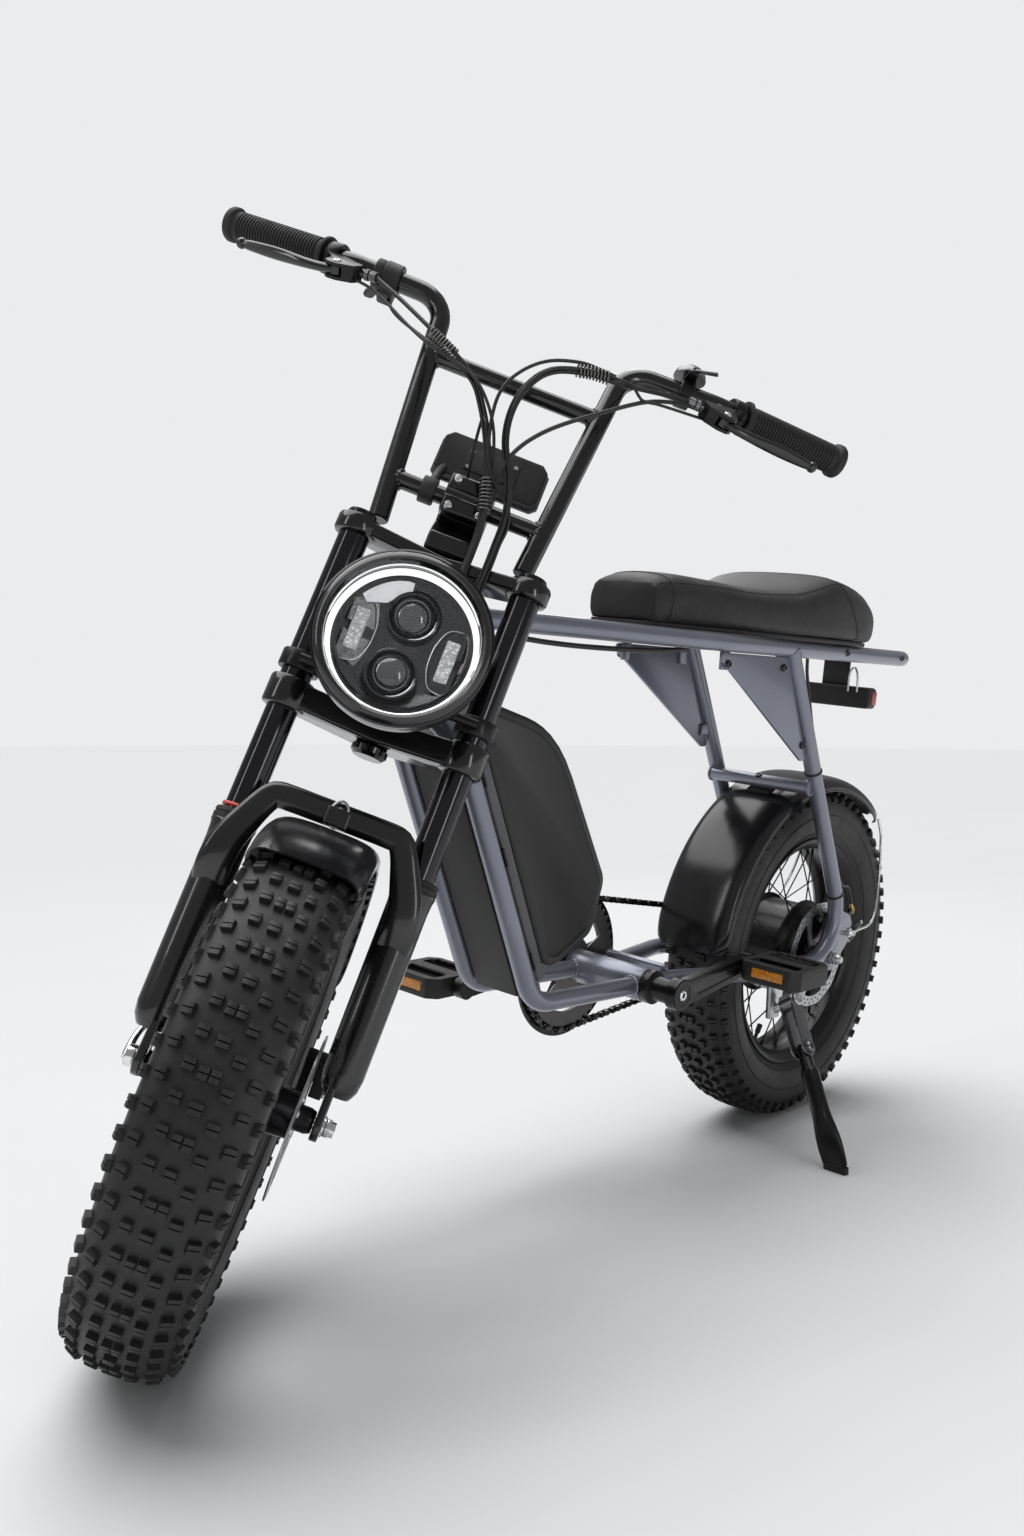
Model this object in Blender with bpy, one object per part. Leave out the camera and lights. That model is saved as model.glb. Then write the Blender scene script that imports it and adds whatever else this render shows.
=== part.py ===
"""Moped-style electric bicycle with fat tyres, standing on its kickstand.

Metres, +X forward, +Y to the rider's left, +Z up. The bicycle is modelled upright
in its own frame, with the rear axle over the origin, and then leaned onto its stand
by one parent empty. The fork is modelled along its steering axis: X ahead of the
axis, Y left, Z up the axis, with zero level with the front axle.
"""

import math

import bmesh
import bpy
from mathutils import Matrix, Vector

# Stance
WHEELBASE = 1.070
HEAD_ANGLE = math.radians(66.4)
FORK_OFFSET = 0.0426
STEERED = math.radians(43.6)
LEAN = math.radians(6.5)

# Clearances
FIT = 0.0003
RUNNING = 0.0006

# Tyres and wheels
TYRE_RADIUS = 0.254
TYRE_WIDTH = 0.102
KNOB_HEIGHT = 0.005
TREAD_PITCHES = 15
TREAD_SECTION = ((0.245, 0.0), (0.61, 0.035), (0.91, 0.175), (1.0, 0.47))
RIM_RADIUS = 0.1735
RIM_WIDTH = 0.080
RIM_DEPTH = 0.017
RIM_FLANGE = 0.0072
RIM_STEPS = 30
SPOKES = 16
SPOKE_RADIUS = 0.0012
AXLE_RADIUS = 0.006
AXLE_NUT_RADIUS = 0.0105
AXLE_NUT_LENGTH = 0.009
AXLE_TAIL = 0.008
ROTOR_RADIUS = 0.080
ROTOR_THICKNESS = 0.0018
ROTOR_BAND = 0.015

# Frame tubes
TUBE_RADIUS = 0.0115
TUBE_SIDES = 8
RAIL_HEIGHT = 0.706
RAIL_HALF_SPACING = 0.082
LOOP_REAR = -0.187
RAIL_SPREAD_X = 0.37
FRONT_HALF_SPACING = 0.048
DOWN_TUBE_TOP = (0.800, 0.568)
FRONT_CORNER = (0.650, 0.274)
REAR_CORNER = (-0.054, 0.251)
FRONT_BEND_RADIUS = 0.050
REAR_BEND_RADIUS = 0.066
UPRIGHT_TOP_X = 0.209
CROSS_TUBE_RADIUS = 0.0095
CROSS_TUBE_AHEAD = 0.0166
CROSS_TUBE_OVER_TYRE = 0.005
HEAD_TUBE_RADIUS = 0.021
HEAD_CUP_RADIUS = 0.0255
HEAD_CUP_HEIGHT = 0.010

# Bottom bracket and drive
BRACKET_X = 0.437
BRACKET_Z = 0.2685
BRACKET_RADIUS = 0.0215
BRACKET_HALF_LENGTH = FRONT_HALF_SPACING + TUBE_RADIUS + 0.0005
SPINDLE_RADIUS = 0.0105
CRANK_LENGTH = 0.160
CRANK_DROP = math.radians(7.5)
CRANK_PLANE = 0.1075
CRANK_THICKNESS = 0.014
CHAIN_LINE = 0.0655
CHAIN_PITCH = 0.0127
CHAIN_WIDTH = 0.0075
CHAIN_HEIGHT = 0.0082
RING_TEETH = 44
SPROCKET_TEETH = 18
RING_THICKNESS = 0.0026
GUARD_RADIUS = 0.0995
PEDAL_LENGTH = 0.092
PEDAL_WIDTH = 0.088
PEDAL_HEIGHT = 0.026

# Dropouts and rear hub
DROPOUT_THICKNESS = 0.008
HUB_MOTOR_RADIUS = 0.070
HUB_MOTOR_HALF_WIDTH = 0.046
REAR_ROTOR_Y = 0.0605

# Fork
LEG_HALF_SPACING = 0.0932
LEG_AHEAD = 0.0343
FORK_SIDES = 12
STANCHION_RADIUS = 0.016
SLIDER_RADIUS = 0.021
SLIDER_BOTTOM = 0.028
SLIDER_TOP = 0.248
STANCHION_BOTTOM = 0.125
LOWER_CROWN_BOTTOM = 0.359
LOWER_CROWN_HEIGHT = 0.032
UPPER_CROWN_BOTTOM = 0.553
UPPER_CROWN_HEIGHT = 0.020
CROWN_END_RADIUS = 0.0228
CROWN_CENTRE_RADIUS = 0.029
STEERER_RADIUS = 0.0143
FORK_DROPOUT_Y = 0.088
FRONT_ROTOR_Y = 0.066

# Front lamp
LAMP_HEIGHT = 0.4408
LAMP_FRONT = 0.1525
LAMP_RADIUS = 0.086
LAMP_DEPTH = 0.084
BEZEL_WIDTH = 0.014
HALO_WIDTH = 0.0075
LENS_SPACING = 0.0275
STRIP_SPACING = 0.044
STRIP_SIZE = (0.012, 0.015, 0.044)
BRACKET_CLAMP_HEIGHT = 0.018

# Handlebar
BAR_RADIUS = 0.0111
BRACE_RADIUS = 0.0095
LOWER_BAR = (0.0076, 0.0853, UPPER_CROWN_BOTTOM + 0.086)
UPPER_BAR = (-0.0058, 0.0992, UPPER_CROWN_BOTTOM + 0.238)
BAR_STUB_Z = UPPER_CROWN_BOTTOM + 0.035
BAR_BEND = (-0.0119, 0.1055, UPPER_CROWN_BOTTOM + 0.307)
BAR_SWEEP = (-0.0150, 0.2150, UPPER_CROWN_BOTTOM + 0.3104)
BAR_END = (-0.0735, 0.3715, UPPER_CROWN_BOTTOM + 0.3332)
GRIP_RADIUS = 0.0165
GRIP_LENGTH = 0.134

# Seat
SEAT_BASE_THICKNESS = 0.006
SEAT_BASE_INSET = 0.84

# Battery, set out along the down tubes from a point this far up them
BATTERY_HALF_WIDTH = 0.044
BATTERY_UP = 0.203

# Fenders
FENDER_CLEARANCE = 0.012
FRONT_FENDER_CLEARANCE = 0.0048
FENDER_THICKNESS = 0.003
FENDER_HALF_WIDTH = 0.060

# Kickstand
KICKSTAND_PIVOT = (0.150, 0.107, 0.214)
KICKSTAND_FOOT = (0.212, 0.234)
KICKSTAND_FOLDED = (-1.0, 0.05, -0.02)
KICKSTAND_PIN = 0.006
KICKSTAND_BARREL_HALF = 0.012
KICKSTAND_TAB_REACH = 0.031
KICKSTAND_FOOT_HEIGHT = 0.012


def clear_scene():
    for item in list(bpy.data.objects):
        bpy.data.objects.remove(item, do_unlink=True)


def material(name, colour, roughness, metallic=0.0):
    made = bpy.data.materials.new(name)
    made.use_nodes = True
    shader = made.node_tree.nodes["Principled BSDF"]
    shader.inputs["Base Color"].default_value = (*colour, 1.0)
    shader.inputs["Roughness"].default_value = roughness
    shader.inputs["Metallic"].default_value = metallic
    made.diffuse_color = (*colour, 1.0)
    return made


def empty(name, parent=None, matrix=None):
    made = bpy.data.objects.new(name, None)
    bpy.context.collection.objects.link(made)
    made.parent = parent
    if matrix is not None:
        made.matrix_local = matrix
    return made


def shape(points, faces):
    """A loose mesh object whose faces are turned outwards."""
    mesh = bpy.data.meshes.new("shape")
    mesh.from_pydata([tuple(point) for point in points], [], faces)
    turned = bmesh.new()
    turned.from_mesh(mesh)
    bmesh.ops.remove_doubles(turned, verts=turned.verts, dist=1e-7)
    bmesh.ops.recalc_face_normals(turned, faces=turned.faces)
    turned.to_mesh(mesh)
    turned.free()
    made = bpy.data.objects.new("shape", mesh)
    bpy.context.collection.objects.link(made)
    return made


def moved(item, matrix):
    item.data.transform(matrix)
    return item


def shifted(item, offset):
    return moved(item, Matrix.Translation(Vector(offset)))


def mirrored(item):
    """The same shape on the other side of the bicycle."""
    item.data.transform(Matrix.Scale(-1, 4, (0, 1, 0)))
    item.data.flip_normals()
    return item


def basis(origin, x_axis, z_axis):
    """The matrix that puts local X and Z along the two axes given."""
    up = Vector(z_axis).normalized()
    side = up.cross(Vector(x_axis)).normalized()
    ahead = side.cross(up)
    turn = Matrix((ahead, side, up)).transposed().to_4x4()
    return Matrix.Translation(Vector(origin)) @ turn


def boolean(item, operation, tools):
    for tool in tools:
        step = item.modifiers.new("step", "BOOLEAN")
        step.operation = operation
        step.solver = "EXACT"
        step.object = tool
    bpy.context.view_layer.update()
    seen = item.evaluated_get(bpy.context.evaluated_depsgraph_get())
    result = bpy.data.meshes.new_from_object(seen)
    item.modifiers.clear()
    item.data = result
    for tool in tools:
        bpy.data.objects.remove(tool, do_unlink=True)
    return item


def united(item, *others):
    return boolean(item, "UNION", others)


def cut(item, *tools):
    return boolean(item, "DIFFERENCE", tools)


def softened(item, width, segments=1, angle=math.radians(40)):
    """Bevels the edges that turn by more than the angle."""
    step = item.modifiers.new("edges", "BEVEL")
    step.width = width
    step.segments = segments
    step.limit_method = "ANGLE"
    step.angle_limit = angle
    step.use_clamp_overlap = True
    bpy.context.view_layer.update()
    seen = item.evaluated_get(bpy.context.evaluated_depsgraph_get())
    result = bpy.data.meshes.new_from_object(seen)
    item.modifiers.clear()
    item.data = result
    return item


def finished(item, name, finish, parent, origin=(0, 0, 0), matrix=None):
    """Names a shape, gives it its finish, and hangs it on its parent."""
    place = Matrix.Translation(Vector(origin)) if matrix is None else matrix
    item.data.transform(place.inverted())
    item.name = name
    item.data.name = name
    item.data.materials.clear()
    item.data.materials.append(finish)
    item.data.shade_smooth()
    item.data.set_sharp_from_angle(angle=math.radians(32))
    item.parent = parent
    item.matrix_local = place
    return item


def arc(centre, radius, start, end, steps):
    """Points on a circle in a plane, from one angle to the other, in degrees."""
    points = []
    for step in range(steps + 1):
        angle = math.radians(start + (end - start) * step / steps)
        points.append((centre[0] + radius * math.cos(angle), centre[1] + radius * math.sin(angle)))
    return points


def belt(centre_a, radius_a, centre_b, radius_b, steps=6):
    """The outline of a belt drawn tight round two circles."""
    across = Vector(centre_b) - Vector(centre_a)
    heading = math.degrees(math.atan2(across.y, across.x))
    lean = math.degrees(math.acos((radius_a - radius_b) / across.length))
    first = arc(centre_a, radius_a, heading + lean, heading + 360 - lean, steps)
    second = arc(centre_b, radius_b, heading - lean, heading + lean, steps)
    return first + second


def rounded(corners, radii, steps=4):
    """A path through corners in space, with each inner corner turned by an arc."""
    corners = [Vector(corner) for corner in corners]
    path = [corners[0]]
    for before, corner, after, radius in zip(corners, corners[1:], corners[2:], radii):
        back = (before - corner).normalized()
        on = (after - corner).normalized()
        half = back.angle(on) / 2
        reach = radius / math.tan(half)
        bisector = (back + on).normalized()
        centre = corner + bisector * (radius / math.sin(half))
        start = corner + back * reach - centre
        end = corner + on * reach - centre
        turn = start.angle(end)
        for step in range(steps + 1):
            share = step / steps
            blend = math.sin((1 - share) * turn) * start + math.sin(share * turn) * end
            path.append(centre + blend / math.sin(turn))
    path.append(corners[-1])
    return path


def tube(path, radius, sides=TUBE_SIDES, closed=False):
    """A round bar along a path, its rings kept from twisting."""
    path = [Vector(point) for point in path]
    count = len(path)
    rings = []
    side = None
    for index, point in enumerate(path):
        ahead = path[(index + 1) % count] if closed or index + 1 < count else point
        behind = path[index - 1] if closed or index else point
        heading = (ahead - behind).normalized()
        if side is None:
            side = heading.orthogonal().normalized()
        side = (side - heading * side.dot(heading)).normalized()
        up = heading.cross(side)
        if 0 < index < count - 1 or closed:
            bend = (point - behind).angle(ahead - point)
        else:
            bend = 0.0
        stretch = 1 / math.cos(bend / 2)
        inwards = (ahead - point).normalized() - (point - behind).normalized() if bend else None
        ring = []
        for step in range(sides):
            angle = 2 * math.pi * step / sides
            arm = radius * (math.cos(angle) * side + math.sin(angle) * up)
            if bend > 1e-4:
                across = inwards.normalized()
                arm += across * arm.dot(across) * (stretch - 1)
            ring.append(point + arm)
        rings.append(ring)
    points = [point for ring in rings for point in ring]
    faces = []
    for index in range(count if closed else count - 1):
        following = (index + 1) % count
        for step in range(sides):
            other = (step + 1) % sides
            faces.append((index * sides + step, index * sides + other,
                          following * sides + other, following * sides + step))
    if not closed:
        faces.append(tuple(range(sides)))
        faces.append(tuple(range((count - 1) * sides, count * sides)))
    return shape(points, faces)


def rod(start, end, radius, sides=16):
    return tube([start, end], radius, sides)


def lathe(profile, steps, axis="Y", start=0.0):
    """Turns (along, radius) points about an axis; an outline that leaves it is closed."""
    along = {"X": (0, 1, 2), "Y": (1, 2, 0), "Z": (2, 0, 1)}[axis]
    points = []
    rings = []
    for place, radius in profile:
        if radius < 1e-9:
            rings.append([len(points)])
            spot = [0.0, 0.0, 0.0]
            spot[along[0]] = place
            points.append(spot)
            continue
        rings.append(list(range(len(points), len(points) + steps)))
        for step in range(steps):
            angle = start + 2 * math.pi * step / steps
            spot = [0.0, 0.0, 0.0]
            spot[along[0]] = place
            spot[along[1]] = radius * math.cos(angle)
            spot[along[2]] = radius * math.sin(angle)
            points.append(spot)
    pairs = list(zip(rings, rings[1:]))
    if len(rings[0]) > 1 and len(rings[-1]) > 1:
        pairs.append((rings[-1], rings[0]))
    faces = []
    for near, far in pairs:
        for step in range(steps):
            other = (step + 1) % steps
            if len(near) == 1 and len(far) == 1:
                continue
            if len(near) == 1:
                faces.append((near[0], far[step], far[other]))
            elif len(far) == 1:
                faces.append((near[step], near[other], far[0]))
            else:
                faces.append((near[step], near[other], far[other], far[step]))
    return shape(points, faces)


def prism(outline, low, high, axis="Y"):
    """An outline drawn across an axis and carried along it."""
    count = len(outline)
    points = []
    for level in (low, high):
        for first, second in outline:
            if axis == "Y":
                points.append((first, level, second))
            elif axis == "Z":
                points.append((first, second, level))
            else:
                points.append((level, first, second))
    faces = [tuple(range(count)), tuple(range(count, 2 * count))]
    for index in range(count):
        other = (index + 1) % count
        faces.append((index, other, count + other, count + index))
    return shape(points, faces)


def box(low, high):
    outline = [(low[0], low[1]), (high[0], low[1]), (high[0], high[1]), (low[0], high[1])]
    return prism(outline, low[2], high[2], "Z")


def block(centre, size):
    low = [middle - width / 2 for middle, width in zip(centre, size)]
    high = [middle + width / 2 for middle, width in zip(centre, size)]
    return box(low, high)


def steering_foot():
    """The point of the steering axis level with the front axle, in the bicycle's frame."""
    ahead = Vector((math.sin(HEAD_ANGLE), 0, math.cos(HEAD_ANGLE)))
    return Vector((WHEELBASE, 0, TYRE_RADIUS)) - FORK_OFFSET * ahead


def fork_matrix(steered):
    """From the fork's frame to the bicycle's."""
    ahead = (math.sin(HEAD_ANGLE), 0, math.cos(HEAD_ANGLE))
    up = (-math.cos(HEAD_ANGLE), 0, math.sin(HEAD_ANGLE))
    return basis(steering_foot(), ahead, up) @ Matrix.Rotation(steered, 4, "Z")


def tyre_lowest(stance, centre, axle):
    """The height of the lowest point of a tyre's tread."""
    middle = stance @ Vector(centre)
    across = (stance.to_3x3() @ Vector(axle)).normalized()
    upright = math.sqrt(1 - across.z ** 2)
    reaches = []
    for left, drop in TREAD_SECTION:
        radius = TYRE_RADIUS - drop * (TYRE_RADIUS - RIM_RADIUS)
        reaches.append(radius * upright + left * TYRE_WIDTH / 2 * abs(across.z))
    return middle.z - max(reaches)


def stance_matrix():
    """Leans the bicycle on its stand and levels it until both tyres touch the ground."""
    fork = fork_matrix(STEERED)
    front = fork @ Vector((FORK_OFFSET, 0, 0))
    front_axle = fork.to_3x3() @ Vector((0, 1, 0))
    pitch = 0.0
    lean = Matrix.Rotation(-LEAN, 4, "X")
    for _ in range(6):
        stance = Matrix.Rotation(pitch, 4, "Y") @ lean
        low_front = tyre_lowest(stance, front, front_axle)
        low_rear = tyre_lowest(stance, (0, 0, TYRE_RADIUS), (0, 1, 0))
        pitch += math.atan2(low_front - low_rear, WHEELBASE)
    stance = Matrix.Rotation(pitch, 4, "Y") @ lean
    rise = -tyre_lowest(stance, (0, 0, TYRE_RADIUS), (0, 1, 0))
    return Matrix.Translation((0, 0, rise)) @ stance


clear_scene()

PAINT = material("slate_paint", (0.19, 0.20, 0.24), 0.38, 0.6)
GLOSS_BLACK = material("gloss_black", (0.006, 0.006, 0.007), 0.12, 0.2)
SATIN_BLACK = material("satin_black", (0.014, 0.014, 0.015), 0.38, 0.3)
PLASTIC = material("black_plastic", (0.016, 0.016, 0.017), 0.5)
RUBBER = material("rubber", (0.022, 0.022, 0.023), 0.72)
LEATHER = material("black_leather", (0.02, 0.02, 0.021), 0.5)
STEEL = material("steel", (0.55, 0.55, 0.56), 0.3, 1.0)
DARK_STEEL = material("dark_steel", (0.12, 0.12, 0.125), 0.4, 0.9)
WHITE_LIGHT = material("white_light", (0.9, 0.9, 0.9), 0.3)
GLASS = material("clear_glass", (0.8, 0.85, 0.88), 0.05)
RED_LENS = material("red_lens", (0.55, 0.02, 0.02), 0.2)
CABLE = material("cable_black", (0.012, 0.012, 0.012), 0.45)

STANCE = stance_matrix()
BIKE = empty("bicycle", None, STANCE)
STEERING = empty("steering_axis", BIKE, fork_matrix(STEERED))
SUSPENSION = empty("fork_slide", STEERING)
FRONT_WHEEL = empty("front_wheel_axis", SUSPENSION, Matrix.Translation((FORK_OFFSET, 0, 0)))
REAR_WHEEL = empty("rear_wheel_axis", BIKE, Matrix.Translation((0, 0, TYRE_RADIUS)))
CRANKS = empty("crank_axis", BIKE, Matrix.Translation((BRACKET_X, 0, BRACKET_Z)))

LOWER_CROWN_TOP = LOWER_CROWN_BOTTOM + LOWER_CROWN_HEIGHT
UPPER_CROWN_TOP = UPPER_CROWN_BOTTOM + UPPER_CROWN_HEIGHT
FORK = fork_matrix(0.0)


def axis_point(height, ahead=0.0, left=0.0):
    """A point given in the straight-ahead fork's frame, in the bicycle's frame."""
    return FORK @ Vector((ahead, left, height))


def frame_side():
    """One side tube: head, down, along the bottom, round the rear bend and up to the rail."""
    front = FRONT_HALF_SPACING
    rear = RAIL_HALF_SPACING
    slope = (FRONT_CORNER[1] - REAR_CORNER[1]) / (FRONT_CORNER[0] - REAR_CORNER[0])
    narrow_x = BRACKET_X - 0.075
    wide_x = BRACKET_X - 0.215
    narrow_z = FRONT_CORNER[1] - slope * (FRONT_CORNER[0] - narrow_x)
    wide_z = FRONT_CORNER[1] - slope * (FRONT_CORNER[0] - wide_x)
    corners = [
        axis_point(LOWER_CROWN_TOP + 0.045, 0.0, HEAD_TUBE_RADIUS / 2),
        (DOWN_TUBE_TOP[0], front, DOWN_TUBE_TOP[1]),
        (FRONT_CORNER[0], front, FRONT_CORNER[1]),
        (narrow_x, front, narrow_z),
        (wide_x, rear, wide_z),
        (REAR_CORNER[0], rear, REAR_CORNER[1]),
        (UPRIGHT_TOP_X, rear, RAIL_HEIGHT),
    ]
    radii = (0.035, FRONT_BEND_RADIUS, 0.05, 0.05, REAR_BEND_RADIUS)
    return tube(rounded(corners, radii, 3), TUBE_RADIUS)


def seat_loop():
    """The twin top tubes and seat rails, one bar from the head round the rear and back."""
    half = RAIL_HALF_SPACING
    head = axis_point(UPPER_CROWN_BOTTOM - 0.038, 0.0, HEAD_TUBE_RADIUS / 2)
    corners = [
        head,
        (RAIL_SPREAD_X, half, RAIL_HEIGHT),
        (LOOP_REAR, half, RAIL_HEIGHT),
        (LOOP_REAR, -half, RAIL_HEIGHT),
        (RAIL_SPREAD_X, -half, RAIL_HEIGHT),
        (head[0], -head[1], head[2]),
    ]
    bend = half - 0.002
    return tube(rounded(corners, (0.12, bend, bend, 0.12), 3), TUBE_RADIUS)


def head_tube():
    low = LOWER_CROWN_TOP + RUNNING
    high = UPPER_CROWN_BOTTOM - RUNNING
    cup = HEAD_CUP_HEIGHT
    profile = [
        (low, 0.0), (low, HEAD_CUP_RADIUS), (low + cup, HEAD_CUP_RADIUS),
        (low + cup * 1.3, HEAD_TUBE_RADIUS), (high - cup * 1.3, HEAD_TUBE_RADIUS),
        (high - cup, HEAD_CUP_RADIUS), (high, HEAD_CUP_RADIUS), (high, 0.0),
    ]
    return moved(lathe(profile, 12, "Z"), FORK)


def rear_bend_centre():
    """The centre of the rear bend, from its corner and the two tubes that meet there."""
    corner = Vector(REAR_CORNER)
    up = (Vector((UPRIGHT_TOP_X, RAIL_HEIGHT)) - corner).normalized()
    on = (Vector(FRONT_CORNER) - corner).normalized()
    half = up.angle(on) / 2
    return corner + (up + on).normalized() * (REAR_BEND_RADIUS / math.sin(half))


def dropout():
    """The plate that hangs from the rear bend and holds the axle and the brake."""
    centre = rear_bend_centre()
    inner = REAR_BEND_RADIUS
    lobe = AXLE_NUT_RADIUS + 0.009
    outline = arc(centre, inner, 178, 262, 5)
    outline += arc((0, TYRE_RADIUS), lobe, 300, 205, 5)
    outline += [(-0.050, TYRE_RADIUS + 0.022), (-0.054, TYRE_RADIUS + 0.048)]
    outline += [(-0.038, TYRE_RADIUS + 0.064), (-0.018, TYRE_RADIUS + 0.070)]
    return outline


def plate(outline, middle, thickness):
    return prism(outline, middle - thickness / 2, middle + thickness / 2)


def cross_tube():
    """The middle of the tube between the uprights, over the tyre, as (ahead, up)."""
    height = 2 * TYRE_RADIUS + CROSS_TUBE_OVER_TYRE
    slope = (UPRIGHT_TOP_X - REAR_CORNER[0]) / (RAIL_HEIGHT - REAR_CORNER[1])
    return REAR_CORNER[0] + (height - REAR_CORNER[1]) * slope + CROSS_TUBE_AHEAD, height


def gusset_outline():
    """The bolted corner plate between the seat rail and the upright."""
    slant = Vector((UPRIGHT_TOP_X - REAR_CORNER[0], RAIL_HEIGHT - REAR_CORNER[1])).normalized()
    ahead = Vector((slant.y, -slant.x))
    top = Vector((UPRIGHT_TOP_X, RAIL_HEIGHT))
    gap = TUBE_RADIUS + FIT
    upper_z = RAIL_HEIGHT - gap - 0.0005
    edge = top + ahead * gap
    upper_back = edge - slant * ((edge.y - upper_z + 0.002) / slant.y)
    lower = upper_back - slant * 0.155
    return [
        (upper_back.x, upper_z), (upper_back.x + 0.160, upper_z),
        (upper_back.x + 0.168, upper_z - 0.012), (lower.x + 0.020, lower.y - 0.002),
        (lower.x + 0.008, lower.y - 0.006), (lower.x, lower.y),
    ]


GUSSET_THICKNESS = 0.004
EAR_THICKNESS = 0.004


def gusset_bolts():
    outline = gusset_outline()
    return [
        (outline[1][0] - 0.008, outline[1][1] - 0.014),
        (outline[0][0] + 0.014, outline[0][1] - 0.014),
        (outline[5][0] + 0.019, outline[5][1] + 0.017),
    ]


def frame_ears():
    """The welded ears behind the gusset plate, one for each of its bolts."""
    back = RAIL_HALF_SPACING - GUSSET_THICKNESS / 2 - FIT
    middle = back - EAR_THICKNESS / 2
    front, rear, low = gusset_bolts()
    slant = Vector((UPRIGHT_TOP_X - REAR_CORNER[0], RAIL_HEIGHT - REAR_CORNER[1])).normalized()
    rail_z = RAIL_HEIGHT - TUBE_RADIUS * 0.6
    ears = [plate([(front[0] - 0.012, rail_z), (front[0] + 0.008, rail_z),
                   (front[0] + 0.007, front[1] - 0.008), (front[0] - 0.008, front[1] - 0.008)],
                  middle, EAR_THICKNESS)]
    ears.append(plate([(rear[0] - 0.008, rail_z), (rear[0] + 0.010, rail_z),
                       (rear[0] + 0.008, rear[1] - 0.008), (rear[0] - 0.008, rear[1] - 0.008)],
                      middle, EAR_THICKNESS))
    tube_point = Vector(low) + Vector((-slant.y, slant.x)) * (TUBE_RADIUS + 0.008)
    ears.append(plate([(low[0] + 0.008, low[1] - 0.006), (low[0] + 0.008, low[1] + 0.010),
                       (tube_point.x, tube_point.y + 0.006), (tube_point.x, tube_point.y - 0.012)],
                      middle, EAR_THICKNESS))
    return ears


def ground_height(ahead, left):
    """The height of the ground in the bicycle's frame below or above a point."""
    into = STANCE.inverted()
    up = into.to_3x3() @ Vector((0, 0, 1))
    base = into @ Vector((0, 0, 0))
    return base.z - (up.x * (ahead - base.x) + up.y * (left - base.y)) / up.z


def kickstand_axis():
    """The hinge axis that swings the leg from the ground to its place along the frame."""
    pivot = Vector(KICKSTAND_PIVOT)
    ahead, left = KICKSTAND_FOOT
    down = Vector((ahead, left, ground_height(ahead, left))) - pivot
    return down.cross(Vector(KICKSTAND_FOLDED)).normalized()


def kickstand_mount():
    """The tab under the left tube, and the headed pin that the kickstand turns on."""
    pivot = Vector(KICKSTAND_PIVOT)
    axis = kickstand_axis()
    root = pivot - axis * KICKSTAND_TAB_REACH
    tab_in = root.y - 0.004
    tab = prism([(pivot.x - 0.020, BRACKET_Z - 0.010), (pivot.x + 0.022, BRACKET_Z - 0.008),
                 (pivot.x + 0.013, root.z - 0.011), (pivot.x - 0.012, root.z - 0.011)],
                tab_in, tab_in + 0.008)
    head = KICKSTAND_BARREL_HALF + RUNNING
    pin = rod(root, pivot + axis * (head + 0.001), KICKSTAND_PIN, 8)
    cap = rod(pivot + axis * head, pivot + axis * (head + 0.0035), KICKSTAND_PIN + 0.003, 8)
    return [tab, pin, cap]


def make_frame():
    left = frame_side()
    right = mirrored(frame_side())
    half = RAIL_HALF_SPACING
    parts = [right, seat_loop(), head_tube()]
    ahead, height = cross_tube()
    parts.append(rod((ahead, -half, height), (ahead, half, height), CROSS_TUBE_RADIUS, TUBE_SIDES))
    parts.append(rod((BRACKET_X, -BRACKET_HALF_LENGTH, BRACKET_Z),
                     (BRACKET_X, BRACKET_HALF_LENGTH, BRACKET_Z), BRACKET_RADIUS, 14))
    brace_x = BRACKET_X - 0.062
    parts.append(prism([(brace_x - 0.014, BRACKET_Z - 0.010), (brace_x - 0.006, BRACKET_Z - 0.012),
                        (brace_x + 0.012, BRACKET_Z + 0.014), (brace_x + 0.004, BRACKET_Z + 0.018)],
                       -FRONT_HALF_SPACING, FRONT_HALF_SPACING))
    head = axis_point(LOWER_CROWN_TOP + 0.045)
    parts.append(prism([(head.x - 0.010, head.z + 0.060), (head.x - 0.006, head.z - 0.012),
                        (head.x - 0.030, head.z - 0.038), (head.x - 0.038, head.z + 0.020)],
                       -0.003, 0.003))
    for side in (1, -1):
        hole = rod((0, side * (half - 0.02), TYRE_RADIUS), (0, side * (half + 0.02), TYRE_RADIUS),
                   AXLE_RADIUS + FIT, 12)
        parts.append(cut(plate(dropout(), side * half, DROPOUT_THICKNESS), hole))
    parts += frame_ears() + [mirrored(ear) for ear in frame_ears()]
    parts += kickstand_mount()
    body = united(left, *parts)
    spindle_bore = rod((BRACKET_X, -0.1, BRACKET_Z), (BRACKET_X, 0.1, BRACKET_Z),
                       (SPINDLE_RADIUS + RUNNING) / math.cos(math.pi / 14), 14)
    steerer_bore = bore(axis_point(0.3), axis_point(0.7), STEERER_RADIUS, RUNNING, 14)
    return cut(body, spindle_bore, steerer_bore)


def bore(start, end, radius, clearance=FIT, sides=16):
    """A cutter for a round hole whose flats clear the pin by the clearance."""
    return rod(start, end, (radius + clearance) / math.cos(math.pi / sides), sides)


def snug_bore(start, end, radius, sides, clearance=FIT):
    """A cutter for a bar that has the same flats, which clear it by the clearance."""
    return rod(start, end, radius + clearance / math.cos(math.pi / sides), sides)


def joined(items):
    """Several shapes that don't meet, as one mesh."""
    points = []
    faces = []
    for item in items:
        first = len(points)
        points += [vertex.co.copy() for vertex in item.data.vertices]
        for polygon in item.data.polygons:
            faces.append(tuple(first + index for index in polygon.vertices))
        bpy.data.objects.remove(item, do_unlink=True)
    return shape(points, faces)


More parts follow.
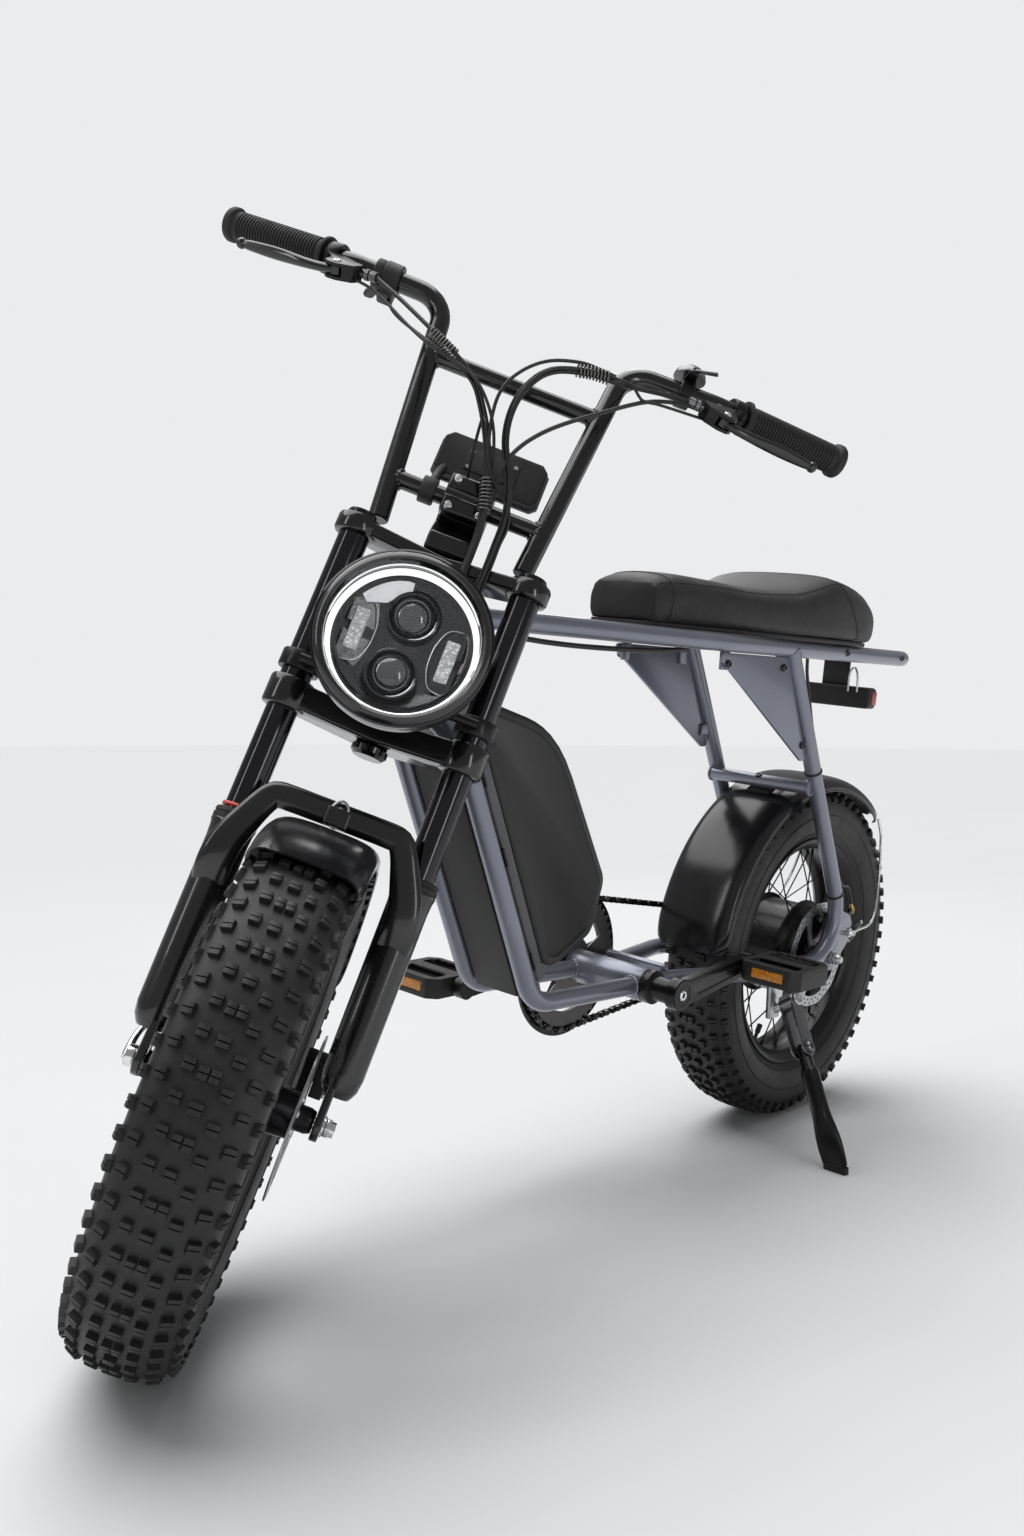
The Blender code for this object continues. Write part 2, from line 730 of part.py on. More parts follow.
def swept(outline, centre, start, end, steps):
    """A (left, radius) outline carried round a wheel's axis, its ends closed."""
    rings = []
    for step in range(steps + 1):
        angle = math.radians(start + (end - start) * step / steps)
        ring = []
        for left, radius in outline:
            ring.append((centre[0] + radius * math.cos(angle), left,
                         centre[1] + radius * math.sin(angle)))
        rings.append(ring)
    return lofted(rings)


def lofted(rings):
    """A skin over closed rings of points, flat at both ends."""
    count = len(rings[0])
    points = [point for ring in rings for point in ring]
    faces = [tuple(range(count)), tuple(range((len(rings) - 1) * count, len(rings) * count))]
    for index in range(len(rings) - 1):
        for step in range(count):
            other = (step + 1) % count
            faces.append((index * count + step, index * count + other,
                          (index + 1) * count + other, (index + 1) * count + step))
    return shape(points, faces)


def eased(place, table):
    """A value read from (place, value) pairs along a smooth curve through them."""
    for index, (low, high) in enumerate(zip(table, table[1:])):
        if place <= high[0] or index == len(table) - 2:
            before = table[max(index - 1, 0)]
            after = table[min(index + 2, len(table) - 1)]
            span = high[0] - low[0]
            share = min(max((place - low[0]) / span, 0.0), 1.0)
            rise_low = (high[1] - before[1]) / max(high[0] - before[0], 1e-9) * span
            rise_high = (after[1] - low[1]) / max(after[0] - low[0], 1e-9) * span
            square = share * share
            cube = square * share
            return ((2 * cube - 3 * square + 1) * low[1] + (cube - 2 * square + share) * rise_low
                    + (3 * square - 2 * cube) * high[1] + (cube - square) * rise_high)
    return table[-1][1]


def curve_through(points, spacing):
    """Evenly spaced points on a smooth curve through the given ones."""
    points = [Vector(point) for point in points]
    lengths = [0.0]
    for before, after in zip(points, points[1:]):
        lengths.append(lengths[-1] + (after - before).length)
    tables = [[(length, point[axis]) for length, point in zip(lengths, points)]
              for axis in range(3)]
    steps = max(2, round(lengths[-1] / spacing))
    path = []
    for step in range(steps + 1):
        place = lengths[-1] * step / steps
        path.append(Vector([eased(place, table) for table in tables]))
    return path


def cord(path, radius, resolution=2):
    """A cable along a path, as a curve with round section and closed ends."""
    curve = bpy.data.curves.new("cord", "CURVE")
    curve.dimensions = "3D"
    curve.bevel_depth = radius
    curve.bevel_resolution = resolution
    curve.use_fill_caps = True
    spline = curve.splines.new("POLY")
    spline.points.add(len(path) - 1)
    for spot, point in zip(spline.points, path):
        spot.co = (*point, 1.0)
    made = bpy.data.objects.new("cord", curve)
    bpy.context.collection.objects.link(made)
    return made


def laid(item, name, finish, parent):
    """Names a cable, gives it its finish, and hangs it on its parent."""
    item.name = name
    item.data.name = name
    item.data.materials.append(finish)
    item.parent = parent
    return item


# Wheels

TYRE_STEPS = 2 * TREAD_PITCHES
CARCASS_RADIUS = TYRE_RADIUS - KNOB_HEIGHT
RIM_BED = RIM_RADIUS - RIM_FLANGE
RIM_INNER = RIM_RADIUS - RIM_DEPTH
RIM_LIP = 0.0038


def make_rim():
    half = RIM_WIDTH / 2
    profile = [
        (-half, RIM_RADIUS), (-half + RIM_LIP, RIM_RADIUS), (-half + RIM_LIP, RIM_BED),
        (half - RIM_LIP, RIM_BED), (half - RIM_LIP, RIM_RADIUS), (half, RIM_RADIUS),
        (half * 0.72, RIM_INNER), (-half * 0.72, RIM_INNER),
    ]
    return lathe(profile, RIM_STEPS)


def make_tyre():
    """A carcass seated on the rim, with staggered rows of raised knobs."""
    half = TYRE_WIDTH / 2
    seat = (RIM_BED + FIT) / math.cos(math.pi / TYRE_STEPS)
    lip = (RIM_RADIUS + FIT) / math.cos(math.pi / TYRE_STEPS)
    bead = RIM_WIDTH / 2 - RIM_LIP - FIT
    height = CARCASS_RADIUS - RIM_RADIUS
    side = [(left * half, CARCASS_RADIUS - drop * height) for left, drop in TREAD_SECTION]
    side += [(bead, lip), (bead, seat)]
    profile = [(-left, radius) for left, radius in reversed(side)] + side
    item = lathe(profile, TYRE_STEPS)
    edit = bmesh.new()
    edit.from_mesh(item.data)
    edit.faces.ensure_lookup_table()
    chosen = []
    for face in edit.faces:
        middle = face.calc_center_median()
        if face.normal.dot(Vector((middle.x, 0, middle.z)).normalized()) < 0.3:
            continue
        reach = abs(middle.y) / half
        if reach < 0.1:
            parity = 0
        elif 0.5 < reach < 0.85:
            parity = 1
        else:
            continue
        angle = math.atan2(middle.z, middle.x) / (2 * math.pi) * TYRE_STEPS
        if math.floor(angle + 1e-6) % 2 == parity:
            chosen.append(face)
    grown = bmesh.ops.extrude_discrete_faces(edit, faces=chosen)["faces"]
    for face in grown:
        middle = face.calc_center_median()
        rise = face.normal * KNOB_HEIGHT
        for vertex in face.verts:
            vertex.co = middle + (vertex.co - middle) * 0.84 + rise
    edit.to_mesh(item.data)
    edit.free()
    return item


def spoke_set(flange_y, flange_radius, cross, stagger):
    """All spokes of a wheel, leading and trailing ones on either side of each flange."""
    made = []
    for index in range(SPOKES):
        side = 1 if index % 2 else -1
        lead = 1 if (index // 2) % 2 else -1
        rim_angle = 2 * math.pi * index / SPOKES
        hub_angle = rim_angle + lead * cross
        hub_y = side * (flange_y + lead * stagger / 2)
        rim_y = side * (0.010 + lead * stagger)
        rim_reach = RIM_INNER * math.cos(math.pi / RIM_STEPS) - RUNNING
        start = (flange_radius * math.cos(hub_angle), hub_y, flange_radius * math.sin(hub_angle))
        end = (rim_reach * math.cos(rim_angle), rim_y, rim_reach * math.sin(rim_angle))
        made.append(rod(start, end, SPOKE_RADIUS, 3))
    return joined(made)


def make_rotor(middle, hole):
    """A brake disc: a band on six swept arms, with a centre that fits the hub's nose."""
    low = middle - ROTOR_THICKNESS / 2
    high = middle + ROTOR_THICKNESS / 2
    disc = prism(arc((0, 0), ROTOR_RADIUS, 0, 345, 23), low, high)
    inner = ROTOR_RADIUS - ROTOR_BAND
    tools = []
    for arm in range(6):
        turn = 60 * arm
        window = arc((0, 0), inner, turn + 6, turn + 50, 3)
        window += arc((0, 0), 0.030, turn + 22, turn - 14, 2)
        tools.append(prism(window, low - 0.01, high + 0.01))
    tools.append(bore((0, low - 0.01, 0), (0, high + 0.01, 0), hole, FIT, 12))
    return cut(disc, joined(tools))


HUB_NOSE = 0.0125
REAR_AXLE_INNER = RAIL_HALF_SPACING - DROPOUT_THICKNESS / 2 - 0.008 + RUNNING


def front_hub():
    end = FORK_DROPOUT_Y - DROPOUT_THICKNESS / 2 - RUNNING
    face = FRONT_ROTOR_Y - ROTOR_THICKNESS / 2 - FIT
    hole = (AXLE_RADIUS + FIT) / math.cos(math.pi / 12)
    profile = [
        (-end, hole), (-end, HUB_NOSE), (-0.040, 0.016), (-0.038, 0.030), (-0.033, 0.030),
        (-0.030, 0.018), (0.030, 0.018), (0.033, 0.030), (0.038, 0.030),
        (face, 0.022), (face, HUB_NOSE), (end, HUB_NOSE), (end, hole),
    ]
    return united(lathe(profile, 12), spoke_set(0.0355, 0.0275, math.radians(38), 0.0034))


def rear_hub():
    """The hub motor: a wide drum with a spoke flange on each side, a disc seat and a thread."""
    end = REAR_AXLE_INNER - RUNNING
    half = HUB_MOTOR_HALF_WIDTH
    drum = HUB_MOTOR_RADIUS
    face = REAR_ROTOR_Y - ROTOR_THICKNESS / 2 - FIT
    wheel_side = CHAIN_LINE - RING_THICKNESS / 2 - 0.004 - RUNNING
    hole = (AXLE_RADIUS + FIT) / math.cos(math.pi / 16)
    profile = [
        (-end, hole), (-end, HUB_NOSE), (-wheel_side, HUB_NOSE), (-wheel_side, 0.020),
        (-half - 0.004, 0.030), (-half, drum - 0.010), (-half + 0.012, drum + 0.007),
        (-half + 0.020, drum), (half - 0.020, drum), (half - 0.012, drum + 0.007),
        (half, drum - 0.010), (half + 0.004, 0.030), (face, 0.022),
        (face, HUB_NOSE), (end, HUB_NOSE), (end, hole),
    ]
    flange = half - 0.014
    return united(lathe(profile, 14), spoke_set(flange, drum + 0.001, math.radians(14), 0.0030))


def axle(inner, plate_middle, tail):
    """A fixed axle with collars inside the plates and nuts outside them."""
    plate_in = plate_middle - DROPOUT_THICKNESS / 2 - FIT
    plate_out = plate_middle + DROPOUT_THICKNESS / 2 + FIT
    nut = plate_out + AXLE_NUT_LENGTH
    half = [(inner, AXLE_RADIUS)]
    if plate_in - inner > 0.001:
        half = [(inner, AXLE_RADIUS), (inner, HUB_NOSE), (plate_in, HUB_NOSE)]
        half.append((plate_in, AXLE_RADIUS))
    half += [(plate_out, AXLE_RADIUS), (plate_out, AXLE_NUT_RADIUS), (nut, AXLE_NUT_RADIUS)]
    half += [(nut, AXLE_RADIUS), (nut + tail, AXLE_RADIUS), (nut + tail, 0.0)]
    profile = [(-left, radius) for left, radius in reversed(half)] + half
    return lathe(profile, 7)


def caliper(rotor_y, inner, outer):
    """A mechanical disc caliper round the rotor.

    Local X runs along the disc's rim, local Z away from the axle; the arm is on +Y.
    """
    low = rotor_y - inner
    high = rotor_y + outer
    body = box((-0.023, low, -0.013), (0.023, high, 0.013))
    drum = rod((-0.008, high - 0.001, 0), (-0.008, high + 0.006, 0), 0.0115, 8)
    arm = prism([(-0.002, -0.006), (-0.014, -0.006), (-0.017, 0.004), (-0.010, 0.030),
                 (-0.002, 0.030), (0.002, 0.004)], high + 0.003, high + 0.0065)
    stop = rod((0.030, high - 0.003, 0.022), (0.014, high - 0.003, 0.022), 0.0035, 6)
    strut = prism([(0.022, 0.008), (0.012, 0.008), (0.014, 0.022), (0.022, 0.022)],
                  high - 0.006, high - 0.001)
    slot = box((-0.04, rotor_y - ROTOR_THICKNESS / 2 - 0.0007, -0.02),
               (0.04, rotor_y + ROTOR_THICKNESS / 2 + 0.0007, 0.009))
    return cut(united(body, drum, arm, strut, stop), slot)


def caliper_matrix(centre, angle):
    """Sets a caliper astride its disc at an angle about the axle."""
    turn = math.radians(angle)
    reach = ROTOR_RADIUS - 0.0065
    origin = (centre[0] + reach * math.cos(turn), 0, centre[1] + reach * math.sin(turn))
    return basis(origin, (math.sin(turn), 0, -math.cos(turn)), (math.cos(turn), 0, math.sin(turn)))


for wheel, parent in (("front", FRONT_WHEEL), ("rear", REAR_WHEEL)):
    finished(make_rim(), wheel + "_rim", SATIN_BLACK, parent)
    finished(make_tyre(), wheel + "_tyre", RUBBER, parent)
finished(front_hub(), "front_hub", DARK_STEEL, FRONT_WHEEL)
finished(rear_hub(), "rear_hub_motor", SATIN_BLACK, REAR_WHEEL)
finished(make_rotor(FRONT_ROTOR_Y, HUB_NOSE), "front_brake_disc", STEEL, FRONT_WHEEL)
finished(make_rotor(REAR_ROTOR_Y, HUB_NOSE), "rear_brake_disc", STEEL, REAR_WHEEL)


# Chain drive

RING_PITCH_RADIUS = CHAIN_PITCH / (2 * math.sin(math.pi / RING_TEETH))
SPROCKET_PITCH_RADIUS = CHAIN_PITCH / (2 * math.sin(math.pi / SPROCKET_TEETH))


def toothed(teeth, pitch_radius, middle, thickness, hole, phase):
    """A chain wheel whose teeth stand between the chain's pins."""
    root = pitch_radius - CHAIN_PITCH * 0.31
    tip = pitch_radius - CHAIN_PITCH * 0.02
    outline = []
    for tooth in range(teeth):
        for share, radius in ((-0.5, root), (0.0, tip)):
            angle = 2 * math.pi * (tooth + share + phase) / teeth
            outline.append((radius * math.cos(angle), radius * math.sin(angle)))
    disc = prism(outline, middle - thickness / 2, middle + thickness / 2)
    return cut(disc, bore((0, middle - 0.02, 0), (0, middle + 0.02, 0), hole, FIT, 12))


def chain_path():
    """The chain's pitch line round the chainring and the sprocket, in the crank's frame."""
    ring = Vector((0.0, 0.0))
    sprocket = Vector((-BRACKET_X, TYRE_RADIUS - BRACKET_Z))
    across = sprocket - ring
    heading = math.degrees(math.atan2(across.y, across.x))
    lean = math.degrees(math.acos((RING_PITCH_RADIUS - SPROCKET_PITCH_RADIUS) / across.length))
    big = arc(ring, RING_PITCH_RADIUS, heading + lean, heading + 360 - lean, 16)
    small = arc(sprocket, SPROCKET_PITCH_RADIUS, heading - lean, heading + lean, 8)
    return big + small


def make_chain():
    """The chain as one loop of paired plates: a channel open towards the teeth."""
    corners = [Vector(point) for point in chain_path()]
    corners.append(corners[0])
    spots = []
    for before, after in zip(corners, corners[1:]):
        run = after - before
        pieces = 2 * round(run.length / (8 * CHAIN_PITCH)) or 1
        spots += [before + run * step / pieces for step in range(pieces)]
    count = len(spots)
    half_width = CHAIN_WIDTH / 2
    slot = half_width - 0.0012
    rings = []
    for index, spot in enumerate(spots):
        along = (spots[(index + 1) % count] - spots[index - 1]).normalized()
        out = Vector((along.y, -along.x))
        if out.dot(spot - Vector((-BRACKET_X / 2, 0))) < 0:
            out = -out
        tall = CHAIN_HEIGHT / 2 * (1.0 if index % 2 else 0.72)
        top = spot + out * tall
        floor = spot + out * tall * 0.35
        low = spot - out * tall
        ring = []
        for left, level in ((-half_width, top), (half_width, top), (half_width, low), (slot, low),
                            (slot, floor), (-slot, floor), (-slot, low), (-half_width, low)):
            ring.append((level.x, left - CHAIN_LINE, level.y))
        rings.append(ring)
    size = len(rings[0])
    points = [point for ring in rings for point in ring]
    faces = []
    for index in range(count):
        following = (index + 1) % count
        for step in range(size):
            other = (step + 1) % size
            faces.append((index * size + step, index * size + other,
                          following * size + other, following * size + step))
    return shape(points, faces)


CRANK_RIGHT_END = (CRANK_LENGTH * math.cos(-CRANK_DROP), CRANK_LENGTH * math.sin(-CRANK_DROP))
CRANK_LEFT_END = (-CRANK_RIGHT_END[0], -CRANK_RIGHT_END[1])
PEDAL_AXLE_RADIUS = 0.0045
CRANK_EYE = 0.014
CRANK_BOSS = 0.020
RING_SEAT = 0.0175
RING_HOLDER = 0.052


def crank_arm(end, side):
    """A tapered arm from the spindle boss to the pedal eye."""
    low = CRANK_PLANE - CRANK_THICKNESS / 2
    high = CRANK_PLANE + CRANK_THICKNESS / 2
    outline = belt((0, 0), CRANK_BOSS * 0.8, end, CRANK_EYE * 0.86, 4)
    arm = prism(outline, side * low, side * high)
    eye = rod((end[0], side * (low - 0.001), end[1]), (end[0], side * (high + 0.001), end[1]),
              CRANK_EYE, 10)
    return united(arm, eye)


def crank_right():
    """The right arm with the spindle and the chainring's seat."""
    out = -(CRANK_PLANE + CRANK_THICKNESS / 2)
    seat_face = -(CHAIN_LINE + RING_THICKNESS / 2 + FIT)
    boss = lathe([
        (BRACKET_HALF_LENGTH + 0.016, 0.0), (BRACKET_HALF_LENGTH + 0.016, SPINDLE_RADIUS),
        (-BRACKET_HALF_LENGTH - RUNNING, SPINDLE_RADIUS), (-BRACKET_HALF_LENGTH - RUNNING, RING_SEAT),
        (seat_face, RING_SEAT), (seat_face, RING_HOLDER * 0.6), (seat_face - 0.010, CRANK_BOSS),
        (out, CRANK_BOSS), (out, 0.0),
    ], 12)
    hole = bore((CRANK_RIGHT_END[0], -0.2, CRANK_RIGHT_END[1]),
                (CRANK_RIGHT_END[0], 0.0, CRANK_RIGHT_END[1]), PEDAL_AXLE_RADIUS, FIT, 12)
    return cut(united(boss, crank_arm(CRANK_RIGHT_END, -1)), hole)


def crank_left():
    """The left arm, its boss closed by a wide dust cover beside the bracket."""
    near = BRACKET_HALF_LENGTH + RUNNING
    out = CRANK_PLANE + CRANK_THICKNESS / 2
    boss = lathe([
        (near, 0.014), (near, 0.0215), (near + 0.012, 0.0215), (near + 0.014, 0.0155),
        (CRANK_PLANE - CRANK_THICKNESS / 2 - 0.001, 0.0155),
        (CRANK_PLANE - CRANK_THICKNESS / 2 - 0.001, CRANK_BOSS),
        (out, CRANK_BOSS), (out, 0.0), (near + 0.0165, 0.0), (near + 0.0165, 0.014),
    ], 12)
    hole = bore((CRANK_LEFT_END[0], 0.0, CRANK_LEFT_END[1]),
                (CRANK_LEFT_END[0], 0.2, CRANK_LEFT_END[1]), PEDAL_AXLE_RADIUS, FIT, 12)
    return cut(united(boss, crank_arm(CRANK_LEFT_END, 1)), hole)


def chainring():
    """The toothed ring on five arms, with the trouser guard outside it."""
    ring = toothed(RING_TEETH, RING_PITCH_RADIUS, -CHAIN_LINE, RING_THICKNESS, RING_SEAT, 0.5)
    guard_low = -CHAIN_LINE - CHAIN_WIDTH / 2 - 0.0045
    guard_high = guard_low + 0.003
    guard = prism(arc((0, 0), GUARD_RADIUS, 0, 342, 19), guard_low, guard_high)
    middle = arc((0, 0), RING_HOLDER + 0.014, 0, 330, 11)
    guard = cut(guard, prism(middle, guard_low - 0.01, guard_high + 0.01))
    posts = []
    tools = []
    for index in range(5):
        turn = 72 * index + 20
        angle = math.radians(turn)
        reach = RING_HOLDER + 0.021
        spot = (reach * math.cos(angle), reach * math.sin(angle))
        posts.append(rod((spot[0], -CHAIN_LINE, spot[1]), (spot[0], guard_low + 0.001, spot[1]),
                         0.005, 4))
        window = arc((0, 0), 0.066, turn + 12, turn + 60, 2)
        window += arc((0, 0), 0.032, turn + 50, turn + 22, 1)
        tools.append(prism(window, -CHAIN_LINE - 0.003, -CHAIN_LINE + 0.01))
    return united(cut(ring, joined(tools)), guard, *posts)


def pedal(side, end):
    """A caged pedal on its axle, with a reflector block let into its front and back."""
    near = CRANK_PLANE + CRANK_THICKNESS / 2 + 0.004
    far = near + PEDAL_WIDTH
    middle = (near + far) / 2
    cage = block((end[0], middle, end[1]), (PEDAL_LENGTH, PEDAL_WIDTH, PEDAL_HEIGHT))
    windows = []
    for ahead in (-1, 1):
        windows.append(block((end[0] + ahead * 0.0225, middle, end[1]),
                             (0.021, PEDAL_WIDTH - 0.018, 0.1)))
        windows.append(block((end[0] + ahead * (PEDAL_LENGTH / 2), middle, end[1]),
                             (0.006, 0.046, 0.013)))
    cage = cut(cage, joined(windows))
    pin = rod((end[0], CRANK_PLANE - CRANK_THICKNESS / 2 + 0.001, end[1]),
              (end[0], near + 0.01, end[1]), PEDAL_AXLE_RADIUS, 8)
    collar = rod((end[0], near - 0.003 + FIT, end[1]), (end[0], near + 0.004, end[1]), 0.0085, 8)
    made = united(cage, pin, collar)
    return made if side > 0 else mirrored(made)


def freewheel():
    return toothed(SPROCKET_TEETH, SPROCKET_PITCH_RADIUS, -CHAIN_LINE, RING_THICKNESS,
                   HUB_NOSE, 0.0)


finished(crank_right(), "crank_right", SATIN_BLACK, CRANKS)
finished(crank_left(), "crank_left", SATIN_BLACK, CRANKS)
finished(chainring(), "chainring", SATIN_BLACK, CRANKS)
finished(make_chain(), "chain", DARK_STEEL, CRANKS)
finished(pedal(1, CRANK_LEFT_END), "pedal_left", SATIN_BLACK, CRANKS,
         (CRANK_LEFT_END[0], 0, CRANK_LEFT_END[1]))
finished(pedal(-1, CRANK_RIGHT_END), "pedal_right", SATIN_BLACK, CRANKS,
         (CRANK_RIGHT_END[0], 0, CRANK_RIGHT_END[1]))
finished(freewheel(), "freewheel", DARK_STEEL, REAR_WHEEL)


# Frame fittings and seat

def gusset(side):
    """The bolted corner plate, with the heads of its three bolts."""
    middle = side * RAIL_HALF_SPACING
    face = middle + side * GUSSET_THICKNESS / 2
    heads = []
    for ahead, height in gusset_bolts():
        heads.append(rod((ahead, face - side * 0.001, height), (ahead, face + side * 0.003, height),
                         0.0055, 6))
    return united(plate(gusset_outline(), middle, GUSSET_THICKNESS), *heads)


SEAT_BOTTOM = RAIL_HEIGHT + TUBE_RADIUS + FIT
CUSHION_BOTTOM = SEAT_BOTTOM + SEAT_BASE_THICKNESS + FIT
SEAT_TOPS_OVER_RAILS = (
    (-0.022, 0.032), (-0.012, 0.059), (0.020, 0.084), (0.070, 0.100), (0.110, 0.103), (0.160, 0.092),
    (0.220, 0.077), (0.300, 0.070), (0.380, 0.070), (0.450, 0.068), (0.485, 0.061), (0.505, 0.046),
    (0.512, 0.032),
)
SEAT_HALF_WIDTHS = (
    (-0.022, 0.078), (0.000, 0.098), (0.050, 0.112), (0.100, 0.115), (0.160, 0.112), (0.240, 0.103),
    (0.350, 0.083), (0.440, 0.060), (0.490, 0.047), (0.506, 0.036), (0.512, 0.024),
)
SEAT_SECTION = (
    (0.86, 0.0), (0.96, 0.10), (1.0, 0.34), (0.985, 0.64), (0.952, 0.675), (0.962, 0.71),
    (0.88, 0.88), (0.68, 0.962), (0.36, 0.992), (0.0, 1.0),
)
SEAT_STATIONS = (
    -0.022, -0.010, 0.010, 0.040, 0.070, 0.0975, 0.100, 0.1025, 0.130, 0.165, 0.205,
    0.250, 0.300, 0.350, 0.400, 0.440, 0.474, 0.4765, 0.479, 0.497, 0.507, 0.512,
)
SEAT_SEAMS = (0.100, 0.4765)


def seat_ring(place):
    """One section of the cushion, leaning over towards the raised rear."""
    half = eased(place, SEAT_HALF_WIDTHS)
    tall = RAIL_HEIGHT + eased(place, SEAT_TOPS_OVER_RAILS) - CUSHION_BOTTOM
    lean = 1.0 - min(abs(place - 0.100) / 0.115, 1.0)
    inset = 0.0016 if place in SEAT_SEAMS else 0.0
    half_ring = []
    for wide, high in SEAT_SECTION:
        left = wide * half - inset
        up = high * (tall - inset)
        half_ring.append((place + 0.8 * lean * (up - tall / 2), left, CUSHION_BOTTOM + up))
    other = [(ahead, -left, up) for ahead, left, up in reversed(half_ring[:-1])]
    return half_ring + other


def seat_base():
    """The pan under the cushion, drawn in from its edge."""
    right = []
    for place in (-0.004, 0.020, 0.060, 0.110, 0.180, 0.260, 0.340, 0.420, 0.470, 0.490):
        right.append((place, eased(place, SEAT_HALF_WIDTHS) * SEAT_BASE_INSET))
    left = [(ahead, -side) for ahead, side in reversed(right)]
    return prism(right + left, SEAT_BOTTOM, SEAT_BOTTOM + SEAT_BASE_THICKNESS, "Z")


STAY_BENDS = ((0.957, 128.9, -0.0012), (0.893, 134.0, 0.0040), (0.660, 148.8, 0.0160),
              (0.480, 159.9, 0.0260))
STAY_EYE_X = -0.044
STAY_EYE_RISE = 0.034


def rear_fender():
    """The rear mudguard, its bolt-up block, and the wire stays to the dropouts."""
    inner = TYRE_RADIUS + FENDER_CLEARANCE
    wide = FENDER_HALF_WIDTH
    thick = FENDER_THICKNESS
    half = [(wide, inner - 0.018), (wide - 0.004, inner - 0.004), (wide - 0.026, inner + thick)]
    under = [(wide - 0.0275, inner), (wide - 0.0068, inner - 0.0062), (wide - thick, inner - 0.018)]
    outline = half + [(-left, radius) for left, radius in reversed(half)]
    outline += [(-left, radius) for left, radius in reversed(under)] + under
    guard = swept(outline, (0, TYRE_RADIUS), 6, 131, 13)
    cross = Vector(cross_tube()) - Vector((0, TYRE_RADIUS))
    near = cross.length - CROSS_TUBE_RADIUS - FIT
    out = cross.normalized()
    side = Vector((-out.y, out.x)) * 0.012
    centre = Vector((0, TYRE_RADIUS))
    low = centre + out * (inner + thick * 0.5)
    high = centre + out * near
    spacer = prism([low - side, low + side, high + side, high - side], -0.018, 0.018)
    stays = []
    for hand in (1, -1):
        eye_y = hand * (RAIL_HALF_SPACING + DROPOUT_THICKNESS / 2 + FIT + 0.002)
        eye_z = TYRE_RADIUS + STAY_EYE_RISE
        path = []
        for share, angle, out in STAY_BENDS:
            turn = math.radians(angle)
            path.append((inner * share * math.cos(turn), hand * (wide + out),
                         TYRE_RADIUS + inner * share * math.sin(turn)))
        path += [(STAY_EYE_X - 0.020, eye_y, eye_z + 0.0005), (STAY_EYE_X - 0.002, eye_y, eye_z)]
        path = curve_through(path, 0.034)
        eye = rod((STAY_EYE_X, eye_y - 0.002, eye_z), (STAY_EYE_X, eye_y + 0.002, eye_z), 0.0065, 8)
        stays += [tube(path, 0.0021, 4), eye]
    return united(guard, spacer, *stays)


TAIL_LIGHT = (-0.082, RAIL_HEIGHT - 0.064)


def tail_light_housing():
    ahead, height = TAIL_LIGHT
    body = box((ahead - 0.009, -0.065, height - 0.016), (ahead + 0.015, 0.065, height + 0.016))
    body = softened(body, 0.004)
    strip = box((ahead, -0.022, height + 0.010), (ahead + 0.004, 0.022, RAIL_HEIGHT + 0.002))
    reach = RAIL_HALF_SPACING - TUBE_RADIUS - FIT
    cross = box((ahead - 0.006, -reach, RAIL_HEIGHT - 0.004), (ahead + 0.012, reach, RAIL_HEIGHT + 0.002))
    recess = box((ahead - 0.012, -0.059, height - 0.011), (ahead - 0.004, 0.059, height + 0.011))
    return cut(united(body, strip, cross), recess)


def tail_light_lens():
    ahead, height = TAIL_LIGHT
    return box((ahead - 0.013, -0.059 + FIT, height - 0.011 + FIT),
               (ahead - 0.004 - FIT, 0.059 - FIT, height + 0.011 - FIT))


finished(make_frame(), "frame", PAINT, BIKE)
finished(gusset(1), "gusset_left", PAINT, BIKE)
finished(gusset(-1), "gusset_right", PAINT, BIKE)
finished(seat_base(), "seat_base", PLASTIC, BIKE)
finished(lofted([seat_ring(place) for place in SEAT_STATIONS]), "seat_cushion", LEATHER, BIKE)
finished(rear_fender(), "rear_fender", PLASTIC, BIKE)
finished(tail_light_housing(), "tail_light_housing", PLASTIC, BIKE)
finished(tail_light_lens(), "tail_light_lens", RED_LENS, BIKE)
finished(shifted(axle(REAR_AXLE_INNER, RAIL_HALF_SPACING, AXLE_TAIL), (0, 0, TYRE_RADIUS)), "rear_axle",
         STEEL, BIKE, (0, 0, TYRE_RADIUS))
REAR_CALIPER = caliper_matrix((0, TYRE_RADIUS), 150)
finished(moved(caliper(REAR_ROTOR_Y, 0.0125, 0.0165), REAR_CALIPER), "rear_brake_caliper",
         SATIN_BLACK, BIKE)


# Battery

def battery_point(along, behind, left=0.0):
    """A point set out along and behind the down tubes, in the bicycle's frame."""
    run = (Vector(DOWN_TUBE_TOP) - Vector(FRONT_CORNER)).normalized()
    back = Vector((-run.y, run.x))
    spot = Vector(FRONT_CORNER) + run * (BATTERY_UP + along) + back * behind
    return Vector((spot.x, left, spot.y))


def battery_prism(outline, low, high):
    flat = []
    for along, behind in outline:
        spot = battery_point(along, behind)
        flat.append((spot.x, spot.z))
    return prism(flat, low, high)


BATTERY_FRONT = 0.022
BATTERY_OUTLINE = (
    (0.158, 0.059), (0.093, 0.133), (0.048, 0.158), (-0.139, 0.174), (-0.190, 0.129),
    (-0.190, BATTERY_FRONT), (0.100, BATTERY_FRONT),
)
LOCK_OUTLINE = ((0.107, 0.0128), (0.150, 0.0128), (0.155, 0.050))
KEY_SPOT = (0.136, 0.027)
KEY_RADIUS = 0.0075


def battery_case():
    half = BATTERY_HALF_WIDTH
    return softened(battery_prism(BATTERY_OUTLINE, -half, half), 0.006)


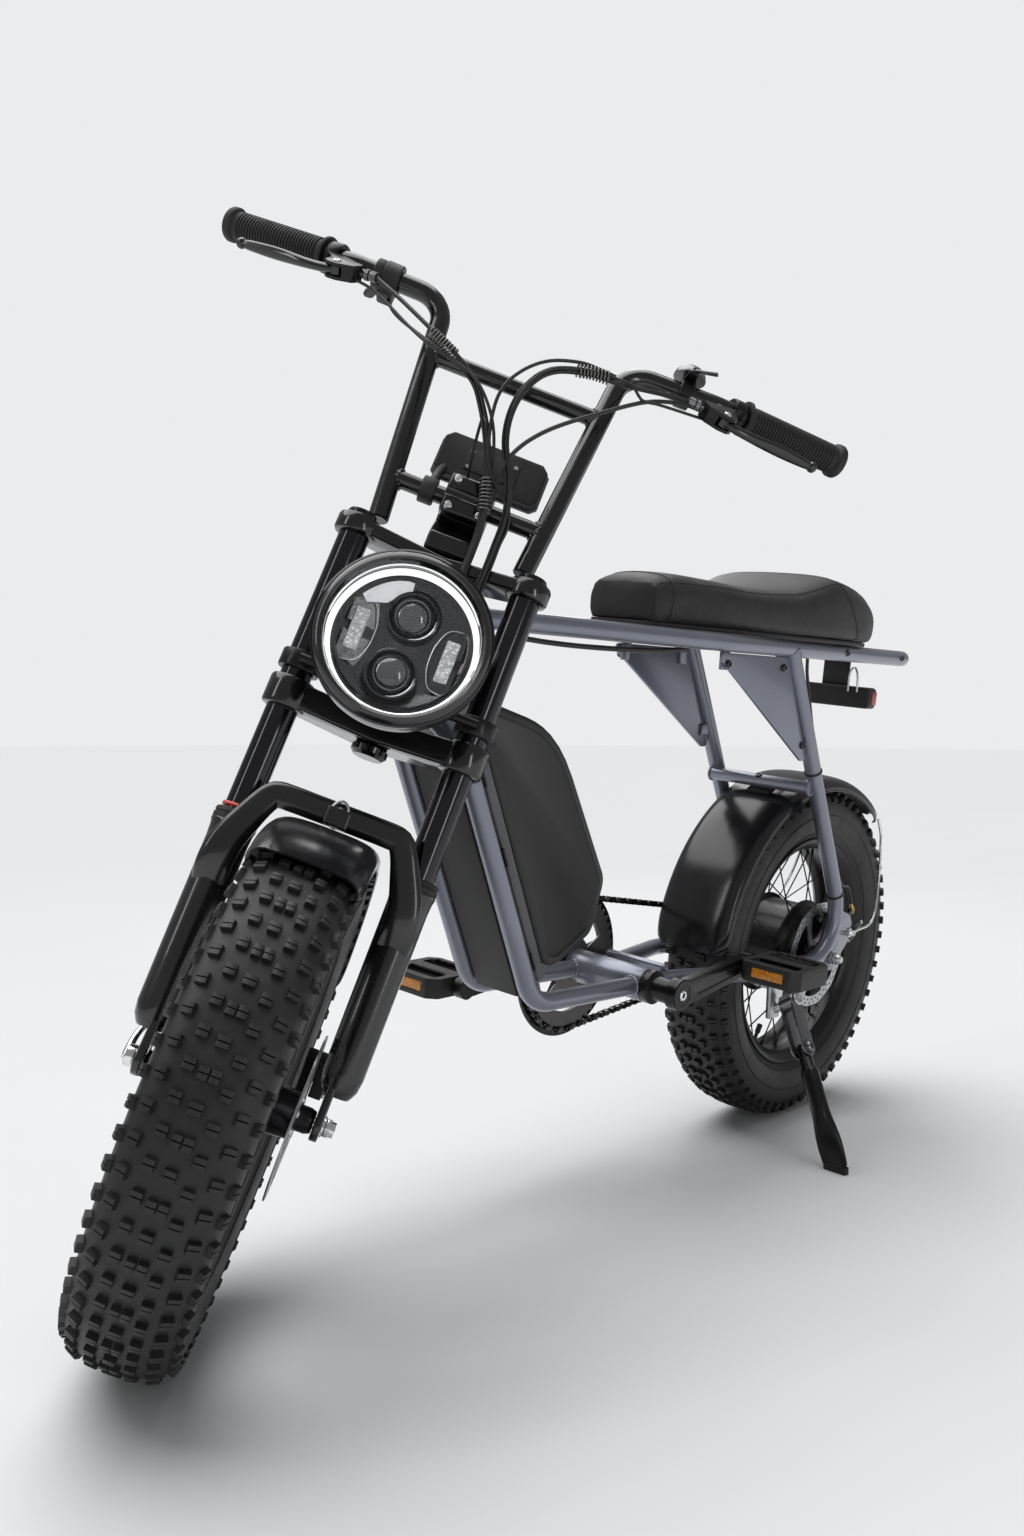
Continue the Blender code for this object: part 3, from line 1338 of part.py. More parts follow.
def battery_rail():
    """The mounting strip between the down tubes, its lugs, and the lock block."""
    behind = TUBE_RADIUS + FIT
    strip = battery_prism([(-0.195, -0.004), (0.103, -0.004), (0.103, BATTERY_FRONT - FIT),
                           (-0.195, BATTERY_FRONT - FIT)], -0.032, 0.032)
    lugs = []
    for along in (-0.150, -0.010, 0.090):
        lugs.append(battery_prism([(along - 0.012, behind), (along + 0.012, behind),
                                   (along + 0.012, behind + 0.003), (along - 0.012, behind + 0.003)],
                                  -0.056, 0.056))
    neck = battery_prism([(0.095, -0.003), (0.146, -0.003), (0.146, 0.018), (0.095, 0.018)],
                         -0.021, 0.021)
    lock = battery_prism(LOCK_OUTLINE, -0.030, 0.047)
    start = battery_point(*KEY_SPOT, 0.030)
    end = battery_point(*KEY_SPOT, 0.060)
    return cut(united(strip, neck, lock, *lugs), bore(start, end, KEY_RADIUS, FIT, 10))


def key_cylinder():
    """The lock's barrel, turned about its own axis, with a grip across its face."""
    barrel = rod((0, 0.030 + FIT, 0), (0, 0.049, 0), KEY_RADIUS, 10)
    grip = box((-0.0062, 0.048, -0.0014), (0.0062, 0.055, 0.0014))
    return united(barrel, grip)


finished(battery_case(), "battery_case", SATIN_BLACK, BIKE, battery_point(-0.190, 0.030))
finished(battery_rail(), "battery_rail", PLASTIC, BIKE)
KEY_PLACE = battery_point(*KEY_SPOT)
finished(shifted(key_cylinder(), KEY_PLACE), "key_cylinder", STEEL, BIKE, KEY_PLACE)


# Kickstand

def kickstand_leg():
    pivot = Vector(KICKSTAND_PIVOT)
    ahead, left = KICKSTAND_FOOT
    foot = Vector((ahead, left, ground_height(ahead, left)))
    up = STANCE.inverted().to_3x3() @ Vector((0, 0, 1))
    axis = kickstand_axis()
    ankle = foot + up * 0.010
    down = (ankle - pivot).normalized()
    half = axis * KICKSTAND_BARREL_HALF
    barrel = rod(pivot - half, pivot + half, 0.0125, 10)
    sleeve = rod(pivot + down * 0.004, pivot + down * 0.150, 0.0110, 8)
    leg = rod(pivot + down * 0.140, ankle, 0.0085, 8)
    sole = moved(lathe([(0.0, 0.0), (0.0, 0.017), (0.005, 0.0185), (KICKSTAND_FOOT_HEIGHT, 0.012),
                        (KICKSTAND_FOOT_HEIGHT + 0.004, 0.0)], 8, "Z"), basis(foot, down.cross(up), up))
    hole = bore(pivot - axis * 0.03, pivot + axis * 0.03, KICKSTAND_PIN, FIT, 8)
    return cut(united(barrel, sleeve, leg, sole), hole)


finished(kickstand_leg(), "kickstand_leg", SATIN_BLACK, BIKE, KICKSTAND_PIVOT)


# Fork

def crown(low, high, drop):
    """A fork crown: a centre and two clamps, with bores for the stanchions."""
    end = Vector((LEG_AHEAD, LEG_HALF_SPACING))
    heading = math.degrees(math.atan2(end.y, end.x))
    lean = math.degrees(math.acos((CROWN_CENTRE_RADIUS - CROWN_END_RADIUS) / end.length))
    near = heading - lean
    far = heading + lean
    outline = arc(end, CROWN_END_RADIUS, near, far, 6)
    outline += arc((0, 0), CROWN_CENTRE_RADIUS, far, 360 - far, 2)
    outline += arc((end.x, -end.y), CROWN_END_RADIUS, 360 - far, 360 - near, 6)
    outline.append((CROWN_CENTRE_RADIUS / math.cos(math.radians(near)), 0.0))
    body = prism(outline, low, high, "Z")
    if drop:
        boss = arc((0.004, 0), CROWN_CENTRE_RADIUS * 0.8, 0, 324, 9)
        body = united(body, prism(boss, low - drop, low + 0.001, "Z"))
    bores = []
    for side in (1, -1):
        spot = (end.x, side * end.y)
        bores.append(bore((*spot, low - 0.05), (*spot, high + 0.05), STANCHION_RADIUS, FIT, FORK_SIDES))
    return cut(body, *bores)


def lower_crown():
    """The crown that carries the steerer."""
    steerer = rod((0, 0, LOWER_CROWN_BOTTOM), (0, 0, UPPER_CROWN_TOP - FIT), STEERER_RADIUS, 14)
    return united(crown(LOWER_CROWN_BOTTOM, LOWER_CROWN_TOP, 0.014), steerer)


def upper_crown():
    hole = bore((0, 0, 0.4), (0, 0, 0.8), STEERER_RADIUS, FIT, 14)
    return cut(crown(UPPER_CROWN_BOTTOM, UPPER_CROWN_TOP, 0.0), hole)


def stanchion(side):
    place = (LEG_AHEAD, side * LEG_HALF_SPACING, 0)
    top = UPPER_CROWN_TOP + 0.007
    profile = [
        (STANCHION_BOTTOM, 0.0), (STANCHION_BOTTOM, STANCHION_RADIUS),
        (top - 0.003, STANCHION_RADIUS), (top, STANCHION_RADIUS - 0.003), (top, 0.0),
    ]
    return shifted(lathe(profile, FORK_SIDES, "Z"), place)


ARCH_OUTLINE = (
    (0.066, 0.2885), (0.080, 0.278), (0.108, 0.225), (0.110, 0.190), (0.085, 0.190),
    (0.076, 0.222), (0.062, 0.256), (0.050, 0.2625),
)
ARCH_FRONT = 0.064
ARCH_BACK = LEG_AHEAD + STANCHION_RADIUS + 0.0012
FENDER_BRACKET_FRONT = 0.074


def slider(side):
    """One lower leg: a tube closed at its foot, with a seal collar at the top."""
    seal = SLIDER_TOP - 0.010
    bored = (STANCHION_RADIUS + FIT) / math.cos(math.pi / FORK_SIDES)
    profile = [
        (SLIDER_BOTTOM, 0.0), (SLIDER_BOTTOM, 0.014), (SLIDER_BOTTOM + 0.012, SLIDER_RADIUS),
        (seal - 0.002, SLIDER_RADIUS), (seal, 0.0228),
        (SLIDER_TOP, 0.0228), (SLIDER_TOP, bored), (0.062, bored), (0.062, 0.0),
    ]
    return shifted(lathe(profile, FORK_SIDES, "Z"), (LEG_AHEAD, side * LEG_HALF_SPACING, 0))


def fork_lowers():
    """Both sliders, the arch that ties them, the dropouts and the caliper's tab."""
    outline = list(ARCH_OUTLINE) + [(-left, up) for left, up in reversed(ARCH_OUTLINE)]
    parts = [slider(-1), prism(outline, ARCH_BACK, ARCH_FRONT, "X")]
    parts.append(box((ARCH_FRONT - 0.001, -0.012, 0.2625), (FENDER_BRACKET_FRONT, 0.012, 0.284)))
    for side in (1, -1):
        plate_y = side * FORK_DROPOUT_Y
        lobe = arc((FORK_OFFSET, 0), 0.016, -170, 10, 5)
        foot = lobe + [(LEG_AHEAD + 0.017, SLIDER_BOTTOM + 0.028),
                       (LEG_AHEAD - 0.015, SLIDER_BOTTOM + 0.028)]
        parts.append(plate(foot, plate_y, DROPOUT_THICKNESS))
    tab_y = FRONT_ROTOR_Y + 0.0145 + FIT
    edge = LEG_AHEAD - STANCHION_RADIUS - 0.0005
    tab = [(edge, 0.036), (edge, 0.086), (0.006, 0.078), (-0.010, 0.060), (-0.006, 0.050)]
    parts.append(prism(tab, tab_y, tab_y + 0.006))
    hole = bore((FORK_OFFSET, -0.2, 0), (FORK_OFFSET, 0.2, 0), AXLE_RADIUS, FIT, 8)
    return cut(united(slider(1), *parts), hole)


def front_axle():
    """The axle with the quick-release lever on the rider's right."""
    body = axle(FORK_DROPOUT_Y - DROPOUT_THICKNESS / 2 - 0.0005, FORK_DROPOUT_Y, 0.003)
    out = -(FORK_DROPOUT_Y + DROPOUT_THICKNESS / 2 + AXLE_NUT_LENGTH)
    path = curve_through([(0, out, 0), (-0.018, out - 0.004, 0.012), (-0.046, out + 0.001, 0.034)],
                         0.020)
    return shifted(united(body, tube(path, 0.0042, 5)), (FORK_OFFSET, 0, 0))


def front_fender():
    """The short front mudguard, bolted under the fork's arch."""
    inner = TYRE_RADIUS + FRONT_FENDER_CLEARANCE
    thick = FENDER_THICKNESS
    half = [(0.052, inner - 0.014), (0.048, inner - 0.003), (0.030, inner + thick)]
    under = [(0.0285, inner), (0.0452, inner - 0.0052), (0.049, inner - 0.014)]
    outline = half + [(-left, radius) for left, radius in reversed(half)]
    outline += [(-left, radius) for left, radius in reversed(under)] + under
    return swept(outline, (FORK_OFFSET, 0), 62, 148, 10)


finished(lower_crown(), "lower_crown", SATIN_BLACK, STEERING)
finished(upper_crown(), "upper_crown", SATIN_BLACK, STEERING)
finished(stanchion(1), "stanchion_left", STEEL, STEERING)
finished(stanchion(-1), "stanchion_right", STEEL, STEERING)
finished(fork_lowers(), "fork_lowers", SATIN_BLACK, SUSPENSION)
finished(front_axle(), "front_axle", STEEL, SUSPENSION, (FORK_OFFSET, 0, 0))
finished(front_fender(), "front_fender", PLASTIC, SUSPENSION)
FRONT_CALIPER = caliper_matrix((FORK_OFFSET, 0), 146)
finished(moved(caliper(FRONT_ROTOR_Y, 0.013, 0.0145), FRONT_CALIPER), "front_brake_caliper",
         SATIN_BLACK, SUSPENSION)


# Front lamp, turned about the fork's X axis and centred on its own middle

LAMP_BACK = LAMP_FRONT - LAMP_DEPTH
LAMP_RIM = LAMP_FRONT - 0.0225
LAMP_FLOOR = LAMP_FRONT - 0.0405
LAMP_STEPS = 20
LAMP_SHELL = LAMP_RADIUS - 0.0025
HALO_OUTER = LAMP_RADIUS - 0.0115
LAMP_PLACE = (0, 0, LAMP_HEIGHT)


def headlight_body():
    """The bowl with its reflector: two projector lenses between two light strips."""
    profile = [
        (LAMP_BACK, 0.0), (LAMP_BACK, 0.030), (LAMP_BACK + 0.010, 0.053), (LAMP_BACK + 0.030, 0.0745),
        (LAMP_RIM - 0.006, LAMP_SHELL), (LAMP_RIM, LAMP_SHELL), (LAMP_RIM, HALO_OUTER),
        (LAMP_FLOOR, HALO_OUTER), (LAMP_FLOOR, 0.0),
    ]
    body = lathe(profile, LAMP_STEPS, "X")
    extras = []
    for side in (1, -1):
        lens = lathe([(LAMP_FLOOR - 0.001, 0.0), (LAMP_FLOOR - 0.001, 0.0225), (LAMP_FLOOR + 0.009, 0.0225),
                      (LAMP_FLOOR + 0.009, 0.0195), (LAMP_FLOOR + 0.019, 0.0145),
                      (LAMP_FLOOR + 0.0245, 0.0)], 10, "X")
        extras.append(shifted(lens, (0, 0, side * LENS_SPACING)))
        extras.append(block((LAMP_FLOOR + 0.004, side * STRIP_SPACING, 0), STRIP_SIZE))
    return united(body, *extras)


def headlight_bezel():
    inner = LAMP_RADIUS - BEZEL_WIDTH + 0.0015
    back = LAMP_RIM + FIT
    profile = [
        (back, inner), (LAMP_FRONT - 0.0090, inner), (LAMP_FRONT, inner + 0.003),
        (LAMP_FRONT - 0.0060, LAMP_RADIUS),
        (LAMP_RIM - 0.008, LAMP_RADIUS), (LAMP_RIM - 0.008, LAMP_SHELL + 0.0012),
        (back, LAMP_SHELL + 0.0012),
    ]
    return lathe(profile, LAMP_STEPS, "X")


def headlight_glass():
    edge = LAMP_RADIUS - BEZEL_WIDTH + 0.0015 - FIT
    low = LAMP_FRONT - 0.0120
    return lathe([(low, 0.0), (low, edge), (low + 0.0020, edge), (low + 0.0055, edge * 0.62),
                  (low + 0.0070, 0.0)], LAMP_STEPS, "X")


def halo_ring():
    outer = HALO_OUTER - FIT
    inner = outer - HALO_WIDTH
    low = LAMP_RIM - 0.0060
    return lathe([(low, inner), (low + 0.0055, inner + 0.001), (low + 0.0055, outer - 0.001),
                  (low, outer)], LAMP_STEPS, "X")


def lamp_bracket():
    """Two clamps on the stanchions with the cross bar and plate that carry the lamp."""
    low = LOWER_CROWN_TOP + 0.009
    high = low + BRACKET_CLAMP_HEIGHT
    bar_x = LEG_AHEAD + STANCHION_RADIUS + 0.0085
    middle = (low + high) / 2
    parts = [rod((bar_x, -LEG_HALF_SPACING, middle), (bar_x, LEG_HALF_SPACING, middle), 0.0055, 6)]
    parts.append(box((bar_x - 0.003, -0.024, middle - 0.006),
                     (LAMP_BACK - FIT, 0.024, LAMP_HEIGHT + 0.022)))
    bores = []
    for side in (1, -1):
        spot = (LEG_AHEAD, side * LEG_HALF_SPACING)
        parts.append(rod((*spot, low), (*spot, high), STANCHION_RADIUS + 0.0055, FORK_SIDES))
        bores.append(bore((*spot, low - 0.02), (*spot, high + 0.02), STANCHION_RADIUS, FIT, FORK_SIDES))
    return cut(united(*parts), *bores)


for item, name, finish in ((headlight_body(), "headlight_body", SATIN_BLACK),
                           (headlight_bezel(), "headlight_bezel", GLOSS_BLACK),
                           (headlight_glass(), "headlight_glass", GLASS),
                           (halo_ring(), "halo_ring", WHITE_LIGHT)):
    finished(shifted(item, LAMP_PLACE), name, finish, STEERING, LAMP_PLACE)
finished(lamp_bracket(), "lamp_bracket", SATIN_BLACK, STEERING)


# Handlebar and controls

BAR_OUT = (Vector(BAR_END) - Vector(BAR_SWEEP)).normalized()
BAR_IN = (Vector(BAR_SWEEP) - Vector(BAR_BEND)).normalized()
LEVER_SIDE = Vector((0.62, 0.35, -0.70))
LEVER_PIVOT = (0.039, 0.0, -0.172)
LEVER_TIP = (0.0566, 0.0, -0.0574)
CONTROL_Y = {"throttle": 0.160, "bell": 0.168}
GRIP_FRAME = basis(BAR_END, LEVER_SIDE, BAR_OUT)


def stem():
    """The riser block on the upper crown that clamps the lower crossbar."""
    low = UPPER_CROWN_TOP + FIT
    ahead, _, height = LOWER_BAR
    body = box((-0.018, -0.026, low), (0.030, 0.026, height + 0.023))
    heads = []
    for side in (1, -1):
        for up in (1, -1):
            spot = (0.029, side * 0.017, height + up * 0.0155)
            heads.append(rod(spot, (spot[0] + 0.004, spot[1], spot[2]), 0.0048, 6))
    hole = snug_bore((ahead, -0.05, height), (ahead, 0.05, height), BRACE_RADIUS, TUBE_SIDES)
    return cut(united(body, *heads), hole)


def handlebar():
    """Both uprights and swept arms with the two crossbars."""
    lower = Vector(LOWER_BAR)
    upper = Vector(UPPER_BAR)
    slope = (upper - lower) / (upper.z - lower.z)
    foot = lower + slope * (BAR_STUB_Z - lower.z)
    arms = []
    for side in (1, -1):
        corners = [(x, side * y, z) for x, y, z in (foot, BAR_BEND, BAR_SWEEP, BAR_END)]
        arms.append(tube(rounded(corners, (0.035, 0.05), 3), BAR_RADIUS))
    bars = []
    for x, y, z in (LOWER_BAR, UPPER_BAR):
        bars.append(rod((x, -y, z), (x, y, z), BRACE_RADIUS, TUBE_SIDES))
    return united(*arms, *bars)


def grip():
    """A grip in the bar's own frame: Z outwards, zero at the bar's end."""
    sides = 10
    hole = (BAR_RADIUS + FIT) / math.cos(math.pi / sides)
    profile = [(FIT, 0.0), (FIT, hole), (-GRIP_LENGTH, hole), (-GRIP_LENGTH, GRIP_RADIUS + 0.0035),
               (-GRIP_LENGTH + 0.004, GRIP_RADIUS + 0.0035), (-GRIP_LENGTH + 0.006, GRIP_RADIUS - 0.001)]
    for place in (-GRIP_LENGTH + 0.020, -0.056):
        profile += [(place, GRIP_RADIUS - 0.0012), (place + 0.0200, GRIP_RADIUS)]
    profile += [(-0.008, GRIP_RADIUS - 0.001), (-0.006, GRIP_RADIUS + 0.003),
                (0.003, GRIP_RADIUS + 0.003), (0.005, GRIP_RADIUS), (0.005, 0.0)]
    return lathe(profile, sides, "Z")


def brake_perch():
    """The lever's clamp and body, with the pin that the lever turns on."""
    near = -GRIP_LENGTH - 0.0008
    far = near - 0.018
    x, _, z = LEVER_PIVOT
    ring = rod((0, 0, far), (0, 0, near), GRIP_RADIUS, 12)
    flat = [(0.010, far), (0.010, near), (x - 0.010, z + 0.014), (x + 0.009, z + 0.008),
            (x + 0.009, z - 0.009), (x - 0.008, z - 0.012)]
    body = prism(flat, -0.009, 0.009)
    slot = box((x - 0.0115, -0.0053, z - 0.05), (x + 0.05, 0.0053, z + 0.05))
    adjuster = rod((x - 0.011, 0, z - 0.004), (x - 0.013, 0, z - 0.020), 0.0042, 6)
    hole = bore((0, 0, far - 0.01), (0, 0, near + 0.01), BAR_RADIUS, FIT, 10)
    pin = rod((x, -0.0085, z), (x, 0.0085, z), 0.003, 6)
    return united(cut(united(ring, body, adjuster), slot, hole), pin)


def brake_lever():
    """A two-finger blade with a ball end and a boss round the pin."""
    x, _, z = LEVER_PIVOT
    tip_x, _, tip_z = LEVER_TIP
    boss = rod((x, -0.005, z), (x, 0.005, z), 0.0082, 8)
    flat = [(x + 0.0045, z + 0.002), (x + 0.012, z + 0.030), (tip_x + 0.003, tip_z - 0.030),
            (tip_x + 0.0045, tip_z), (tip_x - 0.0045, tip_z), (tip_x - 0.006, tip_z - 0.030),
            (x + 0.003, z + 0.036), (x - 0.0065, z + 0.004)]
    blade = prism(flat, -0.0045, 0.0045)
    ball = lathe([(-0.0065, 0.0), (-0.0040, 0.0058), (0.0040, 0.0058), (0.0065, 0.0)], 8, "Y")
    hole = bore((x, -0.02, z), (x, 0.02, z), 0.003, FIT, 6)
    return cut(united(boss, blade, shifted(ball, (tip_x, 0, tip_z))), hole)


def bar_centre(left):
    """The handlebar's centreline on its inner straight, and its direction there."""
    share = (left - BAR_BEND[1]) / (BAR_SWEEP[1] - BAR_BEND[1])
    return Vector(BAR_BEND) + (Vector(BAR_SWEEP) - Vector(BAR_BEND)) * share


def inner_frame(left):
    """A frame on the bar's inner straight: Z outwards along it, X forwards."""
    return basis(bar_centre(left), (1, 0, 0), BAR_IN)


def throttle_clamp():
    """The throttle's clamp and its little housing under the bar."""
    ring = rod((0, 0, 0), (0, 0, 0.020), GRIP_RADIUS + 0.001, 12)
    body = box((-0.012, 0.006, 0.001), (0.012, 0.027, 0.019))
    hole = bore((0, 0, -0.01), (0, 0, 0.03), BAR_RADIUS, FIT, 10)
    return cut(united(ring, body), hole)


def throttle_paddle():
    """The thumb paddle, a ring about the bar with a blade behind it."""
    ring = rod((0, 0, 0.0206), (0, 0, 0.0300), GRIP_RADIUS, 12)
    flat = [(-0.010, 0.0212), (-0.010, 0.0294), (-0.034, 0.0420), (-0.040, 0.0400),
            (-0.036, 0.0300)]
    blade = prism(flat, 0.004, 0.012)
    hole = bore((0, 0, 0), (0, 0, 0.05), BAR_RADIUS, FIT, 10)
    return cut(united(ring, blade), hole)


BELL_PIN = (0.0215, 0.0, 0.008)


def bell():
    """The bell's clamp, its dome above the bar, and the pin of its lever."""
    ring = rod((0, 0, 0), (0, 0, 0.016), GRIP_RADIUS, 12)
    dome = [(-0.0185, 0.0), (-0.0185, 0.0185), (-0.0275, 0.0160), (-0.0345, 0.0)]
    made = shifted(lathe(dome, 12), (0, 0, 0.008))
    neck = rod((0, -0.012, 0.008), (0, -0.0190, 0.008), 0.008, 8)
    shelf = prism([(0.008, 0.001), (0.027, 0.003), (0.027, 0.013), (0.008, 0.015)], -0.0155, -0.0115)
    pin = rod((BELL_PIN[0], -0.0145, BELL_PIN[2]), (BELL_PIN[0], -0.0215, BELL_PIN[2]), 0.0022, 6)
    hole = bore((0, 0, -0.01), (0, 0, 0.03), BAR_RADIUS, FIT, 10)
    return united(cut(united(ring, shelf, neck), hole), made, pin)


def bell_lever():
    """The thumb piece that strikes the bell."""
    x, _, z = BELL_PIN
    ring = rod((x, -0.0158, z), (x, -0.0182, z), 0.0052, 8)
    flat = [(x + 0.001, z + 0.0035), (x + 0.010, z + 0.026), (x + 0.016, z + 0.024),
            (x + 0.005, z - 0.001)]
    blade = prism(flat, -0.0182, -0.0158)
    hole = bore((x, -0.03, z), (x, -0.01, z), 0.0022, FIT, 6)
    return cut(united(ring, blade), hole)


def display():
    """The display and its arm on the lower crossbar, facing the rider."""
    ahead, _, height = LOWER_BAR
    place = basis((-0.036, 0.007, UPPER_CROWN_BOTTOM + 0.1505), (1, 0, 0.16), (-0.16, 0, 1))
    case = block((0, 0, 0), (0.014, 0.120, 0.054))
    rim = block((-0.0065, 0, 0), (0.005, 0.112, 0.046))
    ring = rod((ahead, -0.052, height), (ahead, -0.036, height), BRACE_RADIUS + 0.0050, 10)
    path = [(ahead - 0.006, -0.044, height + 0.008), (-0.020, -0.044, height + 0.029),
            (-0.034, -0.040, height + 0.051)]
    arm = tube(path, 0.0055, 6)
    hole = snug_bore((ahead, -0.07, height), (ahead, 0.0, height), BRACE_RADIUS, TUBE_SIDES)
    return cut(united(moved(case, place), moved(rim, place), ring, arm), hole)


finished(stem(), "stem", SATIN_BLACK, STEERING)
finished(handlebar(), "handlebar", SATIN_BLACK, STEERING)
finished(display(), "display", PLASTIC, STEERING)
RIGHT_GRIP_FRAME = Matrix.Scale(-1, 4, (0, 1, 0)) @ GRIP_FRAME @ Matrix.Scale(-1, 4, (0, 1, 0))
for hand, frame in (("left", GRIP_FRAME), ("right", RIGHT_GRIP_FRAME)):
    finished(moved(grip(), frame), "grip_" + hand, RUBBER, STEERING, (0, 0, 0), frame)
    finished(moved(brake_perch(), frame), "brake_perch_" + hand, SATIN_BLACK, STEERING,
             (0, 0, 0), frame)
    pivot = frame @ Matrix.Translation(LEVER_PIVOT)
    finished(moved(brake_lever(), frame), "brake_lever_" + hand, SATIN_BLACK, STEERING,
             (0, 0, 0), pivot)
THROTTLE_FRAME = (Matrix.Scale(-1, 4, (0, 1, 0)) @ inner_frame(CONTROL_Y["throttle"])
                  @ Matrix.Scale(-1, 4, (0, 1, 0)))
finished(moved(mirrored(throttle_clamp()), THROTTLE_FRAME), "throttle_clamp", PLASTIC, STEERING,
         (0, 0, 0), THROTTLE_FRAME)
finished(moved(mirrored(throttle_paddle()), THROTTLE_FRAME), "throttle_paddle", PLASTIC, STEERING,
         (0, 0, 0), THROTTLE_FRAME)
BELL_FRAME = inner_frame(CONTROL_Y["bell"])
finished(moved(bell(), BELL_FRAME), "bell", SATIN_BLACK, STEERING, (0, 0, 0), BELL_FRAME)
finished(moved(bell_lever(), BELL_FRAME), "bell_lever", STEEL, STEERING, (0, 0, 0),
         BELL_FRAME @ Matrix.Translation(BELL_PIN))


# Cables

LOOM_RADIUS = 0.005
BRAKE_CABLE_RADIUS = 0.0023
WRAP_WIRE = 0.0012
WRAP_PITCH = 0.0056
WRAP_LOOPS = 6
WRAP_POINTS = 8
LOOM_LEFT = (
    (0.022, 0.192, 0.838), (0.040, 0.150, 0.824), (0.052, 0.106, 0.812), (0.057, 0.067, 0.806),
    (0.061, 0.030, 0.788), (0.062, 0.012, 0.750), (0.061, 0.014, 0.706), (0.059, 0.034, 0.660),
    (0.055, 0.044, 0.626), (0.0498, 0.045, 0.594), (0.0491, 0.045, 0.563), (0.0485, 0.044, 0.530),
    (0.047, 0.042, 0.490), (0.046, 0.040, 0.452),
)
LOOM_RIGHT = (
    (0.022, -0.192, 0.838), (0.040, -0.156, 0.816), (0.051, -0.100, 0.787), (0.056, -0.043, 0.754),
    (0.059, -0.014, 0.715), (0.059, 0.006, 0.672), (0.053, 0.020, 0.626), (0.0438, 0.024, 0.594),
    (0.0430, 0.024, 0.563), (0.0430, 0.024, 0.530), (0.045, 0.020, 0.490), (0.046, 0.018, 0.452),
)


def path_frame(path, length):
    """The place and heading at a length along a path."""
    for before, after in zip(path, path[1:]):
        step = (after - before).length
        if length <= step:
            return before + (after - before) * (length / step), (after - before).normalized()
        length -= step
    return path[-1].copy(), (path[-1] - path[-2]).normalized()


def spiral_wrap(path, start):
    """A wire wound round a cable, with straight ends; its turns keep clear of each other."""
    reach = LOOM_RADIUS + 2 * FIT + WRAP_WIRE
    steps = WRAP_LOOPS * WRAP_POINTS
    place, heading = path_frame(path, start)
    side = heading.orthogonal().normalized()
    points = []
    for step in range(steps + 1):
        turn = 2 * math.pi * step / WRAP_POINTS
        place, heading = path_frame(path, start + WRAP_PITCH * step / WRAP_POINTS)
        side = (side - heading * side.dot(heading)).normalized()
        up = heading.cross(side)
        points.append(place + reach * (math.cos(turn) * side + math.sin(turn) * up))
    head = (points[0] - points[1]).normalized() * 2 * WRAP_WIRE
    tail = (points[-1] - points[-2]).normalized() * 2 * WRAP_WIRE
    points = [points[0] + head] + points + [points[-1] + tail]
    least = min((points[index] - points[other]).length
                for index in range(len(points))
                for other in range(index + WRAP_POINTS // 2, len(points)))
    print("least gap between the turns of a wrap, mm:", round((least - 2 * WRAP_WIRE) * 1000, 2))
    return cord(points, WRAP_WIRE, 1)


def brake_cable_points():
    """The rear brake's cable, from its caliper up the left upright to where it enters the rail."""
    upright = Vector((UPRIGHT_TOP_X - REAR_CORNER[0], 0, RAIL_HEIGHT - REAR_CORNER[1]))
    heading = upright.normalized()
    behind = Vector((-heading.z, 0, heading.x)) * (TUBE_RADIUS + BRAKE_CABLE_RADIUS + 0.002)
    foot = Vector((REAR_CORNER[0], 0, REAR_CORNER[1]))
    stop = REAR_CALIPER @ Vector((0.0305, REAR_ROTOR_Y + 0.0135, 0.022))
    tangent = REAR_CALIPER.to_3x3() @ Vector((1, 0, 0))
    points = [stop, stop + tangent * 0.03]
    for share, left in ((0.22, 0.078), (0.42, 0.079), (0.62, 0.079)):
        spot = foot + upright * share + behind * (1.6 if share < 0.3 else 1.0)
        points.append(Vector((spot.x, left, spot.z)))
    top = Vector((UPRIGHT_TOP_X - 0.052, 0.0790, RAIL_HEIGHT - TUBE_RADIUS - FIT))
    points += [top - Vector((0.004, 0, 0.022)), top]
    return points


LOOM_PATHS = {
    "left": curve_through(LOOM_LEFT, 0.027),
    "right": curve_through(LOOM_RIGHT, 0.027),
}
for hand, start in (("left", 0.110), ("right", 0.292)):
    laid(cord(LOOM_PATHS[hand], LOOM_RADIUS), "cable_loom_" + hand, CABLE, STEERING)
    laid(spiral_wrap(LOOM_PATHS[hand], start), "loom_wrap_" + hand, PLASTIC, STEERING)
laid(cord(curve_through(brake_cable_points(), 0.024), BRAKE_CABLE_RADIUS), "rear_brake_cable", CABLE, BIKE)


# The whole bicycle is set on the ground with the middle of its box over the origin

def box_of_everything():
    bpy.context.view_layer.update()
    graph = bpy.context.evaluated_depsgraph_get()
    low = Vector((1e9, 1e9, 1e9))
    high = -low
    for item in bpy.data.objects:
        if item.type not in {"MESH", "CURVE"}:
            continue
        seen = item.evaluated_get(graph)
        mesh = seen.to_mesh()
        for vertex in mesh.vertices:
            spot = seen.matrix_world @ vertex.co
            low = Vector(map(min, low, spot))
            high = Vector(map(max, high, spot))
        seen.to_mesh_clear()
    return low, high


LOW, HIGH = box_of_everything()
MIDDLE = (LOW + HIGH) / 2
BIKE.matrix_local = Matrix.Translation((-MIDDLE.x, -MIDDLE.y, -LOW.z)) @ STANCE
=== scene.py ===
"""Looks of the moped-style electric bicycle: finer pieces, finishes, camera and light.

Pieces of the frame are drawn in the bicycle's upright frame and then leaned by BIKE.
Pieces of the fork are drawn along the steering axis, X ahead, Y left, Z up the axis,
and placed by FORK.
"""

import math

import bmesh
import bpy
from mathutils import Matrix, Vector
from mathutils.bvhtree import BVHTree


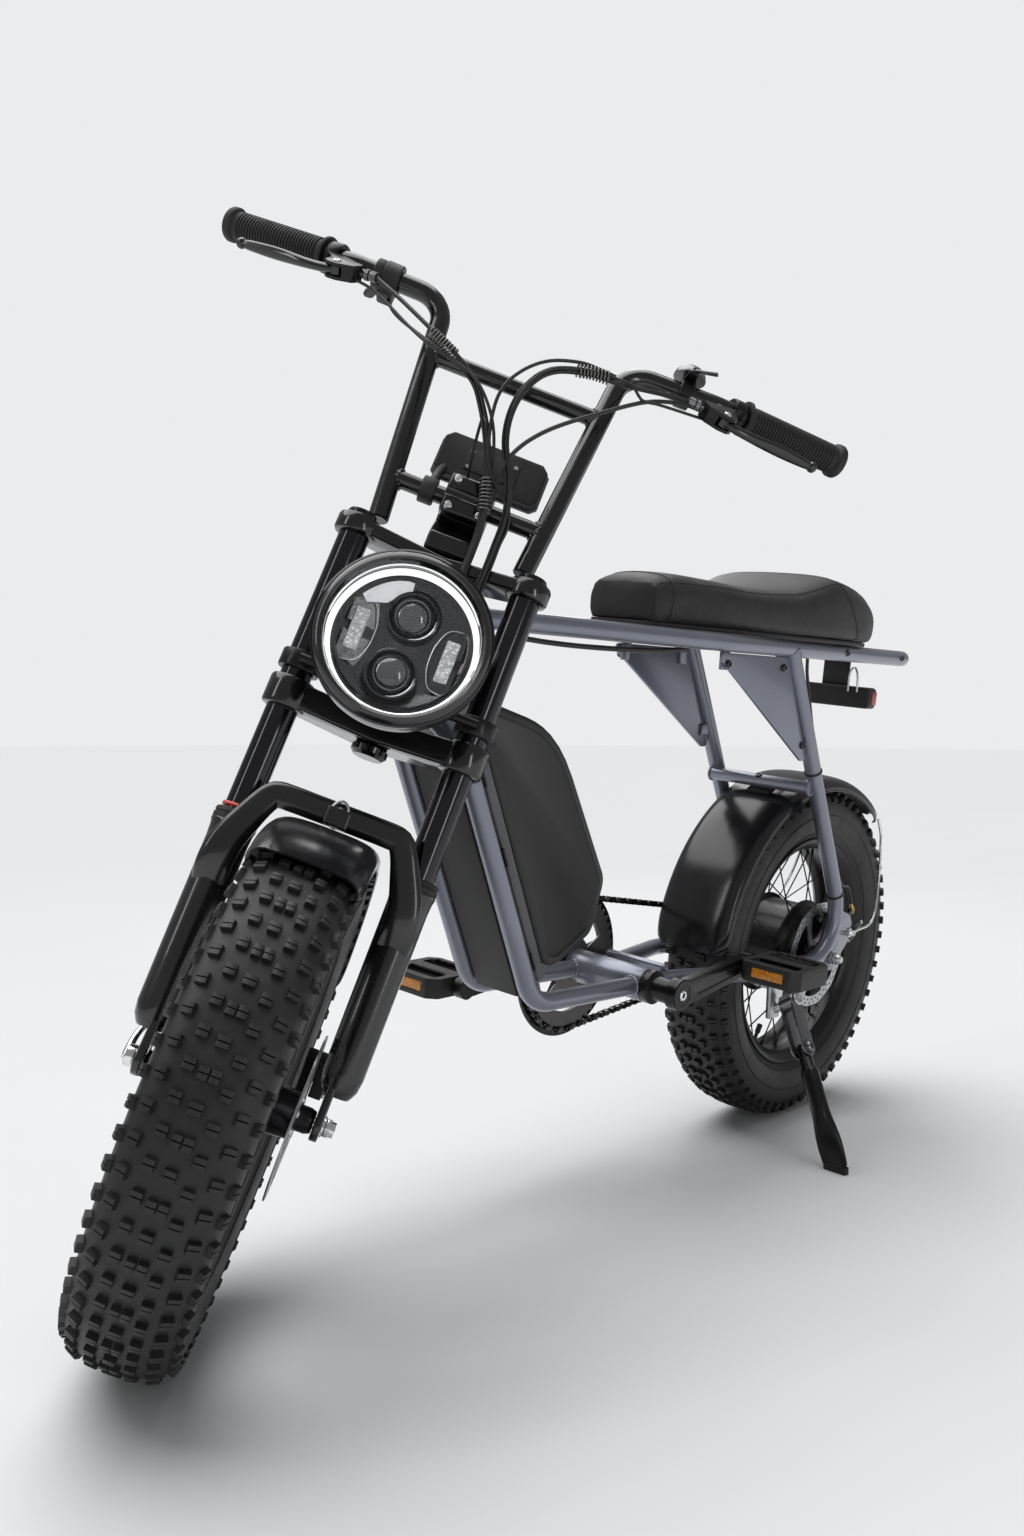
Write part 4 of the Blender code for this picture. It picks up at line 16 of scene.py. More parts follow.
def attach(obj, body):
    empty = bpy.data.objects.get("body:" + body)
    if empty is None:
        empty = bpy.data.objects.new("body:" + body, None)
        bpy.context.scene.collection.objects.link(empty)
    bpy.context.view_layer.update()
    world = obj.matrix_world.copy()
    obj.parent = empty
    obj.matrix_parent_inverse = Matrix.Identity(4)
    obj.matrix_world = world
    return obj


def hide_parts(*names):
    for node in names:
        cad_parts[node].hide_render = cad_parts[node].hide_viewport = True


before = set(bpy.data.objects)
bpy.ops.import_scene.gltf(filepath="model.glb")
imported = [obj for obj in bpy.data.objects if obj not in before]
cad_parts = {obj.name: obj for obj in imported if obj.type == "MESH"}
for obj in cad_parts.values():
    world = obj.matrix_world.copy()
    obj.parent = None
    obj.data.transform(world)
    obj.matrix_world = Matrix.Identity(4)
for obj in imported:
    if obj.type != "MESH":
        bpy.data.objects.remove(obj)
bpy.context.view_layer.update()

# Stance, repeated from the CAD source
WHEELBASE = 1.070
TYRE_RADIUS = 0.254
HEAD_ANGLE = math.radians(66.4)
FORK_OFFSET = 0.0426
STEERED = math.radians(43.6)
LEAN = math.radians(6.5)
STANCE_PLACE = (-0.512096, -0.069104, 0.001414)

# Wheels
TYRE_HALF_WIDTH = 0.051
KNOB_HEIGHT = 0.005
RIM_RADIUS = 0.1735
RIM_HALF_WIDTH = 0.040
RIM_BED = 0.1663
RIM_INNER = 0.1565
ROTOR_RADIUS = 0.080
ROTOR_THICKNESS = 0.0018
FRONT_ROTOR_Y = 0.066
REAR_ROTOR_Y = 0.0605
HUB_NOSE = 0.0125

# Frame tubes
TUBE_RADIUS = 0.0115
RAIL_HEIGHT = 0.706
RAIL_HALF_SPACING = 0.082
LOOP_REAR = -0.187
RAIL_SPREAD_X = 0.37
FRONT_HALF_SPACING = 0.048
DOWN_TUBE_TOP = (0.800, 0.568)
FRONT_CORNER = (0.650, 0.274)
REAR_CORNER = (-0.054, 0.251)
REAR_BEND_RADIUS = 0.066
UPRIGHT_TOP_X = 0.209
CROSS_TUBE = (0.114, 0.513)
CROSS_TUBE_RADIUS = 0.0095
HEAD_TUBE_RADIUS = 0.021
HEAD_CUP_RADIUS = 0.0255
DROPOUT_THICKNESS = 0.008

# Drive
BRACKET = (0.437, 0.2685)
BRACKET_RADIUS = 0.0215
BRACKET_HALF_LENGTH = 0.060
CRANK_LENGTH = 0.160
CRANK_DROP = math.radians(7.5)
CRANK_PLANE = 0.1075
CHAIN_LINE = 0.0655
CHAIN_PITCH = 0.0127
RING_TEETH = 44
SPROCKET_TEETH = 18
GUARD_RADIUS = 0.0995

# Fork and lamp
LEG_HALF_SPACING = 0.0932
LEG_AHEAD = 0.0343
STANCHION_RADIUS = 0.016
SLIDER_BOTTOM = 0.028
SLIDER_TOP = 0.248
LOWER_CROWN = (0.359, 0.391)
UPPER_CROWN = (0.553, 0.573)
CROWN_END_RADIUS = 0.0228
CROWN_CENTRE_RADIUS = 0.029
FORK_DROPOUT_Y = 0.088
LAMP_HEIGHT = 0.4408
LAMP_FRONT = 0.1525
LAMP_RADIUS = 0.086
LAMP_BACK = 0.0685
LAMP_RIM = 0.130
LAMP_FLOOR = 0.112

# Handlebar
BAR_RADIUS = 0.0111
BRACE_RADIUS = 0.0095
LOWER_BAR = (0.0076, 0.0853, 0.639)
UPPER_BAR = (-0.0058, 0.0992, 0.791)
BAR_STUB_Z = 0.588
BAR_BEND = (-0.0119, 0.1055, 0.860)
BAR_SWEEP = (-0.0150, 0.2150, 0.8634)
BAR_END = (-0.0735, 0.3715, 0.8862)
GRIP_RADIUS = 0.0165
GRIP_LENGTH = 0.134

# Clearances, bores and sides
FIT = 0.0003
RUNNING = 0.0006
AXLE_HOLE = 0.0063
BAR_BORE = 0.0113
SLIDER_BORE = 0.0166
HANDS = (1, -1)
SIDES = ((1, "left"), (-1, "right"))
WHEEL_STEPS = 112
SHARP_EDGE = math.radians(38)


# Shapes

def new_object(name, data):
    made = bpy.data.objects.new(name, data)
    bpy.context.collection.objects.link(made)
    return made


def outward(mesh):
    """Merges doubles and turns the faces outwards."""
    turned = bmesh.new()
    turned.from_mesh(mesh)
    bmesh.ops.remove_doubles(turned, verts=turned.verts, dist=1e-7)
    bmesh.ops.recalc_face_normals(turned, faces=turned.faces)
    turned.to_mesh(mesh)
    turned.free()


def shape(points, faces):
    """A loose mesh object whose faces are turned outwards."""
    mesh = bpy.data.meshes.new("shape")
    mesh.from_pydata([tuple(point) for point in points], [], faces)
    outward(mesh)
    return new_object("shape", mesh)


def placed(item, matrix):
    item.data.transform(matrix)
    return item


def shifted(item, offset):
    return placed(item, Matrix.Translation(Vector(offset)))


def mirrored(item):
    """The same shape on the other side."""
    item.data.transform(Matrix.Scale(-1, 4, (0, 1, 0)))
    item.data.flip_normals()
    return item


def on_side(item, hand):
    """A shape made for the left, turned over where it is for the right."""
    return item if hand > 0 else mirrored(item)


def joined(*items):
    """Several shapes as one mesh."""
    whole = bmesh.new()
    for item in items:
        whole.from_mesh(item.data)
    for item in items[1:]:
        bpy.data.objects.remove(item, do_unlink=True)
    whole.to_mesh(items[0].data)
    whole.free()
    return items[0]


def baked(item):
    """Applies the modifiers of an object to its mesh."""
    bpy.context.view_layer.update()
    seen = item.evaluated_get(bpy.context.evaluated_depsgraph_get())
    result = bpy.data.meshes.new_from_object(seen)
    item.modifiers.clear()
    item.data = result
    return item


def softened(item, width, segments=3, angle=35):
    """Rounds the edges that turn by more than the angle, in degrees."""
    step = item.modifiers.new("edges", "BEVEL")
    step.width = width
    step.segments = segments
    step.limit_method = "ANGLE"
    step.angle_limit = math.radians(angle)
    step.use_clamp_overlap = True
    return baked(item)


def cut(item, *tools):
    for tool in tools:
        step = item.modifiers.new("step", "BOOLEAN")
        step.operation = "DIFFERENCE"
        step.solver = "EXACT"
        step.object = tool
    baked(item)
    for tool in tools:
        bpy.data.objects.remove(tool, do_unlink=True)
    return item


def basis(origin, x_axis, z_axis):
    """The matrix that puts local X and Z along the two axes given."""
    up = Vector(z_axis).normalized()
    side = up.cross(Vector(x_axis)).normalized()
    turn = Matrix((side.cross(up), side, up)).transposed().to_4x4()
    return Matrix.Translation(Vector(origin)) @ turn


def arc(centre, radius, start, end, steps):
    """Points on a circle in a plane, from one angle to the other, in degrees."""
    points = []
    for step in range(steps + 1):
        angle = math.radians(start + (end - start) * step / steps)
        points.append((centre[0] + radius * math.cos(angle), centre[1] + radius * math.sin(angle)))
    return points


def ring(centre, radius, steps):
    return arc(centre, radius, 0, 360 * (steps - 1) / steps, steps - 1)


def around(steps):
    """The angles that divide a full turn evenly."""
    return [2 * math.pi * step / steps for step in range(steps)]


def squared_ring(steps, power):
    """Points of a circle, pushed out towards a square by a power below one."""
    return [(math.copysign(abs(math.cos(angle)) ** power, math.cos(angle)),
             math.copysign(abs(math.sin(angle)) ** power, math.sin(angle))) for angle in around(steps)]


def both_edges(half):
    """An outline of (left, other) points, carried back along the right side."""
    return half + [(-left, other) for left, other in reversed(half)]


def over_middle(left):
    """A row of points that ends on the middle plane, carried on down the right side."""
    return left + [Vector((spot.x, -spot.y, spot.z)) for spot in reversed(left[:-1])]


def belt(centre_a, radius_a, centre_b, radius_b, steps=12):
    """The outline of a belt drawn tight round two circles."""
    across = Vector(centre_b) - Vector(centre_a)
    heading = math.degrees(math.atan2(across.y, across.x))
    lean = math.degrees(math.acos((radius_a - radius_b) / across.length))
    first = arc(centre_a, radius_a, heading + lean, heading + 360 - lean, steps)
    return first + arc(centre_b, radius_b, heading - lean, heading + lean, steps)


def turned_corner(before, corner, after, radius, steps):
    """The arc of a radius that takes a path round a corner."""
    back = (before - corner).normalized()
    on = (after - corner).normalized()
    half = back.angle(on) / 2
    radius = min(radius, 0.49 * min((before - corner).length, (after - corner).length) * math.tan(half))
    centre = corner + (back + on).normalized() * (radius / math.sin(half))
    start = corner + back * (radius / math.tan(half)) - centre
    end = corner + on * (radius / math.tan(half)) - centre
    turn = start.angle(end)
    path = []
    for step in range(steps + 1):
        share = step / steps
        mixed = math.sin((1 - share) * turn) * start + math.sin(share * turn) * end
        path.append(centre + mixed / math.sin(turn))
    return path


def rounded(corners, radii, steps=10):
    """A path through corners in space, with each inner corner turned by an arc."""
    corners = [Vector(corner) for corner in corners]
    path = [corners[0]]
    for before, corner, after, radius in zip(corners, corners[1:], corners[2:], radii):
        path += turned_corner(before, corner, after, radius, steps)
    return path + [corners[-1]]


def eased_outline(corners, radius, steps=6):
    """A closed outline in a plane with its corners turned by arcs."""
    spots = [Vector((first, second, 0)) for first, second in corners]
    outline = []
    for index, corner in enumerate(spots):
        after = spots[(index + 1) % len(spots)]
        before = spots[index - 1]
        if (before - corner).angle(after - corner) > math.radians(168):
            outline.append((corner.x, corner.y))
            continue
        for point in turned_corner(before, corner, after, radius, steps):
            outline.append((point.x, point.y))
    return outline


def path_rings(path, closed=False):
    """For each point of a path its place and two directions across it, kept from twisting."""
    path = [Vector(point) for point in path]
    count = len(path)
    side = None
    for index, point in enumerate(path):
        ahead = path[(index + 1) % count] if closed or index + 1 < count else point
        behind = path[index - 1] if closed or index else point
        heading = (ahead - behind).normalized()
        if side is None:
            side = heading.orthogonal().normalized()
        side = (side - heading * side.dot(heading)).normalized()
        yield point, side, heading.cross(side)


def beside(path, reach, turn):
    """The same path carried at a distance beside itself, at an angle about its heading."""
    return [spot + reach * (math.cos(turn) * side + math.sin(turn) * up)
            for spot, side, up in path_rings(path)]


def tube(path, radius, sides=20, closed=False, radii=None):
    """A round bar along a path; radii may give it a radius at every point."""
    rings = []
    for index, (point, side, up) in enumerate(path_rings(path, closed)):
        reach = radii[index] if radii else radius
        rings.append([point + reach * (math.cos(angle) * side + math.sin(angle) * up)
                      for angle in around(sides)])
    return lofted(rings, closed)


def rod(start, end, radius, sides=24, edge=0.0):
    """A straight bar, its end edges broken where an edge width is given."""
    start = Vector(start)
    end = Vector(end)
    if not edge:
        return tube([start, end], radius, sides)
    along = (end - start).normalized() * edge
    return tube([start, start + along, end - along, end], radius, sides,
                radii=[radius - edge, radius, radius, radius - edge])


def lofted(rings, closed=False):
    """A skin over closed rings of points, flat at both ends unless the rings close too."""
    size = len(rings[0])
    count = len(rings)
    faces = [] if closed else [tuple(range(size)), tuple(range((count - 1) * size, count * size))]
    for index in range(count if closed else count - 1):
        following = (index + 1) % count
        for step in range(size):
            other = (step + 1) % size
            faces.append((index * size + step, index * size + other,
                          following * size + other, following * size + step))
    return shape([point for spots in rings for point in spots], faces)


def lathe(profile, steps=64, axis="Y"):
    """Turns (along, radius) points about an axis; an outline that leaves it is closed."""
    first, second, third = {"X": (0, 1, 2), "Y": (1, 2, 0), "Z": (2, 0, 1)}[axis]
    points = []
    rows = []
    for place, radius in profile:
        row = []
        for angle in around(steps if radius > 1e-9 else 1):
            spot = [0.0, 0.0, 0.0]
            spot[first] = place
            spot[second] = radius * math.cos(angle)
            spot[third] = radius * math.sin(angle)
            row.append(len(points))
            points.append(spot)
        rows.append(row)
    pairs = list(zip(rows, rows[1:]))
    if len(rows[0]) > 1 and len(rows[-1]) > 1:
        pairs.append((rows[-1], rows[0]))
    faces = []
    for near, far in pairs:
        for step in range(steps):
            other = (step + 1) % steps
            if len(near) == 1 and len(far) > 1:
                faces.append((near[0], far[step], far[other]))
            elif len(far) == 1 and len(near) > 1:
                faces.append((near[step], near[other], far[0]))
            elif len(near) > 1:
                faces.append((near[step], near[other], far[other], far[step]))
    return shape(points, faces)


def sleeve(low, high, inner, outer, steps=48, axis="Y"):
    """A plain ring, or a disc where its inner radius is nothing."""
    return lathe([(low, inner), (low, outer), (high, outer), (high, inner)], steps, axis)


def prism(outline, low, high, axis="Y"):
    """An outline drawn across an axis and carried along it."""
    order = {"X": (2, 0, 1), "Y": (0, 2, 1), "Z": (0, 1, 2)}[axis]
    rings = []
    for level in (low, high):
        rings.append([[(*spot, level)[place] for place in order] for spot in outline])
    return lofted(rings)


def block(low, high, edge=0.0):
    """A box between two corners, its edges rounded where a width is given."""
    outline = [(low[0], low[1]), (high[0], low[1]), (high[0], high[1]), (low[0], high[1])]
    made = prism(outline, low[2], high[2], "Z")
    return softened(made, edge) if edge else made


def eased(place, table):
    """A value read from (place, value) pairs along a smooth curve through them."""
    for index, (low, high) in enumerate(zip(table, table[1:])):
        if place <= high[0] or index == len(table) - 2:
            before = table[max(index - 1, 0)]
            after = table[min(index + 2, len(table) - 1)]
            span = high[0] - low[0]
            share = min(max((place - low[0]) / span, 0.0), 1.0)
            rise_low = (high[1] - before[1]) / max(high[0] - before[0], 1e-9) * span
            rise_high = (after[1] - low[1]) / max(after[0] - low[0], 1e-9) * span
            square = share * share
            cube = square * share
            return ((2 * cube - 3 * square + 1) * low[1] + (cube - 2 * square + share) * rise_low
                    + (3 * square - 2 * cube) * high[1] + (cube - square) * rise_high)
    return table[-1][1]


def curve_through(points, spacing):
    """Evenly spaced points on a smooth curve through the given ones."""
    points = [Vector(point) for point in points]
    lengths = [0.0]
    for before, after in zip(points, points[1:]):
        lengths.append(lengths[-1] + (after - before).length)
    tables = [[(length, point[axis]) for length, point in zip(lengths, points)] for axis in range(3)]
    steps = max(2, round(lengths[-1] / spacing))
    return [Vector([eased(lengths[-1] * step / steps, table) for table in tables])
            for step in range(steps + 1)]


def path_frame(path, length):
    """The place and heading at a length along a path."""
    for before, after in zip(path, path[1:]):
        step = (after - before).length
        if length <= step:
            return before + (after - before) * (length / step), (after - before).normalized()
        length -= step
    return path[-1].copy(), (path[-1] - path[-2]).normalized()


# Repeated shapes

def add_node(tree, kind, settings, links):
    """Adds a node to any tree: its settings first, then values or links for its sockets."""
    made = tree.nodes.new(kind)
    for label, value in dict(settings).items():
        setattr(made, label, value)
    for label, value in links.items():
        index = int(label[1:]) if label[1:].isdigit() else label.replace("_", " ")
        value = getattr(value, "socket", value)
        if isinstance(value, bpy.types.NodeSocket):
            tree.links.new(value, made.inputs[index])
        else:
            made.inputs[index].default_value = value
    return made.outputs


class Tree:
    """A geometry node tree with named inputs, built from values and links."""

    def __init__(self, name, inputs):
        self.group = bpy.data.node_groups.new(name, "GeometryNodeTree")
        self.keys = {}
        for label, kind in inputs:
            socket = self.group.interface.new_socket(label, in_out="INPUT", socket_type="NodeSocket" + kind)
            self.keys[label] = socket.identifier
        self.group.interface.new_socket("Geometry", in_out="OUTPUT", socket_type="NodeSocketGeometry")
        self.given = self.group.nodes.new("NodeGroupInput").outputs

    def node(self, kind, settings=(), **links):
        return add_node(self.group, kind, settings, links)

    def close(self, points, item, turn):
        """Ends the tree with the item's copies as real geometry in one finish."""
        copies = self.node("GeometryNodeInstanceOnPoints", Points=points, Instance=item, Rotation=turn)[0]
        solid = self.node("GeometryNodeRealizeInstances", Geometry=copies)[0]
        dressed = self.node("GeometryNodeSetMaterial", Geometry=solid, Material=self.given["Finish"])[0]
        self.node("NodeGroupOutput", Geometry=dressed)

    def grown(self, values):
        """The tree's result for some values, as a plain mesh object."""
        host = new_object("shape", bpy.data.meshes.new("shape"))
        step = host.modifiers.new("repeat", "NODES")
        step.node_group = self.group
        for label, value in values.items():
            step[self.keys[label]] = value
        baked(host)
        for value in values.values():
            if isinstance(value, bpy.types.Object):
                bpy.data.objects.remove(value, do_unlink=True)
        return host


def stepped_tree():
    """Copies of a shape, each one moved by a step and turned about an axis from the last."""
    tree = Tree("stepped copies", (("Shape", "Object"), ("Count", "Int"), ("Step", "Vector"),
                                   ("Axis", "Vector"), ("Start", "Float"), ("Turn", "Float"),
                                   ("Finish", "Material")))
    index = tree.node("GeometryNodeInputIndex")[0]
    offset = tree.node("ShaderNodeVectorMath", {"operation": "SCALE"}, s0=tree.given["Step"],
                       Scale=index)[0]
    angle = tree.node("ShaderNodeMath", {"operation": "MULTIPLY_ADD"}, s0=index,
                      s1=tree.given["Turn"], s2=tree.given["Start"])[0]
    turn = tree.node("FunctionNodeAxisAngleToRotation", Axis=tree.given["Axis"], Angle=angle)[0]
    spots = tree.node("GeometryNodePoints", Count=tree.given["Count"], Position=offset)[0]
    item = tree.node("GeometryNodeObjectInfo", Object=tree.given["Shape"])["Geometry"]
    tree.close(spots, item, turn)
    return tree


def strung_tree():
    """Copies of a shape set out evenly along a path, Z along it."""
    tree = Tree("strung copies", (("Shape", "Object"), ("Path", "Object"), ("Count", "Int"),
                                  ("Finish", "Material")))
    path = tree.node("GeometryNodeObjectInfo", Object=tree.given["Path"])["Geometry"]
    spots = tree.node("GeometryNodeCurveToPoints", {"mode": "COUNT"}, Curve=path,
                      Count=tree.given["Count"])
    item = tree.node("GeometryNodeObjectInfo", Object=tree.given["Shape"])["Geometry"]
    tree.close(spots["Points"], item, spots["Rotation"])
    return tree


STEPPED = stepped_tree()
STRUNG = strung_tree()


def repeated(item, count, finish, step=(0, 0, 0), axis=(0, 1, 0), start=0.0):
    """Copies set evenly round an axis, or in a line by a step."""
    turn = 0.0 if any(step) else 2 * math.pi / count
    return STEPPED.grown({"Shape": item, "Count": count, "Step": step, "Axis": axis,
                          "Start": float(start), "Turn": float(turn), "Finish": finish})


def line_curve(points, closed=False):
    """A curve of one straight-stepped spline through points."""
    curve = bpy.data.curves.new("line", "CURVE")
    curve.dimensions = "3D"
    curve.twist_mode = "MINIMUM"
    spline = curve.splines.new("POLY")
    spline.points.add(len(points) - 1)
    spline.use_cyclic_u = closed
    for spot, point in zip(spline.points, points):
        spot.co = (*point, 1.0)
    return new_object("line", curve)


def strung(item, points, count, finish, closed=False):
    """Copies set evenly along a path."""
    return STRUNG.grown({"Shape": item, "Path": line_curve(points, closed), "Count": count,
                         "Finish": finish})


# Finishes

class Value:
    """A shader socket whose arithmetic adds Math nodes."""

    def __init__(self, finish, socket):
        self.finish = finish
        self.socket = socket

    def math(self, operation, first, second=0.0):
        return self.finish.node("ShaderNodeMath", {"operation": operation}, s0=first, s1=second)

    def __add__(self, other):
        return self.math("ADD", self, other)

    def __radd__(self, other):
        return self.math("ADD", other, self)

    def __sub__(self, other):
        return self.math("SUBTRACT", self, other)

    def __rsub__(self, other):
        return self.math("SUBTRACT", other, self)

    def __mul__(self, other):
        return self.math("MULTIPLY", self, other)

    def __rmul__(self, other):
        return self.math("MULTIPLY", other, self)

    def __abs__(self):
        return self.math("ABSOLUTE", self)


class Finish:
    """A material on one Principled shader, with constants on the shader's own sockets."""

    def __init__(self, name, constants):
        self.material = bpy.data.materials.new(name)
        self.material.use_nodes = True
        self.tree = self.material.node_tree
        self.shader = self.tree.nodes["Principled BSDF"]
        for label, value in constants.items():
            self.shader.inputs[label].default_value = value

    def node(self, kind, settings=(), output=0, **links):
        return Value(self, add_node(self.tree, kind, settings, links)[output])

    def spot(self, stretch=(1, 1, 1)):
        """Object coordinates, stretched by a Mapping node."""
        place = self.node("ShaderNodeTexCoord", output="Object")
        return self.node("ShaderNodeMapping", Vector=place, Scale=stretch)

    def noise(self, scale, detail=2.0, where=None, roughness=0.5):
        return self.node("ShaderNodeTexNoise", output="Fac", Vector=where or self.spot(),
                         Scale=scale, Detail=detail, Roughness=roughness)

    def cells(self, scale, where=None, feature="DISTANCE_TO_EDGE"):
        return self.node("ShaderNodeTexVoronoi", {"feature": feature}, output="Distance",
                         Vector=where or self.spot(), Scale=scale)

    def ranged(self, value, low, high):
        """Takes a value from a range to nothing and one, and holds it at the ends."""
        return self.node("ShaderNodeMapRange", {"clamp": True}, Value=value, From_Min=low, From_Max=high)

    def blend(self, share, first, second):
        """Mixes two colours."""
        colours = [colour if isinstance(colour, Value) else (*colour, 1.0) for colour in (first, second)]
        return self.node("ShaderNodeMix", {"data_type": "RGBA"}, output=2, s0=share,
                         s6=colours[0], s7=colours[1])

    def bump(self, height, depth):
        return self.node("ShaderNodeBump", Height=height, Distance=depth, Strength=1.0)

    def feed(self, **values):
        """Links what changes over the surface to the shader."""
        for label, value in values.items():
            self.tree.links.new(value.socket, self.shader.inputs[label.replace("_", " ")])
        return self.material


def slate_paint():
    """Metallic slate enamel: fine flake, orange peel and a slow shift of tone."""
    made = Finish("slate paint", {"Metallic": 0.62, "Coat Weight": 0.45, "Coat Roughness": 0.12,
                                  "IOR": 1.5})
    tone = made.ranged(made.noise(7.0, 3.0), 0.35, 0.65)
    flake = made.ranged(made.noise(2600.0, 1.0), 0.52, 0.72)
    base = made.blend(tone, (0.190, 0.203, 0.250), (0.222, 0.236, 0.286))
    return made.feed(Base_Color=made.blend(flake * 0.55, base, (0.40, 0.42, 0.48)),
                     Roughness=0.30 + tone * 0.05 + flake * 0.06,
                     Normal=made.bump(made.noise(420.0, 1.0), 0.00004))


def black_coat(name, colour, roughness, metallic, coat, peel):
    """A black lacquered or anodised metal: slow smears in the gloss, a fine peel, light dust."""
    made = Finish(name, {"Metallic": metallic, "Coat Weight": coat, "Coat Roughness": 0.06})
    smear = made.ranged(made.noise(26.0, 4.0), 0.35, 0.70)
    dust = made.ranged(made.noise(240.0, 6.0, roughness=0.7), 0.60, 0.85)
    lighter = tuple(part * 1.7 + 0.004 for part in colour)
    return made.feed(Base_Color=made.blend(dust * 0.5 + smear * 0.2, colour, lighter),
                     Roughness=roughness + smear * 0.05 + dust * 0.08,
                     Normal=made.bump(made.noise(peel, 2.0), 0.00003))


def moulded_plastic(name, colour, roughness, grain, depth):
    """Moulded plastic with a spark-eroded grain and a slow change of sheen."""
    made = Finish(name, {"IOR": 1.48})
    pits = made.cells(grain)
    slow = made.noise(18.0, 3.0)
    lighter = tuple(part * 1.5 + 0.003 for part in colour)
    return made.feed(Base_Color=made.blend(made.ranged(slow, 0.3, 0.7), colour, lighter),
                     Roughness=roughness + made.ranged(slow, 0.3, 0.7) * 0.08,
                     Normal=made.bump(made.ranged(pits, 0.0, 0.35) + slow * 0.3, depth))


def rubber(name, colour, dusty, roughness, depth):
    """Rubber: matt, mottled by dust that lies in its low places."""
    made = Finish(name, {"IOR": 1.5})
    mottle = made.ranged(made.noise(38.0, 6.0, roughness=0.65), 0.42, 0.72)
    grain = made.noise(900.0, 3.0)
    return made.feed(Base_Color=made.blend(mottle * 0.55, colour, dusty),
                     Roughness=roughness + mottle * 0.14,
                     Normal=made.bump(grain + mottle * 0.4, depth))


def leather():
    """Seat vinyl: small raised cells, broad worn patches and fine creases."""
    made = Finish("seat leather", {"IOR": 1.47, "Sheen Weight": 0.08, "Sheen Roughness": 0.4})
    bent = made.spot((1.0, 1.25, 1.0))
    cell = made.ranged(made.cells(520.0, bent), 0.0, 0.22)
    fine = made.ranged(made.cells(1300.0, bent), 0.0, 0.3)
    worn = made.ranged(made.noise(9.0, 4.0), 0.38, 0.66)
    crease = made.ranged(abs(made.noise(60.0, 5.0) - 0.5), 0.0, 0.05)
    return made.feed(Base_Color=made.blend(cell * 0.5 + worn * 0.35, (0.0065, 0.0065, 0.007),
                                           (0.017, 0.0165, 0.0165)),
                     Roughness=0.44 - worn * 0.10 + (1 - cell) * 0.12,
                     Normal=made.bump(cell * 0.7 + fine * 0.2 + crease * 0.25, 0.00022))


def bare_metal(name, colour, roughness, stretch, scale):
    """Bare or plated metal with a drawn grain and faint stains."""
    made = Finish(name, {"Metallic": 1.0})
    grain = made.noise(scale, 3.0, made.spot(stretch))
    stain = made.ranged(made.noise(60.0, 5.0), 0.45, 0.75)
    darker = tuple(part * 0.62 for part in colour)
    return made.feed(Base_Color=made.blend(stain * 0.6, colour, darker),
                     Roughness=roughness + grain * 0.12 + stain * 0.10,
                     Normal=made.bump(grain, 0.00001))


def pressed_lens(name, colour, cell, strength):
    """A coloured reflector: clear plastic over a pressed field of small prisms, glowing a little by its
    emission strength; on the amber pedal reflectors, which are no lamps, that glow is painted light.
    """
    made = Finish(name, {"IOR": 1.49, "Coat Weight": 0.6, "Coat Roughness": 0.04,
                         "Emission Strength": strength})
    prisms = made.cells(cell, feature="F1")
    tinted = made.ranged(prisms, 0.1, 0.6)
    deep = tuple(part * 0.45 for part in colour)
    body = made.blend(tinted, colour, deep)
    return made.feed(Base_Color=body, Roughness=0.16 + tinted * 0.12, Emission_Color=body,
                     Normal=made.bump(prisms, 0.0004))


def clear_glass():
    """The lamp's front glass, clear with the faintest smear."""
    made = Finish("clear lamp glass", {"IOR": 1.22, "Transmission Weight": 1.0, "Metallic": 0.0})
    smear = made.ranged(made.noise(14.0, 3.0), 0.45, 0.75)
    return made.feed(Base_Color=made.blend(smear, (0.97, 0.98, 0.985), (0.93, 0.94, 0.95)),
                     Roughness=smear * 0.03)


def dark_glass(name, deep, paler, roughness, metallic):
    """Smooth dark glass or tinted mirror, a shade paler in slow patches."""
    made = Finish(name, {"IOR": 1.85, "Metallic": metallic})
    slow = made.ranged(made.noise(22.0, 2.0), 0.35, 0.65)
    return made.feed(Base_Color=made.blend(slow, deep, paler), Roughness=roughness + slow * 0.02)


def lit_ring():
    """The white light guide of the running light, a little brighter in its middle."""
    made = Finish("running light", {"Emission Strength": 1.0, "Roughness": 0.35})
    slow = made.ranged(made.noise(30.0, 2.0), 0.35, 0.65)
    white = made.blend(slow, (0.93, 0.935, 0.94), (1.0, 1.0, 1.0))
    return made.feed(Base_Color=white, Emission_Color=white)


PAINT = slate_paint()
GLOSS = black_coat("gloss black lacquer", (0.0040, 0.0040, 0.0045), 0.15, 0.0, 0.45, 320.0)
ENAMEL = black_coat("fork enamel", (0.0040, 0.0040, 0.0045), 0.24, 0.0, 0.60, 320.0)
BLACK_CHROME = black_coat("black chrome", (0.035, 0.035, 0.038), 0.10, 0.95, 0.2, 260.0)
SATIN = black_coat("satin black", (0.0075, 0.0075, 0.008), 0.31, 0.5, 0.1, 700.0)
ANODISED = black_coat("black anodised alloy", (0.013, 0.013, 0.0145), 0.27, 0.85, 0.0, 1100.0)
GREY_METAL = black_coat("dark grey alloy", (0.20, 0.20, 0.205), 0.26, 0.95, 0.0, 900.0)
PLASTIC = moulded_plastic("moulded black plastic", (0.0075, 0.0075, 0.008), 0.42, 1500.0, 0.00008)
SHELL = moulded_plastic("battery shell", (0.0055, 0.0055, 0.006), 0.30, 2400.0, 0.00003)
SHELL_BAND = moulded_plastic("battery band", (0.075, 0.077, 0.083), 0.36, 2400.0, 0.00003)
MUDGUARD = moulded_plastic("glossy mudguard plastic", (0.009, 0.009, 0.010), 0.14, 300.0, 0.00002)
